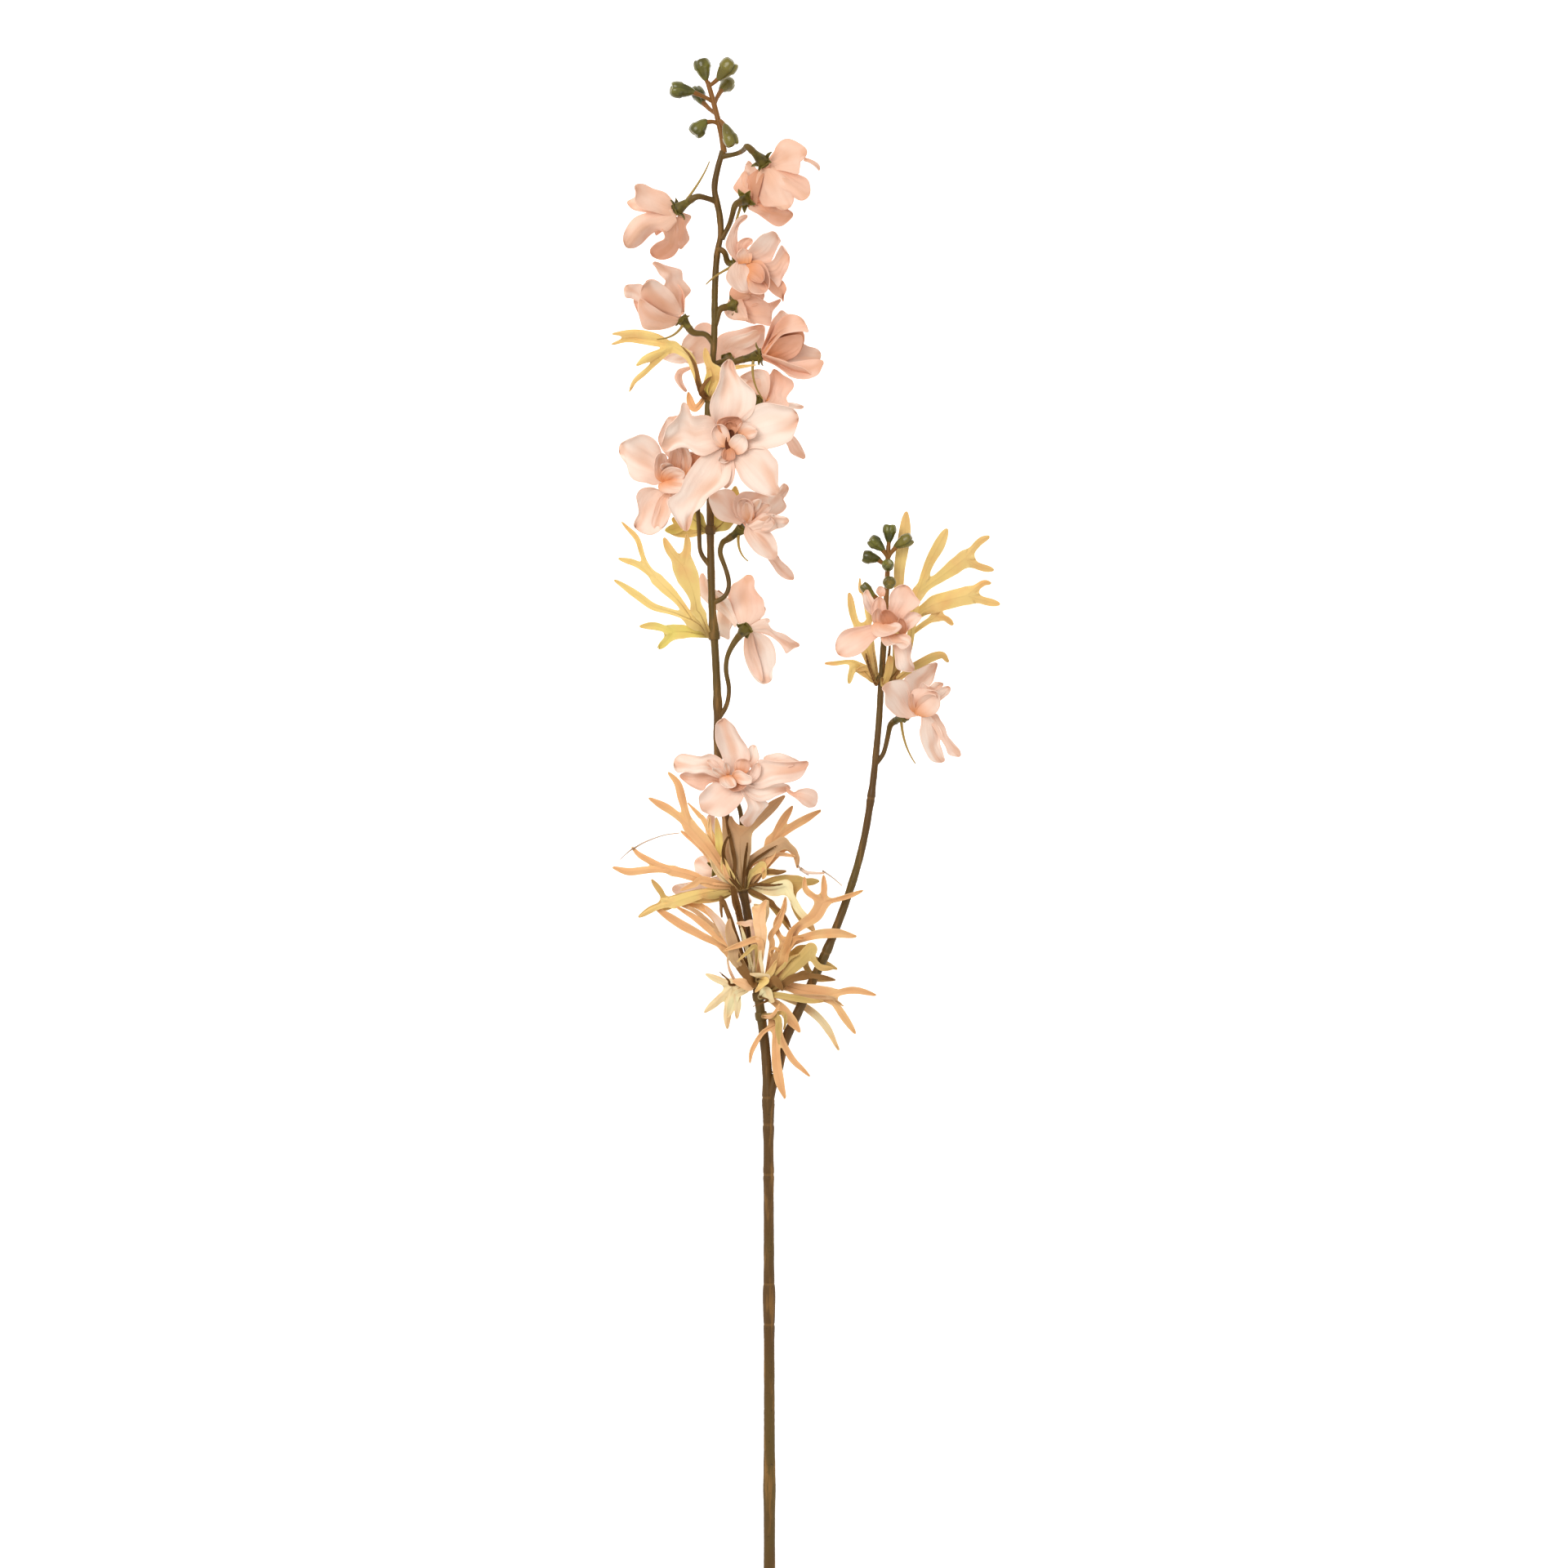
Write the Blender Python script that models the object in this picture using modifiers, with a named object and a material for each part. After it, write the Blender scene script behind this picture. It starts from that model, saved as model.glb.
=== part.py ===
"""Artificial larkspur spray, lying on its back on a surface.

One wire-cored stem carries a fork, two heads of buds, seventeen fabric blooms and eight
whorls of cut leaves. Every place below is in millimetres, measured in plan from the cut
end of the stem: x to the right, y along the spray towards its tip, z up from the surface.
"""
import math

import bmesh
import bpy
from mathutils import Vector

# Driving dimensions, in millimetres
MM = 0.001
FOOT = Vector((-18.9, -393.6, 0.0))     # the cut end, seen from the middle of the footprint
GAP = 0.3                               # clearance between pieces that meet
PETAL_THICKNESS = 0.7
LEAF_THICKNESS = 0.7
STEM_FOOT_RADIUS = 2.6
STEM_TIP_RADIUS = 1.5
SIDE_FOOT_RADIUS = 2.2
SIDE_TIP_RADIUS = 1.4
PEDICEL_RADIUS = 1.1
SPUR_RADIUS = 0.5
HUB_RADIUS = 2.8                        # where a bloom's petals leave its receptacle
INNER_HUB_RADIUS = 2.0
INNER_HUB_RISE = 2.3
INNER_OPENING = math.radians(46)        # widest slope of the inner petals from the axis
INNER_CLEARANCE = math.radians(14)      # slope kept between inner and outer petals
POST_RADIUS = 1.5
CALYX_RADIUS = 3.3
TOOTH_REACH = 6.4
SLEEVE_WALL = 0.9
SLEEVE_LENGTH = 5.0
SLEEVE_CLEARANCE = 0.7                  # between a stem and the sleeve that slides on it
LEAF_ROOT_WIDTH = 2.4
BUD_STALK_RADIUS = 0.9

# Lengths of the straight runs and steps that the tubes are drawn in, in millimetres
STEM_STEP = 20.0
FORK_STEP = 8.0
RACHIS_STEP = 10.0
PEDICEL_STEP = 9.0
PEDICEL_END_RUN = 3.0                   # straight part just below a bloom's green tube
STALK_IN_BUD = 1.5                      # how far a bud's stalk runs into the bud
STALK_SAG = 0.6

# Shape of the green tube and its teeth, at parts of its length from the mouth
CALYX_PROFILE = [(1.3, 1.0), (2.2, 0.6), (2.9, 0.25)]
CALYX_MOUTH_RADIUS = 2.4
TOOTH_DEPTH = 1.3                       # how far below the mouth the teeth stand out
TOOTH_DROOP = 0.8
SPUR_ROOT = 0.45                        # part of the tube's length where the spur leaves it
SPUR_BOW = 2.5
SPUR_STEPS = 4

# Shape of the buds, for a bud with a radius of one
BUD_FOOT = 0.42                         # part of its length from its middle to its stalk
BUD_LOBES = 3
LOBE_SWELL = 0.07
TIP_NOTCH = 0.14

# Shape of the cut petals
PETAL_FULLNESS = 1.2                    # width of the flat petal, for its width seen in plan
LEAF_FULLNESS = 1.2
LEAF_TIP_SHARE = 0.4                    # width of a lobe's end, for its widest width
CROTCH_DEPTH = 0.4
WIDEST_TURN = 0.86 * math.pi            # how far the sine that shapes a petal's side runs
CLAW_SHARE = 1.3
PETAL_BEND = 0.42                       # part of its length where a petal turns outwards
OUTER_CUP = 0.16                        # how far a petal's edges rise, for its half width
INNER_CUP = 0.3
INNER_RISE = 0.3
TIP_REACH = 0.45                        # how far a petal's rounded end runs past its corners
OUTER_STEPS = 3                         # rows of points along a petal
INNER_STEPS = 2

# How finely the round forms are divided
BUD_SIDES = 6
BUD_RINGS = 5
CALYX_SIDES = 10                        # a tooth on every second side
SLEEVE_SIDES = 10
POST_SIDES = 5
EIGHT_SIDES = 2                         # bevel resolution that gives a tube eight sides
SIX_SIDES = 1
FOUR_SIDES = 0

# Routes of the two stems, from foot to tip
MAIN_ROUTE = [
    (0.8, 0, 2.6), (0.8, 48, 5.2), (0.7, 150, 11.2), (0.4, 249, 17.2), (0.2, 278, 18.9),
    (-1.0, 300, 20.2), (-3.2, 318, 21.3), (-7.0, 345, 22.9), (-9.6, 366, 24.1),
    (-13, 383, 25.1), (-17, 398, 26), (-20.4, 415, 27), (-23.2, 434, 28), (-24.6, 452, 28.8),
    (-24.5, 470, 29.4), (-25.6, 495, 30), (-27.2, 520, 30), (-28, 550, 30), (-28.2, 575, 30),
    (-29, 600, 30), (-29.2, 615, 30), (-27.6, 632, 30), (-26.2, 650, 30), (-25.8, 675, 30),
    (-24.8, 691, 30), (-23, 701, 30), (-23.6, 711, 30), (-26, 723, 30), (-24.6, 733, 30),
    (-22, 742, 30),
]
SIDE_ROUTE = [
    (4.4, 289.5, 20.4), (8.2, 305, 21.5), (13, 316, 22.3), (20, 331, 23.4), (28, 348, 24.6),
    (33.4, 361, 25.4), (38.6, 375, 26.2), (44, 392, 27), (48, 409, 27.6), (51, 428, 28),
    (53, 446, 28), (54.6, 464, 28), (55.6, 482, 28), (56.6, 497, 28), (57.6, 514, 28),
]
FORK_ROUTE = [(0.3, 274, 18.7), (2.2, 283, 19.7), (4.2, 288.8, 20.4)]

# Swellings of the main stem: distance from the foot, length, extra radius
SWELLINGS = [(86, 11, 0.35), (178, 11, 0.5), (240, 5, 0.3), (263, 5, 0.4), (276, 7, 0.7),
             (385, 6, 0.5), (508, 4, 0.7), (471, 4, 0.5)]
SIDE_SWELLINGS = [(349, 4, 0.4), (425, 4, 0.4)]


def bloom(hub, face, tube, outer, inner, pedicel, spur=None, rise=0.22, stem="main"):
    """One bloom: hub and facing direction, length of its green tube, tip and width of each
    outer petal, (count, length) of the inner ones, route of its pedicel."""
    return {"hub": Vector(hub), "face": Vector(face).normalized(), "tube": tube, "outer": outer,
            "inner": inner, "pedicel": pedicel, "spur": spur, "rise": rise, "stem": stem}


BLOOMS = {
    "01": bloom((-1.2, 735, 37), (0.55, -0.5, -0.65), 12,
                [(18, 745, 36, 12), (20, 723, 38, 17), (7, 713, 38, 18), (-3, 721, 31, 14),
                 (5, 743, 19, 14)],
                (5, 12), [(-22.2, 739.5, 30), (-17.5, 740, 31), (-13, 741, 35),
                                (-11, 742.2, 41)]),
    "02": bloom((-10.4, 718.8, 27), (0.45, 0.3, -0.84), 9,
                [(-18, 726, 20, 12), (-8, 736, 13, 13), (13, 713, 20, 15), (6, 703, 21, 15),
                 (-10, 706, 9, 14)],
                (5, 11), [(-22.6, 699, 30), (-18.6, 706, 31.5)], (-17.4, 693, 38)),
    "03": bloom((-45.6, 712.8, 30), (-0.75, -0.45, -0.45), 11,
                [(-64, 725, 35, 14), (-69, 714, 20, 14), (-70, 698, 40, 18), (-56, 690, 22, 15),
                 (-37, 702, 16, 11)],
                (5, 12), [(-25.6, 717.6, 30), (-31, 719, 33)], (-28.4, 736, 40)),
    "04": bloom((-43, 661, 32), (-0.6, 0.78, 0.1), 8,
                [(-51, 688, 37, 16), (-69, 676, 30, 15), (-62, 671, 46, 18), (-60, 674, 18, 15),
                 (-46, 681, 20, 15)],
                (4, 12), [(-26.3, 647.5, 30), (-31, 653, 30.6)], (-54, 649, 41), 0.45),
    "05": bloom((-12, 686, 37), (0.62, -0.1, 0.75), 9,
                [(-11, 710, 38, 10), (4, 703, 42, 15), (11, 689, 39, 13), (7, 671, 40, 14),
                 (-17, 674, 46, 16)],
                (5, 12), [(-24.6, 694, 30), (-21, 693, 32)], (-30, 676, 39)),
    "06": bloom((-15, 667, 26), (0.84, 0.2, -0.4), 7,
                [(-6, 680, 22, 12), (2, 669, 29, 13), (-8, 655, 30, 14), (-4, 663, 12, 14),
                 (-10, 674, 13, 12)],
                (4, 10), [(-26, 657, 30), (-24, 662, 29.5)]),
    "07": bloom((-2, 642.4, 31), (0.88, 0.2, 0.25), 11,
                [(7, 664, 22, 13), (18, 660, 43, 16), (26, 646, 18, 14), (27, 637, 40, 13),
                 (13, 627, 38, 14)],
                (5, 12), [(-27.4, 634, 30), (-20, 637, 30)], (-2.4, 620, 40), 0.35),
    "08": bloom((-20, 641, 16), (-0.1, 0.15, -0.98), 7,
                [(-33, 657, 9, 13), (-47, 645, 0, 14), (-41, 627, 0, 10), (-6, 656, 9, 19),
                 (-9, 631, 8, 14)],
                (5, 8), [(-27.2, 637, 30), (-23, 639, 26)]),
    "09": bloom((-18.8, 600, 50), (0.03, -0.03, 1), 12,
                [(-18.4, 640, 55, 22), (14, 612, 56, 23), (3, 575, 55, 21), (-39, 557, 54, 17),
                 (-51, 601, 57, 20)],
                (5, 12), [(-28.8, 594, 30), (-23, 596, 32)]),
    "10": bloom((-45.6, 588, 37), (-0.2, -0.15, 0.95), 11,
                [(-73, 598, 40, 22), (-62, 557, 36, 19), (-40, 566, 36, 13), (-30, 588, 42, 11),
                 (-44, 610, 42, 14)],
                (5, 14), [(-27.6, 538.5, 30), (-32.8, 545, 30), (-33.6, 556, 29),
                                  (-35, 572, 26), (-40, 585, 22)]),
    "11": bloom((-3.6, 619.6, 27), (0.75, 0.1, -0.5), 8,
                [(2, 636, 21, 12), (13, 627, 20, 14), (18, 615, 17, 9), (18, 593, 19, 10),
                 (-1, 612, 11, 12)],
                (4, 10), [(-29, 613, 30), (-20, 615, 29.5)]),
    "12": bloom((-10.8, 558.4, 28), (0.6, 0.45, 0.1), 9,
                [(-23, 574, 34, 14), (-6, 578, 28, 14), (10, 576, 14, 13), (11, 562, 39, 14),
                 (4, 542, 37, 14), (13, 532, 12, 10)],
                (5, 12), [(-27, 521, 30), (-21.6, 523, 31), (-18.8, 529, 31),
                                 (-20.4, 537, 31), (-23.6, 546, 31), (-21.6, 551, 30)],
                (-9.6, 541, 36)),
    "13": bloom((-10.4, 508.8, 24), (0.4, 0.5, -0.75), 10,
                [(-8, 534, 14, 17), (-31, 531, 9, 11), (-24, 512, 9, 13), (15, 498, 9, 9),
                 (-3, 482, 13, 15)],
                (5, 11), [(-24.4, 464, 29), (-20.2, 470, 30), (-18.8, 479, 31),
                                 (-20.4, 487, 32), (-19.6, 495, 32.6)]),
    "14": bloom((-18.8, 435.2, 48), (0.05, 0.3, 0.94), 9,
                [(-21, 464, 56, 15), (-46, 443, 53, 17), (-24, 416, 45, 22), (20, 443, 54, 15),
                 (16, 425, 42, 12), (-3, 414, 42, 12)],
                (5, 12), [(-13.4, 384.5, 25.4), (-12.4, 396, 29), (-12.6, 408, 31),
                                  (-13.6, 420, 34)]),
    "15": bloom((-25, 392, 15), (-0.3, 0.2, -0.93), 7,
                [(-30, 420, 10, 12), (-46, 404, 8, 12), (-47, 379, 6, 14), (-22, 372, 7, 12),
                 (-2, 393, 8, 10)],
                (4, 8), [(-14.8, 390, 25.6), (-19, 390, 23.4)]),
    "16": bloom((58.8, 510, 47), (-0.05, 0.2, 0.97), 10,
                [(34.4, 500, 45, 15), (48, 527, 50, 10), (70, 528, 52, 16), (76, 513, 46, 11),
                 (67, 485, 43, 13)],
                (5, 11), [(57, 503, 28), (58.5, 505, 31.5)], stem="side"),
    "17": bloom((68, 466.4, 27), (0.55, 0.35, 0.6), 9,
                [(58, 480, 47, 17), (80, 490, 32, 14), (90, 478, 28, 9), (94, 447, 22, 10),
                 (81, 443, 30, 12)],
                (5, 12), [(52.6, 442, 28), (56.4, 446, 27), (58.4, 453, 25)],
                (72.6, 442, 21), stem="side"),
}


def lobe(way, start, end, *forks):
    """One strip of a leaf: its way, its width where it starts and where it is widest or
    forks, and the strips that it forks into."""
    return {"way": [Vector(point) for point in way], "start": start, "end": end,
            "forks": list(forks)}


# Whorls of leaves: distance of the sleeve along its stem, and the leaves that leave it
WHORLS = {
    "leaves_upper": ("main", 620.5, [
        lobe([(-33, 626, 33), (-35.6, 634, 34), (-38.4, 641, 35), (-46, 646, 34)], 3, 4,
             lobe([(-54, 651, 33), (-64, 653, 31), (-76, 652.6, 28)], 2, 3.4),
             lobe([(-60, 648.6, 28), (-68, 650, 25), (-76.6, 648, 22)], 2, 3),
             lobe([(-58, 641, 34), (-64, 637, 32)], 2, 4),
             lobe([(-59, 635, 27), (-65, 630, 23), (-68, 625, 19)], 1.6, 3)),
        lobe([(-26.5, 627, 33.6), (-26, 633, 35)], 3, 7,
             lobe([(-29, 638, 36), (-30.6, 645, 36)], 3, 4),
             lobe([(-21.6, 632, 38)], 2.4, 3)),
    ]),
    "leaves_crown": ("main", 556, [
        lobe([(-34, 560, 26), (-38, 563, 24)], 3, 9,
             lobe([(-44, 558, 22), (-50, 556.6, 20)], 4, 6),
             lobe([(-40, 572, 20), (-39, 584, 14)], 3, 6)),
        lobe([(-23, 559, 26), (-20.6, 562, 24)], 3, 8,
             lobe([(-17, 570, 20), (-16, 578, 16)], 4, 6)),
    ]),
    "leaves_middle": ("main", 504.5, [
        lobe([(-33, 509.6, 31), (-36.5, 512, 31)], 4, 7,
             lobe([(-44, 522, 30), (-54, 532, 29)], 2.6, 5.4,
                  lobe([(-64, 539.6, 27), (-73, 542.6, 25)], 2, 3.6),
                  lobe([(-60.6, 542, 27), (-64, 552, 26), (-71.6, 560.6, 25)], 1.6, 3)),
             lobe([(-46, 516, 29), (-56, 519, 27), (-66, 526, 25), (-75, 532, 23)], 2.4, 4.4)),
        lobe([(-32.4, 514, 33), (-34.6, 517, 34)], 3, 5,
             lobe([(-36.4, 526, 36), (-41, 538, 37)], 4, 10,
                  lobe([(-47, 545, 37), (-50.6, 552, 36)], 4, 4.4),
                  lobe([(-39.2, 548, 38), (-39.4, 554, 38)], 4, 3.6))),
        lobe([(-33, 505.4, 28), (-40, 506.6, 27), (-46, 506.6, 26)], 4, 6.4,
             lobe([(-55, 509.4, 24), (-62.6, 509.4, 23)], 3, 4),
             lobe([(-50, 502, 24), (-53.6, 498.6, 23)], 3, 4)),
    ]),
    "leaves_great": ("main", 381.5, [
        lobe([(-19, 381.6, 29), (-28, 382.6, 30), (-36, 386.6, 30), (-46, 389.4, 29)], 3, 4.4,
             lobe([(-57, 390, 27), (-68, 389, 25), (-76, 391, 23)], 2.2, 4.4),
             lobe([(-61, 396, 27), (-66.6, 401, 26)], 2, 3.4)),
        lobe([(-20, 379.6, 26), (-30, 379, 25), (-41, 376, 23.6), (-50, 373, 22)], 4, 5.4,
             lobe([(-56, 371, 21), (-63.6, 366.6, 20)], 3, 3.4),
             lobe([(-52, 378, 20), (-57, 385, 19)], 2, 3.4)),
        lobe([(-18.6, 385.6, 30.6), (-23.6, 393, 32), (-30, 402, 32), (-38, 411, 31)], 3.4, 6,
             lobe([(-47, 418.6, 29), (-58, 425, 27)], 3, 4.4),
             lobe([(-41.8, 424, 30), (-44, 432, 29), (-48.6, 437.6, 28)], 3, 4.4)),
        lobe([(-12.6, 388, 32.6), (-13.4, 396, 34.6), (-13.4, 406, 35.6)], 5, 10,
             lobe([(-17.4, 412.6, 36), (-18, 416, 36)], 4, 4),
             lobe([(-7, 412, 35), (0, 419, 32), (8, 426, 29)], 4, 6)),
        lobe([(-6, 387, 29.6), (0, 397, 30), (2, 403.6, 29.6)], 3, 6,
             lobe([(6, 411.6, 27), (12, 421, 24)], 3, 4.4),
             lobe([(12, 411, 26), (26, 419, 22)], 3, 4.4)),
        lobe([(-6, 384.6, 27), (1, 394, 25), (9, 401, 23), (14, 396.6, 21), (14.6, 391, 20)],
             3, 4.4),
        lobe([(-6, 381.6, 24.6), (4, 384, 24), (14, 383.6, 22)], 4, 6.4,
             lobe([(25, 384.2, 19)], 3, 4),
             lobe([(12.6, 374, 20), (17, 365, 19), (22.6, 359.6, 18)], 2.6, 3.4)),
        lobe([(-7, 378, 22), (0, 374.6, 20.6), (7, 366, 18.6), (10.6, 360, 17)], 3, 3.4),
    ]),
    "leaves_lower_left": ("main", 336.5, [
        lobe([(-11.4, 340, 26), (-16, 346, 27.6), (-20.4, 352, 28)], 3.4, 5,
             lobe([(-31, 357, 27), (-44, 364, 25), (-55.6, 371.6, 24)], 3, 5),
             lobe([(-26, 366, 25), (-35, 372.6, 21.6), (-47, 374, 20)], 2.4, 4)),
        lobe([(-8, 341, 27.6), (-6.4, 350, 29), (-4.6, 362, 30), (-2.6, 369, 30)], 3, 6,
             lobe([(-6.6, 373, 30)], 2.4, 2.6),
             lobe([(0, 375, 31)], 3, 3)),
        lobe([(-11, 332.6, 20), (-17, 332.6, 17.6)], 4, 7,
             lobe([(-22, 334.6, 16), (-30.4, 338.4, 14)], 3, 3.6),
             lobe([(-24, 326, 14), (-31, 319.6, 12)], 3, 4.4),
             lobe([(-19.6, 321, 14), (-20, 311.6, 12)], 3, 4.4)),
    ]),
    "leaves_lower_right": ("main", 328.0, [
        lobe([(0.4, 331.6, 24), (8, 333, 26), (18, 330.6, 27.4), (30, 328.6, 29)], 4, 7,
             lobe([(42, 331, 30), (53, 328.6, 29)], 3, 3.6),
             lobe([(36, 320, 28), (43, 309.6, 26)], 3, 4)),
        lobe([(0, 329, 21), (8, 327, 18.6), (18, 322.6, 17), (28, 313.6, 15.6), (35, 301, 14)],
             3.4, 4.4),
        lobe([(-0.6, 327.6, 25.4), (6, 323, 27), (11, 317, 27.6), (15.6, 310.6, 27)], 3, 6),
        lobe([(1, 335, 23), (8, 342, 23.6), (16, 349, 24)], 3.6, 7,
             lobe([(21, 352.6, 24.4)], 3, 3.4),
             lobe([(26, 344.6, 20), (34, 341, 17)], 2.6, 3.4),
             lobe([(22, 337.6, 19), (33, 335.6, 16)], 2.6, 3.4)),
        lobe([(0.6, 337.4, 27.6), (4.4, 346, 30), (9, 353, 31.6)], 3.4, 5,
             lobe([(20, 357.4, 32), (32, 359, 31.6), (43, 357.4, 31)], 3, 5.4),
             lobe([(14, 361, 33), (22.6, 367, 33.6), (27, 374, 33.4)], 3, 6,
                  lobe([(19, 380, 33), (18, 386.6, 32)], 2.6, 3),
                  lobe([(27.6, 381, 33), (27.4, 387.4, 32)], 2.6, 3),
                  lobe([(38, 376.6, 33), (47, 380, 32)], 2, 2.6)),
             lobe([(4, 362, 30), (7.6, 370, 30), (8.8, 376.6, 29.6)], 2, 3.4)),
    ]),
    "leaves_foot": ("main", 317.5, [
        lobe([(2, 317.6, 24.6), (4, 314, 25.6)], 3, 5.4,
             lobe([(-2.4, 310, 26.6), (-7.4, 302, 27), (-8.8, 295, 27)], 1.8, 2.6),
             lobe([(4, 300, 25.6), (5.4, 288, 24.6), (8.4, 278, 23)], 3, 5.6),
             lobe([(11, 298.6, 26), (20.6, 288.6, 24)], 2.4, 3.4)),
    ]),
    "leaves_side": ("side", 483.0, [
        lobe([(51.4, 487, 27), (49, 497, 24), (46.6, 505, 22)], 3, 7,
             lobe([(42.6, 513, 21), (40, 525.6, 20)], 3, 3.6),
             lobe([(50.4, 514, 20), (51.6, 521, 19)], 3, 3)),
        lobe([(51.6, 483, 24.6), (47, 488, 21)], 3, 3.4,
             lobe([(42, 492, 19), (34, 491.4, 17), (28, 491.4, 16)], 1.6, 2.2),
             lobe([(42, 489, 22), (40, 481.6, 20)], 2, 3)),
        lobe([(61.4, 488, 27), (63.6, 500, 22), (64.6, 515, 20)], 4, 6.4,
             lobe([(64.6, 536, 22), (67, 553, 23), (68, 565, 23)], 4, 6.4)),
        lobe([(62.4, 486, 26), (69, 497, 20), (71.4, 515, 17), (74, 526, 15)], 3, 5,
             lobe([(79, 539.6, 14), (84, 549, 14), (88, 557, 14)], 3, 6),
             lobe([(87, 535.4, 12), (97, 543, 11)], 3, 7,
                  lobe([(104, 551, 10), (109, 554, 9)], 3, 3.6),
                  lobe([(104, 539.4, 9), (111, 537.6, 8)], 3, 3.6))),
        lobe([(62.4, 484.6, 24.4), (70, 496, 14), (80, 512, 9), (91, 519, 6.6), (98, 525, 5)],
             3, 8,
             lobe([(106, 531, 3), (110, 531.4, 2)], 3, 3),
             lobe([(107, 522.6, 0.8), (114.4, 521, 0)], 3, 4)),
        lobe([(62, 482.4, 28.4), (72, 489.6, 38), (84, 495, 40), (88, 492, 39)], 3, 4.4),
    ]),
}

# Buds: middle, growing direction, length, width, and where the stalk leaves the rachis
MAIN_RACHIS = [(-21.6, 743.2, 30), (-22.6, 750, 30), (-24.4, 757.6, 30), (-26.8, 767, 30),
               (-29.4, 776, 30)]
MAIN_BUDS = [
    ((-31.6, 782.2, 30.5), (-0.25, 1, 0), 11.2, 8.4, (-29.2, 775.4, 30)),
    ((-20.4, 781.6, 33), (0.6, 0.75, 0.2), 12.4, 9.4, (-28.8, 774, 30)),
    ((-20.6, 775, 21), (0.5, 0.5, -0.6), 10, 7.4, (-26, 765, 30)),
    ((-42, 771.4, 33), (-1, 0.1, 0.2), 12.6, 8.4, (-26.6, 766, 30)),
    ((-33.6, 770, 20), (-0.35, 0.7, -0.55), 12, 7, (-25, 760, 30)),
    ((-33.4, 753.4, 31), (-0.55, -0.6, 0.1), 10, 8.2, (-23.8, 755, 30)),
    ((-18.8, 748.6, 38), (0.35, -0.9, 0.05), 12, 7.4, (-23.8, 757, 30)),
]
SIDE_RACHIS = [(57.8, 515.6, 28), (58.2, 524, 28), (58.6, 533, 28), (58.8, 541, 28),
               (59.2, 549, 28)]
SIDE_BUDS = [
    ((59.6, 555, 28), (0.05, 1, 0), 9.6, 6.4, (59.2, 548, 28)),
    ((53.4, 549.6, 30), (-0.7, 0.6, 0.15), 9.6, 6.8, (58.9, 542, 28)),
    ((66.6, 550.6, 30), (0.8, 0.45, 0.15), 10.4, 7, (58.9, 542, 28)),
    ((50.6, 543, 27), (-0.95, 0.2, 0), 9.4, 7, (58.6, 537, 28)),
    ((58.8, 538.6, 33.4), (0, 0.4, 0.9), 7.6, 6, (58.5, 535, 28)),
    ((59.4, 530.6, 34), (0.1, -0.1, 1), 7.4, 6.4, (58.4, 529, 28)),
    ((49.4, 526.6, 29), (-0.7, 0.75, 0), 10.4, 5, (58.2, 521, 28)),
]


def clear_scene():
    for item in list(bpy.data.objects):
        bpy.data.objects.remove(item, do_unlink=True)


def new_collection(name):
    group = bpy.data.collections.new(name)
    bpy.context.scene.collection.children.link(group)
    return group


def finish_material(name, colour, roughness):
    material = bpy.data.materials.new(name)
    material.use_nodes = True
    shader = material.node_tree.nodes["Principled BSDF"]
    shader.inputs["Base Color"].default_value = (*colour, 1.0)
    shader.inputs["Roughness"].default_value = roughness
    shader.inputs["Metallic"].default_value = 0.0
    return material


def placed(point):
    """A place in millimetres from the cut end, as a place in metres in the part's frame."""
    return (point + FOOT) * MM


def spline_point(points, position):
    """Point of a Catmull-Rom curve through the given points, at a position in points."""
    last = len(points) - 1
    start = min(int(position), last - 1)
    part = position - start
    p1, p2 = points[start], points[start + 1]
    p0 = points[start - 1] if start > 0 else p1 * 2 - p2
    p3 = points[start + 2] if start + 2 <= last else p2 * 2 - p1
    return 0.5 * (2 * p1 + (p2 - p0) * part + (2 * p0 - 5 * p1 + 4 * p2 - p3) * part ** 2
                  + (3 * p1 - p0 - 3 * p2 + p3) * part ** 3)


def smooth_route(route, step):
    """Points every so many millimetres along a smooth curve through the route."""
    points = [Vector(point) for point in route]
    samples = []
    for index in range(len(points) - 1):
        length = (points[index + 1] - points[index]).length
        count = max(1, round(length / step))
        samples += [spline_point(points, index + part / count) for part in range(count)]
    return samples + [points[-1]]


def tube(points, radii, resolution):
    """A closed tube along the points, as a curve with a bevel made into a mesh."""
    curve = bpy.data.curves.new("tube", "CURVE")
    curve.dimensions = "3D"
    curve.bevel_depth = MM
    curve.bevel_resolution = resolution
    curve.use_fill_caps = True
    spline = curve.splines.new("POLY")
    spline.points.add(len(points) - 1)
    for knot, point, radius in zip(spline.points, points, radii):
        knot.co = (*placed(point), 1.0)
        knot.radius = radius
    guide = bpy.data.objects.new("tube", curve)
    bpy.context.scene.collection.objects.link(guide)
    evaluated = guide.evaluated_get(bpy.context.evaluated_depsgraph_get())
    mesh = bpy.data.meshes.new_from_object(evaluated)
    bpy.data.objects.remove(guide, do_unlink=True)
    work = bmesh.new()
    work.from_mesh(mesh)
    bmesh.ops.remove_doubles(work, verts=work.verts, dist=1e-6)
    work.to_mesh(mesh)
    work.free()
    return bpy.data.objects.new("tube", mesh)


def solid_from(work, thickness=0.0):
    """An object from a bmesh in millimetres; an open sheet is given its thickness."""
    for vertex in work.verts:
        vertex.co = placed(vertex.co)
    bmesh.ops.recalc_face_normals(work, faces=work.faces[:])
    if thickness:
        bmesh.ops.triangulate(work, faces=work.faces[:])
    mesh = bpy.data.meshes.new("solid")
    work.to_mesh(mesh)
    work.free()
    item = bpy.data.objects.new("solid", mesh)
    if thickness:
        shell = item.modifiers.new("Thickness", "SOLIDIFY")
        shell.thickness = thickness * MM
        shell.offset = 0.0
    return item


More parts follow.
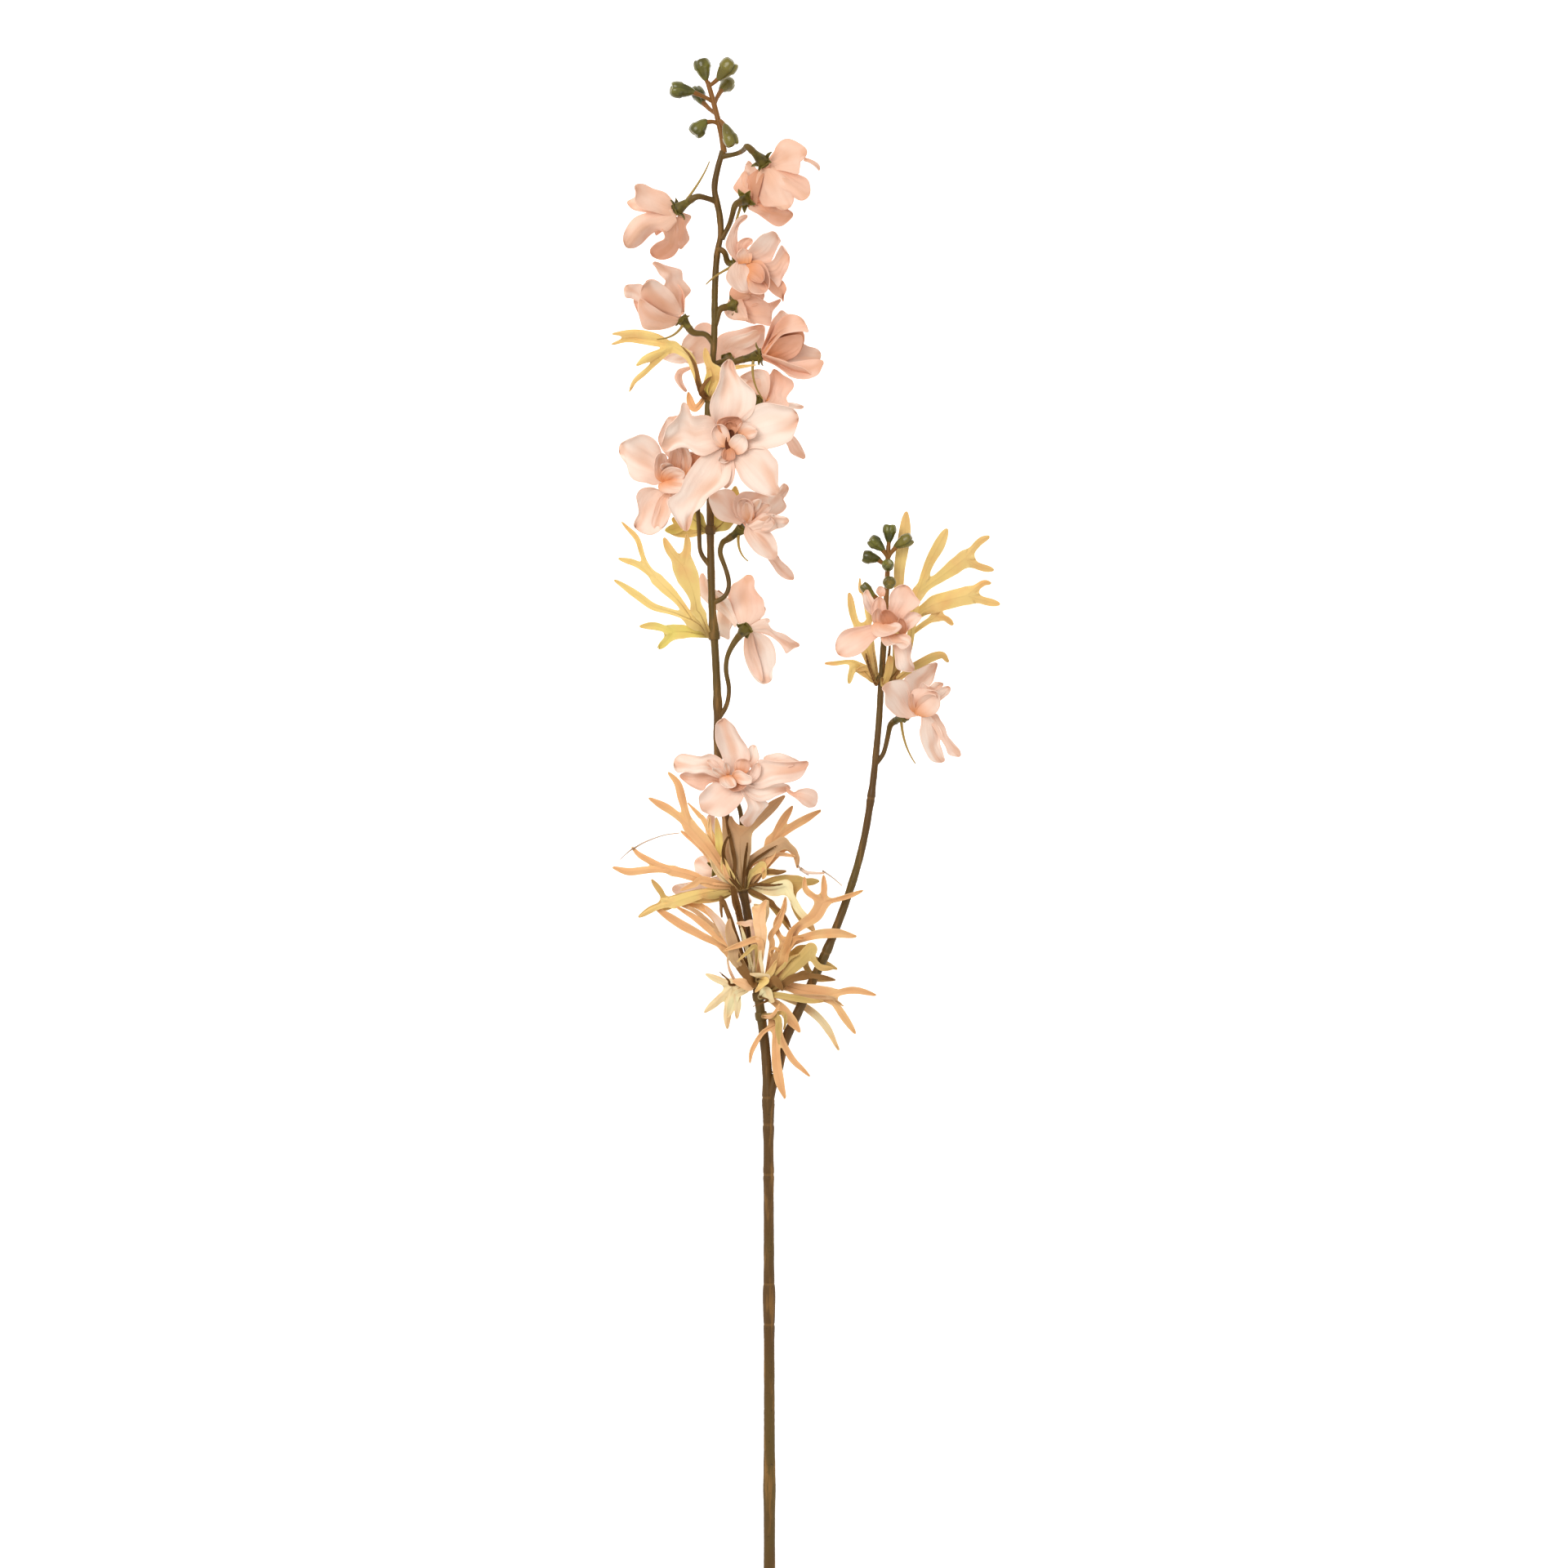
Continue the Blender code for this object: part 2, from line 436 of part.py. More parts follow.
def drop_idle_points(mesh):
    """Take out the points that a join leaves on straight edges, and split into triangles."""
    work = bmesh.new()
    work.from_mesh(mesh)
    idle = [vertex for vertex in work.verts if len(vertex.link_edges) == 2]
    bmesh.ops.dissolve_verts(work, verts=idle)
    bmesh.ops.triangulate(work, faces=work.faces[:])
    work.to_mesh(mesh)
    work.free()


def union(name, solids, material, group, solver="EXACT"):
    """Join closed solids in one body, which is the named piece."""
    helpers = new_collection("helpers")
    for item in solids[1:]:
        helpers.objects.link(item)
    target = solids[0]
    target.name = name
    group.objects.link(target)
    if len(solids) > 1:
        join = target.modifiers.new("Join", "BOOLEAN")
        join.operation = "UNION"
        join.operand_type = "COLLECTION"
        join.collection = helpers
        join.solver = solver
        join.use_self = True
    evaluated = target.evaluated_get(bpy.context.evaluated_depsgraph_get())
    mesh = bpy.data.meshes.new_from_object(evaluated)
    target.modifiers.clear()
    target.data = mesh
    drop_idle_points(mesh)
    for item in solids[1:]:
        bpy.data.objects.remove(item, do_unlink=True)
    bpy.data.collections.remove(helpers)
    mesh.name = name
    mesh.materials.clear()
    mesh.materials.append(material)
    mesh.shade_smooth()
    mesh.set_sharp_from_angle(angle=math.radians(50))
    return target


def frame_for(direction):
    """Rotation that turns +Z to the direction."""
    return direction.to_track_quat("Z", "Y").to_matrix()


# Stems

def swollen(radius, along, swellings):
    """The radius of a stem with its swellings, at a distance y from the cut end."""
    for middle, half, extra in swellings:
        radius += extra * math.exp(-((along - middle) / half) ** 2)
    return radius


def stem_tube(route, foot_radius, tip_radius, swellings):
    points = smooth_route(route, STEM_STEP)
    low, high = points[0].y, points[-1].y
    radii = []
    for point in points:
        part = (point.y - low) / (high - low)
        radii.append(swollen(foot_radius + (tip_radius - foot_radius) * part, point.y, swellings))
    return tube(points, radii, EIGHT_SIDES)


def stem_radius(stem, along):
    if stem == "main":
        part = along / MAIN_ROUTE[-1][1]
        plain = STEM_FOOT_RADIUS + (STEM_TIP_RADIUS - STEM_FOOT_RADIUS) * part
        return swollen(plain, along, SWELLINGS)
    part = (along - SIDE_ROUTE[0][1]) / (SIDE_ROUTE[-1][1] - SIDE_ROUTE[0][1])
    return swollen(SIDE_FOOT_RADIUS + (SIDE_TIP_RADIUS - SIDE_FOOT_RADIUS) * part, along,
                   SIDE_SWELLINGS)


def stem_place(stem, along):
    """Middle of the stem, and its direction, at a distance y from the cut end."""
    route = MAIN_ROUTE if stem == "main" else SIDE_ROUTE
    points = smooth_route(route, 1.0)
    index = min(range(1, len(points) - 1), key=lambda i: abs(points[i].y - along))
    return points[index], (points[index + 1] - points[index - 1]).normalized()


def pedicel_tube(spec):
    """The thin stalk from the stem to just below the green tube of its bloom."""
    base = spec["hub"] - spec["face"] * (spec["tube"] + GAP)
    route = [Vector(point) for point in spec["pedicel"]]
    route += [base - spec["face"] * PEDICEL_END_RUN, base]
    points = smooth_route(route, PEDICEL_STEP)
    return tube(points, [PEDICEL_RADIUS] * len(points), SIX_SIDES)


def make_stems(material, group):
    """The main stem with its fork, and the side stem, each with the stalks it carries."""
    main = [stem_tube(MAIN_ROUTE, STEM_FOOT_RADIUS, STEM_TIP_RADIUS, SWELLINGS)]
    fork_points = smooth_route(FORK_ROUTE, FORK_STEP)
    main.append(tube(fork_points, [SIDE_FOOT_RADIUS] * len(fork_points), EIGHT_SIDES))
    side = [stem_tube(SIDE_ROUTE, SIDE_FOOT_RADIUS, SIDE_TIP_RADIUS, SIDE_SWELLINGS)]
    for spec in BLOOMS.values():
        (main if spec["stem"] == "main" else side).append(pedicel_tube(spec))
    union("main_stem", main, material, group)
    union("side_stem", side, material, group)


# Buds

def bud_solid(middle, direction, length, width):
    """A plump bud, narrow at its stalk, with three lobes and a notch at its tip."""
    work = bmesh.new()
    bmesh.ops.create_uvsphere(work, u_segments=BUD_SIDES, v_segments=BUD_RINGS, radius=1.0)
    turn = frame_for(Vector(direction).normalized())
    for vertex in work.verts:
        x, y, z = vertex.co
        around = math.atan2(y, x)
        slim = 0.86 + 0.14 * z - 0.1 * (1 - z) * (z < 0)
        lobed = 1 + LOBE_SWELL * max(z, 0) * math.cos(BUD_LOBES * around)
        notch = TIP_NOTCH if z > 0.99 else 0.0
        local = Vector((x * slim * lobed * width / 2, y * slim * lobed * width / 2,
                        (z - notch) * length / 2))
        vertex.co = Vector(middle) + turn @ local
    return solid_from(work)


def make_bud_head(name, rachis, buds, radius, material, group):
    """The tip of a stem with its buds, each on a short stalk."""
    points = smooth_route(rachis, RACHIS_STEP)
    solids = [tube(points, [radius] * len(points), EIGHT_SIDES)]
    for middle, direction, length, width, root in buds:
        heading = Vector(direction).normalized()
        foot = Vector(middle) - heading * length * BUD_FOOT
        stalk = [Vector(root), (Vector(root) + foot) / 2 - heading * STALK_SAG,
                 foot + heading * STALK_IN_BUD]
        solids.append(tube(stalk, [BUD_STALK_RADIUS] * len(stalk), FOUR_SIDES))
        solids.append(bud_solid(middle, direction, length, width))
    union(name, solids, material, group)


# Blooms

def petal_width(part, width, claw):
    """Full width of a petal at a part of its length: a narrow claw, then a wide blade."""
    return claw + (width - claw) * math.sin(WIDEST_TURN * part ** CLAW_SHARE)


def bezier(p0, p1, p2, part):
    return p0 * (1 - part) ** 2 + p1 * 2 * part * (1 - part) + p2 * part ** 2


def petal_rows(left, right, axis, tip, width, rise, cup, steps, floor):
    """Rows of three points from the claw, between two corners of the hub, to the tip."""
    start = (left + right) / 2
    across = (right - left).normalized()
    claw = (right - left).length
    length = (tip - start).length
    level = tip - start
    level -= axis * level.dot(axis)
    bend = start + axis * rise * length + level * PETAL_BEND
    rows = []
    for step in range(1, steps + 1):
        part = step / steps
        middle = bezier(start, bend, tip, part)
        ahead = bezier(start, bend, tip, min(1.0, part + 0.02))
        behind = bezier(start, bend, tip, part - 0.02)
        along = (ahead - behind).normalized()
        side = along.cross(axis)
        side = side.normalized() if side.length > 0.45 else across
        if side.dot(across) < 0:
            side = -side
        side = (across * (1 - part) + side * part)
        side = (side - along * side.dot(along)).normalized()
        inward = side.cross(along)
        if inward.dot(axis) < 0:
            inward = -inward
        half = petal_width(part, width, claw) / 2
        lift = inward * cup * half
        row = [middle - side * half + lift, middle - lift * 0.4, middle + side * half + lift]
        if step == steps:
            row[1] = tip + along * half * TIP_REACH
        for point in row:
            point.z = max(point.z, floor)
        rows.append(row)
    return rows


def ring_order(middle, turn, petals):
    """The petals in order round the axis, and the bearing of the first when all are spaced
    evenly and as near as they can be to their own bearings."""
    bearings = []
    for petal in petals:
        local = turn.transposed() @ (Vector(petal[:3]) - middle)
        bearings.append(math.atan2(local.y, local.x))
    order = sorted(range(len(petals)), key=lambda index: bearings[index])
    drift = 0.0
    for place, index in enumerate(order):
        off = bearings[index] - 2 * math.pi * place / len(petals)
        drift += math.atan2(math.sin(off + math.pi), math.cos(off + math.pi)) / len(petals)
    return [petals[index] for index in order], drift - math.pi


def hub_corners(middle, turn, radius, count, first):
    corners = []
    for index in range(count):
        angle = first + 2 * math.pi * (index - 0.5) / count
        spot = Vector((math.cos(angle), math.sin(angle), 0.0)) * radius
        corners.append(middle + turn @ spot)
    return corners


def add_rows(work, root, rows):
    """Faces between rows of three points, from the three points at the petal's root."""
    previous = root
    for row in rows:
        current = [work.verts.new(point) for point in row]
        for side in range(2):
            work.faces.new((previous[side], current[side], current[side + 1],
                            previous[side + 1]))
        previous = current


def petal_ring(middle, axis, radius, petals, fullness, rise, cup, steps, floor):
    """One die-cut sheet: a hub with one petal on each side, in order round the axis."""
    turn = frame_for(axis)
    ordered, first = ring_order(middle, turn, petals)
    corners = hub_corners(middle, turn, radius, len(petals), first)
    work = bmesh.new()
    centre = work.verts.new(middle)
    rim = [work.verts.new(corner) for corner in corners]
    for index, petal in enumerate(ordered):
        after = (index + 1) % len(petals)
        left, right = corners[index], corners[after]
        rows = petal_rows(left, right, axis, Vector(petal[:3]), petal[3] * fullness, rise, cup,
                          steps, floor)
        root = [rim[index], work.verts.new((left + right) / 2), rim[after]]
        work.faces.new((centre, root[0], root[1]))
        work.faces.new((centre, root[1], root[2]))
        add_rows(work, root, rows)
    return solid_from(work, PETAL_THICKNESS)


def inner_petals(spec, middle):
    """Tips of the small curled petals, set evenly round the axis."""
    count, length = spec["inner"]
    turn = frame_for(spec["face"])
    slope = min((Vector(petal[:3]) - middle).angle(spec["face"]) for petal in spec["outer"])
    slope = min(INNER_OPENING, max(slope - INNER_CLEARANCE, INNER_CLEARANCE))
    width = 2 * (INNER_HUB_RADIUS + length * math.sin(slope) * 0.45) * math.sin(math.pi / count)
    tips = []
    for index in range(count):
        angle = 2 * math.pi * (index + 0.35) / count
        reach = INNER_HUB_RADIUS + length * math.sin(slope)
        local = Vector((math.cos(angle) * reach, math.sin(angle) * reach,
                        length * math.cos(slope)))
        tips.append((*(middle + turn @ local), width))
    return tips


def receptacle(spec):
    """The short post that holds the inner sheet of petals on the outer one."""
    post = bmesh.new()
    height = INNER_HUB_RISE + 0.2
    bmesh.ops.create_cone(post, cap_ends=True, segments=POST_SIDES, radius1=POST_RADIUS,
                          radius2=POST_RADIUS, depth=height)
    turn = frame_for(spec["face"])
    for vertex in post.verts:
        vertex.co = spec["hub"] + turn @ (vertex.co + Vector((0, 0, height / 2 - 0.1)))
    return solid_from(post)


def make_petals(name, spec, material, group):
    """Two sheets of petals, the inner one raised and more closed."""
    axis, hub = spec["face"], spec["hub"]
    floor = PETAL_THICKNESS / 2
    outer = petal_ring(hub, axis, HUB_RADIUS, spec["outer"], PETAL_FULLNESS, spec["rise"],
                       OUTER_CUP, OUTER_STEPS, floor)
    raised = hub + axis * INNER_HUB_RISE
    inner = petal_ring(raised, axis, INNER_HUB_RADIUS, inner_petals(spec, raised), 1.0,
                       INNER_RISE, INNER_CUP, INNER_STEPS, floor)
    union(name, [outer, inner, receptacle(spec)], material, group)


def calyx_rings(spec):
    """Rings of points from the foot of the green tube to its mouth; the ring with the teeth
    reaches out on every second side."""
    mouth = -(PETAL_THICKNESS / 2 + GAP)
    profile = [(radius, -spec["tube"] * part, radius) for radius, part in CALYX_PROFILE]
    profile += [(CALYX_RADIUS, mouth - TOOTH_DEPTH, TOOTH_REACH),
                (CALYX_MOUTH_RADIUS, mouth, CALYX_MOUTH_RADIUS)]
    turn = frame_for(spec["face"])
    rings = []
    for valley, height, peak in profile:
        ring = []
        for side in range(CALYX_SIDES):
            angle = 2 * math.pi * side / CALYX_SIDES
            radius = peak if side % 2 == 0 else valley
            droop = TOOTH_DROOP if side % 2 == 0 and peak > valley else 0.0
            spot = Vector((math.cos(angle) * radius, math.sin(angle) * radius, height - droop))
            ring.append(spec["hub"] + turn @ spot)
        rings.append(ring)
    return rings


def spur_tube(spec):
    """The thin curved spur that leaves the green tube near its mouth."""
    root = spec["hub"] - spec["face"] * spec["tube"] * SPUR_ROOT
    tip = Vector(spec["spur"])
    bend = (root + tip) / 2 - spec["face"] * SPUR_BOW * 2
    parts = [step / SPUR_STEPS for step in range(SPUR_STEPS + 1)]
    points = [bezier(root, bend, tip, part) for part in parts]
    radii = [SPUR_RADIUS * (1.5 - 0.7 * part) for part in parts]
    return tube(points, radii, FOUR_SIDES)


def make_calyx(name, spec, material, group):
    """Green tube behind a bloom, with five teeth at its mouth and a thin spur."""
    work = bmesh.new()
    rings = [[work.verts.new(point) for point in ring] for ring in calyx_rings(spec)]
    for low, high in zip(rings, rings[1:]):
        for side in range(CALYX_SIDES):
            after = (side + 1) % CALYX_SIDES
            work.faces.new((low[side], low[after], high[after], high[side]))
    work.faces.new(list(reversed(rings[0])))
    work.faces.new(rings[-1])
    solids = [solid_from(work)]
    if spec["spur"]:
        solids.append(spur_tube(spec))
    union(name, solids, material, group)


# Leaves

def lobe_sides(point, along, width):
    """The two edges of a strip at a point of its middle line."""
    side = Vector((along.y, -along.x, 0.0))
    side = side.normalized() if side.length > 1e-6 else Vector((1.0, 0.0, 0.0))
    return point - side * width / 2, point + side * width / 2


def lobe_width(spec, part, at_end):
    """Width of a strip at a part of its length; one that doesn't fork narrows to its end."""
    widest = spec["end"] * LEAF_FULLNESS
    if at_end and not spec["forks"]:
        return widest * LEAF_TIP_SHARE
    return spec["start"] + (widest - spec["start"]) * min(1.0, part * 1.5)


def add_forks(work, spec, along, edge, root, floor):
    """End a strip in crotches, and go on from each stretch of edge between them."""
    order = sorted(spec["forks"], key=lambda fork: turn_to(along, spec["way"][-1], fork))
    shares = [fork["start"] for fork in order]
    left, right = edge
    crotches = []
    for count in range(1, len(order)):
        share = sum(shares[:count]) / sum(shares)
        spot = left.co.lerp(right.co, share) - along * CROTCH_DEPTH
        crotches.append(work.verts.new(spot))
    corners = [left] + crotches + [right]
    work.faces.new([root[0], *corners, root[1]])
    for fork, near, far in zip(order, corners, corners[1:]):
        add_lobe(work, fork, near, far, floor)


def add_lobe(work, spec, left, right, floor):
    """Add a strip from the edge left-right along its way, and the strips it forks into."""
    way = [(left.co + right.co) / 2] + spec["way"]
    last = len(way) - 1
    for index in range(1, last + 1):
        ahead = way[min(index + 1, last)]
        along = (ahead - way[index - 1]).normalized()
        sides = lobe_sides(way[index], along, lobe_width(spec, index / last, index == last))
        edge = [work.verts.new((p.x, p.y, max(p.z, floor))) for p in sides]
        if index == last and spec["forks"]:
            add_forks(work, spec, along, edge, (left, right), floor)
        else:
            work.faces.new((left, edge[0], edge[1], right))
        left, right = edge


def turn_to(along, point, fork):
    """How far to the right of the parent strip a fork sets off."""
    heading = (fork["way"][0] - point).normalized()
    return -(along.x * heading.y - along.y * heading.x) if along.dot(heading) > -0.5 else 0.0


def leaf_sheet(spec, middle, direction, radius, floor):
    """A leaf whose root is sunk in the wall of the sleeve on its stem."""
    outward = spec["way"][0] - middle
    outward -= direction * outward.dot(direction)
    root = middle + outward.normalized() * radius
    along = spec["way"][0] - root
    work = bmesh.new()
    left, right = lobe_sides(root, along, min(spec["start"], LEAF_ROOT_WIDTH))
    add_lobe(work, spec, work.verts.new(left), work.verts.new(right), floor)
    return solid_from(work, LEAF_THICKNESS)


def make_whorl(name, stem, along, leaves, material, group):
    """Leaves on a short sleeve that slides on the stem."""
    middle, direction = stem_place(stem, along)
    radius = stem_radius(stem, along) + SLEEVE_CLEARANCE + SLEEVE_WALL / 2
    work = bmesh.new()
    bmesh.ops.create_cone(work, cap_ends=False, segments=SLEEVE_SIDES, radius1=radius,
                          radius2=radius, depth=SLEEVE_LENGTH)
    turn = frame_for(direction)
    for vertex in work.verts:
        vertex.co = middle + turn @ vertex.co
    solids = [solid_from(work, SLEEVE_WALL)]
    floor = LEAF_THICKNESS / 2
    solids += [leaf_sheet(leaf, middle, direction, radius, floor) for leaf in leaves]
    union(name, solids, material, group, "MANIFOLD")


def main():
    clear_scene()
    group = new_collection("larkspur_spray")
    bark = finish_material("stem_brown", (0.135, 0.062, 0.022), 0.55)
    green = finish_material("bud_green", (0.075, 0.085, 0.022), 0.35)
    olive = finish_material("calyx_olive", (0.070, 0.060, 0.015), 0.45)
    blush = finish_material("petal_blush", (0.86, 0.60, 0.46), 0.85)
    amber = finish_material("leaf_amber", (0.78, 0.50, 0.20), 0.75)
    make_stems(bark, group)
    make_bud_head("buds_main", MAIN_RACHIS, MAIN_BUDS, STEM_TIP_RADIUS, green, group)
    make_bud_head("buds_side", SIDE_RACHIS, SIDE_BUDS, SIDE_TIP_RADIUS, green, group)
    for number, spec in BLOOMS.items():
        make_petals("petals_" + number, spec, blush, group)
        make_calyx("calyx_" + number, spec, olive, group)
    for name, (stem, along, leaves) in WHORLS.items():
        make_whorl(name, stem, along, leaves, amber, group)


main()
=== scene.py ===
"""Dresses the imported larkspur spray: fine petals, leaves, buds and stems in the place of the
plain solids, their finishes, the floor, the lights and the camera.

Places are in millimetres in plan from the cut end of the stem, as in the part's own source:
x to the right, y along the spray towards its tip, z up from the surface.
"""

import math

import bpy
import numpy as np
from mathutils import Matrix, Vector


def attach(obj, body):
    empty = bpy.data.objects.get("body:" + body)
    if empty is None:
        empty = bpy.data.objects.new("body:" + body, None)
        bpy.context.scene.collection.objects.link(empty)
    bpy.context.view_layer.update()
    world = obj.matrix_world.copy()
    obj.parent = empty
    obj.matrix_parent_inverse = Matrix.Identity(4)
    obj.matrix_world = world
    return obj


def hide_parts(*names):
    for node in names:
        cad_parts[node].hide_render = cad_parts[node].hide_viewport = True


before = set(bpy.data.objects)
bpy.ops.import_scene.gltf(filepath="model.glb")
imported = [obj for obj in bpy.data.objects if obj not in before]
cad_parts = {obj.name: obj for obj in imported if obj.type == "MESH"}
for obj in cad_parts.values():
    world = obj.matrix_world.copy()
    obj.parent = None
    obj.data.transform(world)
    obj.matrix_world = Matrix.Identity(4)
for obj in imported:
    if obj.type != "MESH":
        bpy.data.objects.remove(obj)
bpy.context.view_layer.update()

# The view: its middle in plan, what it spans, and how high the camera stands
MM = 0.001
FOOT = np.array((-18.9, -393.6, 0.0))   # the cut end, seen from the middle of the footprint
VIEW_MIDDLE = (8.0, 432.0, 0.0)
VIEW_WIDTH = 768.0                      # what the square picture spans at the stem's level
CAMERA_HEIGHT = 3000.0
STEM_LEVEL = 30.0
SENSOR_WIDTH = 36.0
FLOOR_HALF = 6.0                        # in metres, as is its level
FLOOR_LEVEL = -0.0004
FLOOR_GLOW = 0.64
WORLD_LIGHT = 0.66
KEY_WATTS = 54.0
FILL_WATTS = 8.0

# Stems, stalks and buds
STEM_FOOT_RADIUS = 2.6
STEM_TIP_RADIUS = 1.5
SIDE_FOOT_RADIUS = 2.2
SIDE_TIP_RADIUS = 1.4
FOOT_FULLNESS = 0.3                     # how much fuller the stems are near their foot
PEDICEL_RADIUS = 1.1
PEDICEL_GAP = 0.3                       # between a bloom's stalk and its green tube
BUD_FULLNESS = (1.1, 1.2)               # of a bud's length and width
STALK_OVERLAP = 2.0                     # how far a stalk runs on into the stalk below it

# Calyxes
CALYX_MOUTH = -0.65                     # how far the tube's mouth stands from the hub
TOOTH_COUNT = 5
TOOTH_ROOT = 2.4
TOOTH_REACH = 6.4
TOOTH_SHEET = 0.45
TOOTH_SHARES = {"04": 0.55, "06": 0.7, "08": 0.35, "11": 0.5, "13": 0.6, "17": 0.35}
SPUR_RADIUS = 0.5
SPUR_BOW = 5.0

# Leaves
LEAF_SHEET = 0.4
LEAF_ROOT_WIDTH = 2.4
LEAF_CELL = 0.5                         # size of the cells that a leaf is cut from
LEAF_FULLNESS = 1.1
LEAF_FOLD = (0.1, 0.45)                 # how far a leaf's edges rise or fall
MIDRIB_DEPTH = 0.2
LEAF_FORM = (0.2, 2.6)                  # how blunt the tips are, how far the crotches are filled
LEAF_FORMS = {"leaves_side": (0.75, 4.0), "leaves_middle": (0.35, 3.0)}
COLLAR_WALL = 0.7                       # the low ring that a whorl of leaves grows from
COLLAR_LENGTH = 4.2
COLLAR_GAP = 0.02
FAR_OFF = 1e3

# Petals
PETAL_SHEET = 0.3
HUB_RADIUS = 2.8                        # where a bloom's petals leave its receptacle
INNER_HUB_RADIUS = 2.0
INNER_HUB_RISE = 2.3
LAYER_RISE = 0.8
HEART_THROAT = 0.7                      # height of the throat's dome under a heart of petals
INNER_OPENING = math.radians(46)        # widest slope of the inner petals from the axis
INNER_CLEARANCE = math.radians(14)      # slope kept between inner and outer petals
PETAL_FULLNESS = 1.2
INNER_FULLNESS = 1.15
INNER_RISE = 0.3
WIDEST_TURN = 0.86 * math.pi
PETAL_BEND = 0.42
ROUND_FROM = 0.62                       # part of its length where a petal starts to round off
OUTLINE_REACH = 0.96                    # part of a drawn side that a petal's rows run to

# How a petal differs from its plain form: shares of its width, and angles
OUTER_STYLE = {"rows": 36, "columns": 21, "extend": 0.12, "wobble": 0.08, "twist": 0.3,
               "curl": 0.12, "ruffle": 0.038, "tip": -0.12, "soft": 0.032, "fold": 0.009,
               "crease": 0.015, "point": 0.25, "claw": 1.05, "tone": 0.5,
               "cup": 0.16}
INNER_STYLE = {"rows": 22, "columns": 13, "extend": 0.12, "wobble": 0.08, "twist": 0.5,
               "curl": 0.2, "ruffle": 0.045, "tip": 0.15, "soft": 0.03, "fold": 0.012,
               "crease": 0.015, "point": 0.1, "claw": 0.9, "tone": 0.5,
               "cup": 0.34}

# Routes of the two stems, from foot to tip
MAIN_ROUTE = [
    (0.8, 0, 2.6), (0.8, 48, 5.2), (0.7, 150, 11.2), (0.4, 249, 17.2), (0.2, 278, 18.9),
    (-1.0, 300, 20.2), (-3.2, 318, 21.3), (-7.0, 345, 22.9), (-9.6, 366, 24.1),
    (-13, 383, 25.1), (-17, 398, 26), (-20.4, 415, 27), (-23.2, 434, 28), (-24.6, 452, 28.8),
    (-24.5, 470, 29.4), (-25.6, 495, 30), (-27.2, 520, 30), (-28, 550, 30), (-28.2, 575, 30),
    (-29, 600, 30), (-29.2, 615, 30), (-27.6, 632, 30), (-26.2, 650, 30), (-25.8, 675, 30),
    (-24.8, 691, 30), (-23, 701, 30), (-23.6, 711, 30), (-26, 723, 30), (-24.6, 733, 30),
    (-22, 742, 30),
]
SIDE_ROUTE = [
    (4.4, 289.5, 20.4), (8.2, 305, 21.5), (13, 316, 22.3), (20, 331, 23.4), (28, 348, 24.6),
    (33.4, 361, 25.4), (38.6, 375, 26.2), (44, 392, 27), (48, 409, 27.6), (51, 428, 28),
    (53, 446, 28), (54.6, 464, 28), (55.6, 482, 28), (56.6, 497, 28), (57.6, 514, 28),
]
FORK_ROUTE = [(0.3, 274, 18.7), (2.2, 283, 19.7), (4.2, 288.8, 20.4)]

# Swellings of each stem: distance from the foot, length, extra radius
SWELLINGS = [(86, 11, 0.35), (178, 11, 0.5), (240, 5, 0.3), (263, 5, 0.4), (276, 7, 0.7),
             (385, 6, 0.5), (508, 4, 0.7), (471, 4, 0.5)]
SIDE_SWELLINGS = [(349, 4, 0.4), (425, 4, 0.4)]

# Distances from the foot of the narrow rings of each stem
STEM_RINGS = {"main": (278.0, 264.8, 240.0, 186.0, 166.0), "side": (349.0, 425.0)}
STEMS = {
    "main": (MAIN_ROUTE, STEM_FOOT_RADIUS, STEM_TIP_RADIUS, SWELLINGS),
    "side": (SIDE_ROUTE, SIDE_FOOT_RADIUS, SIDE_TIP_RADIUS, SIDE_SWELLINGS),
}


def bloom(hub, face, tube, outer, inner, pedicel, spur=None, rise=0.22, stem="main"):
    """One bloom: hub and facing direction, length of its green tube, tip and width of each
    outer petal, (count, length) of the inner ones, route of its pedicel."""
    facing = np.array(face, dtype=float)
    return {"hub": np.array(hub, dtype=float), "face": facing / np.linalg.norm(facing),
            "tube": tube, "outer": outer, "inner": inner,
            "pedicel": [np.array(point, dtype=float) for point in pedicel],
            "spur": None if spur is None else np.array(spur, dtype=float), "rise": rise,
            "stem": stem}


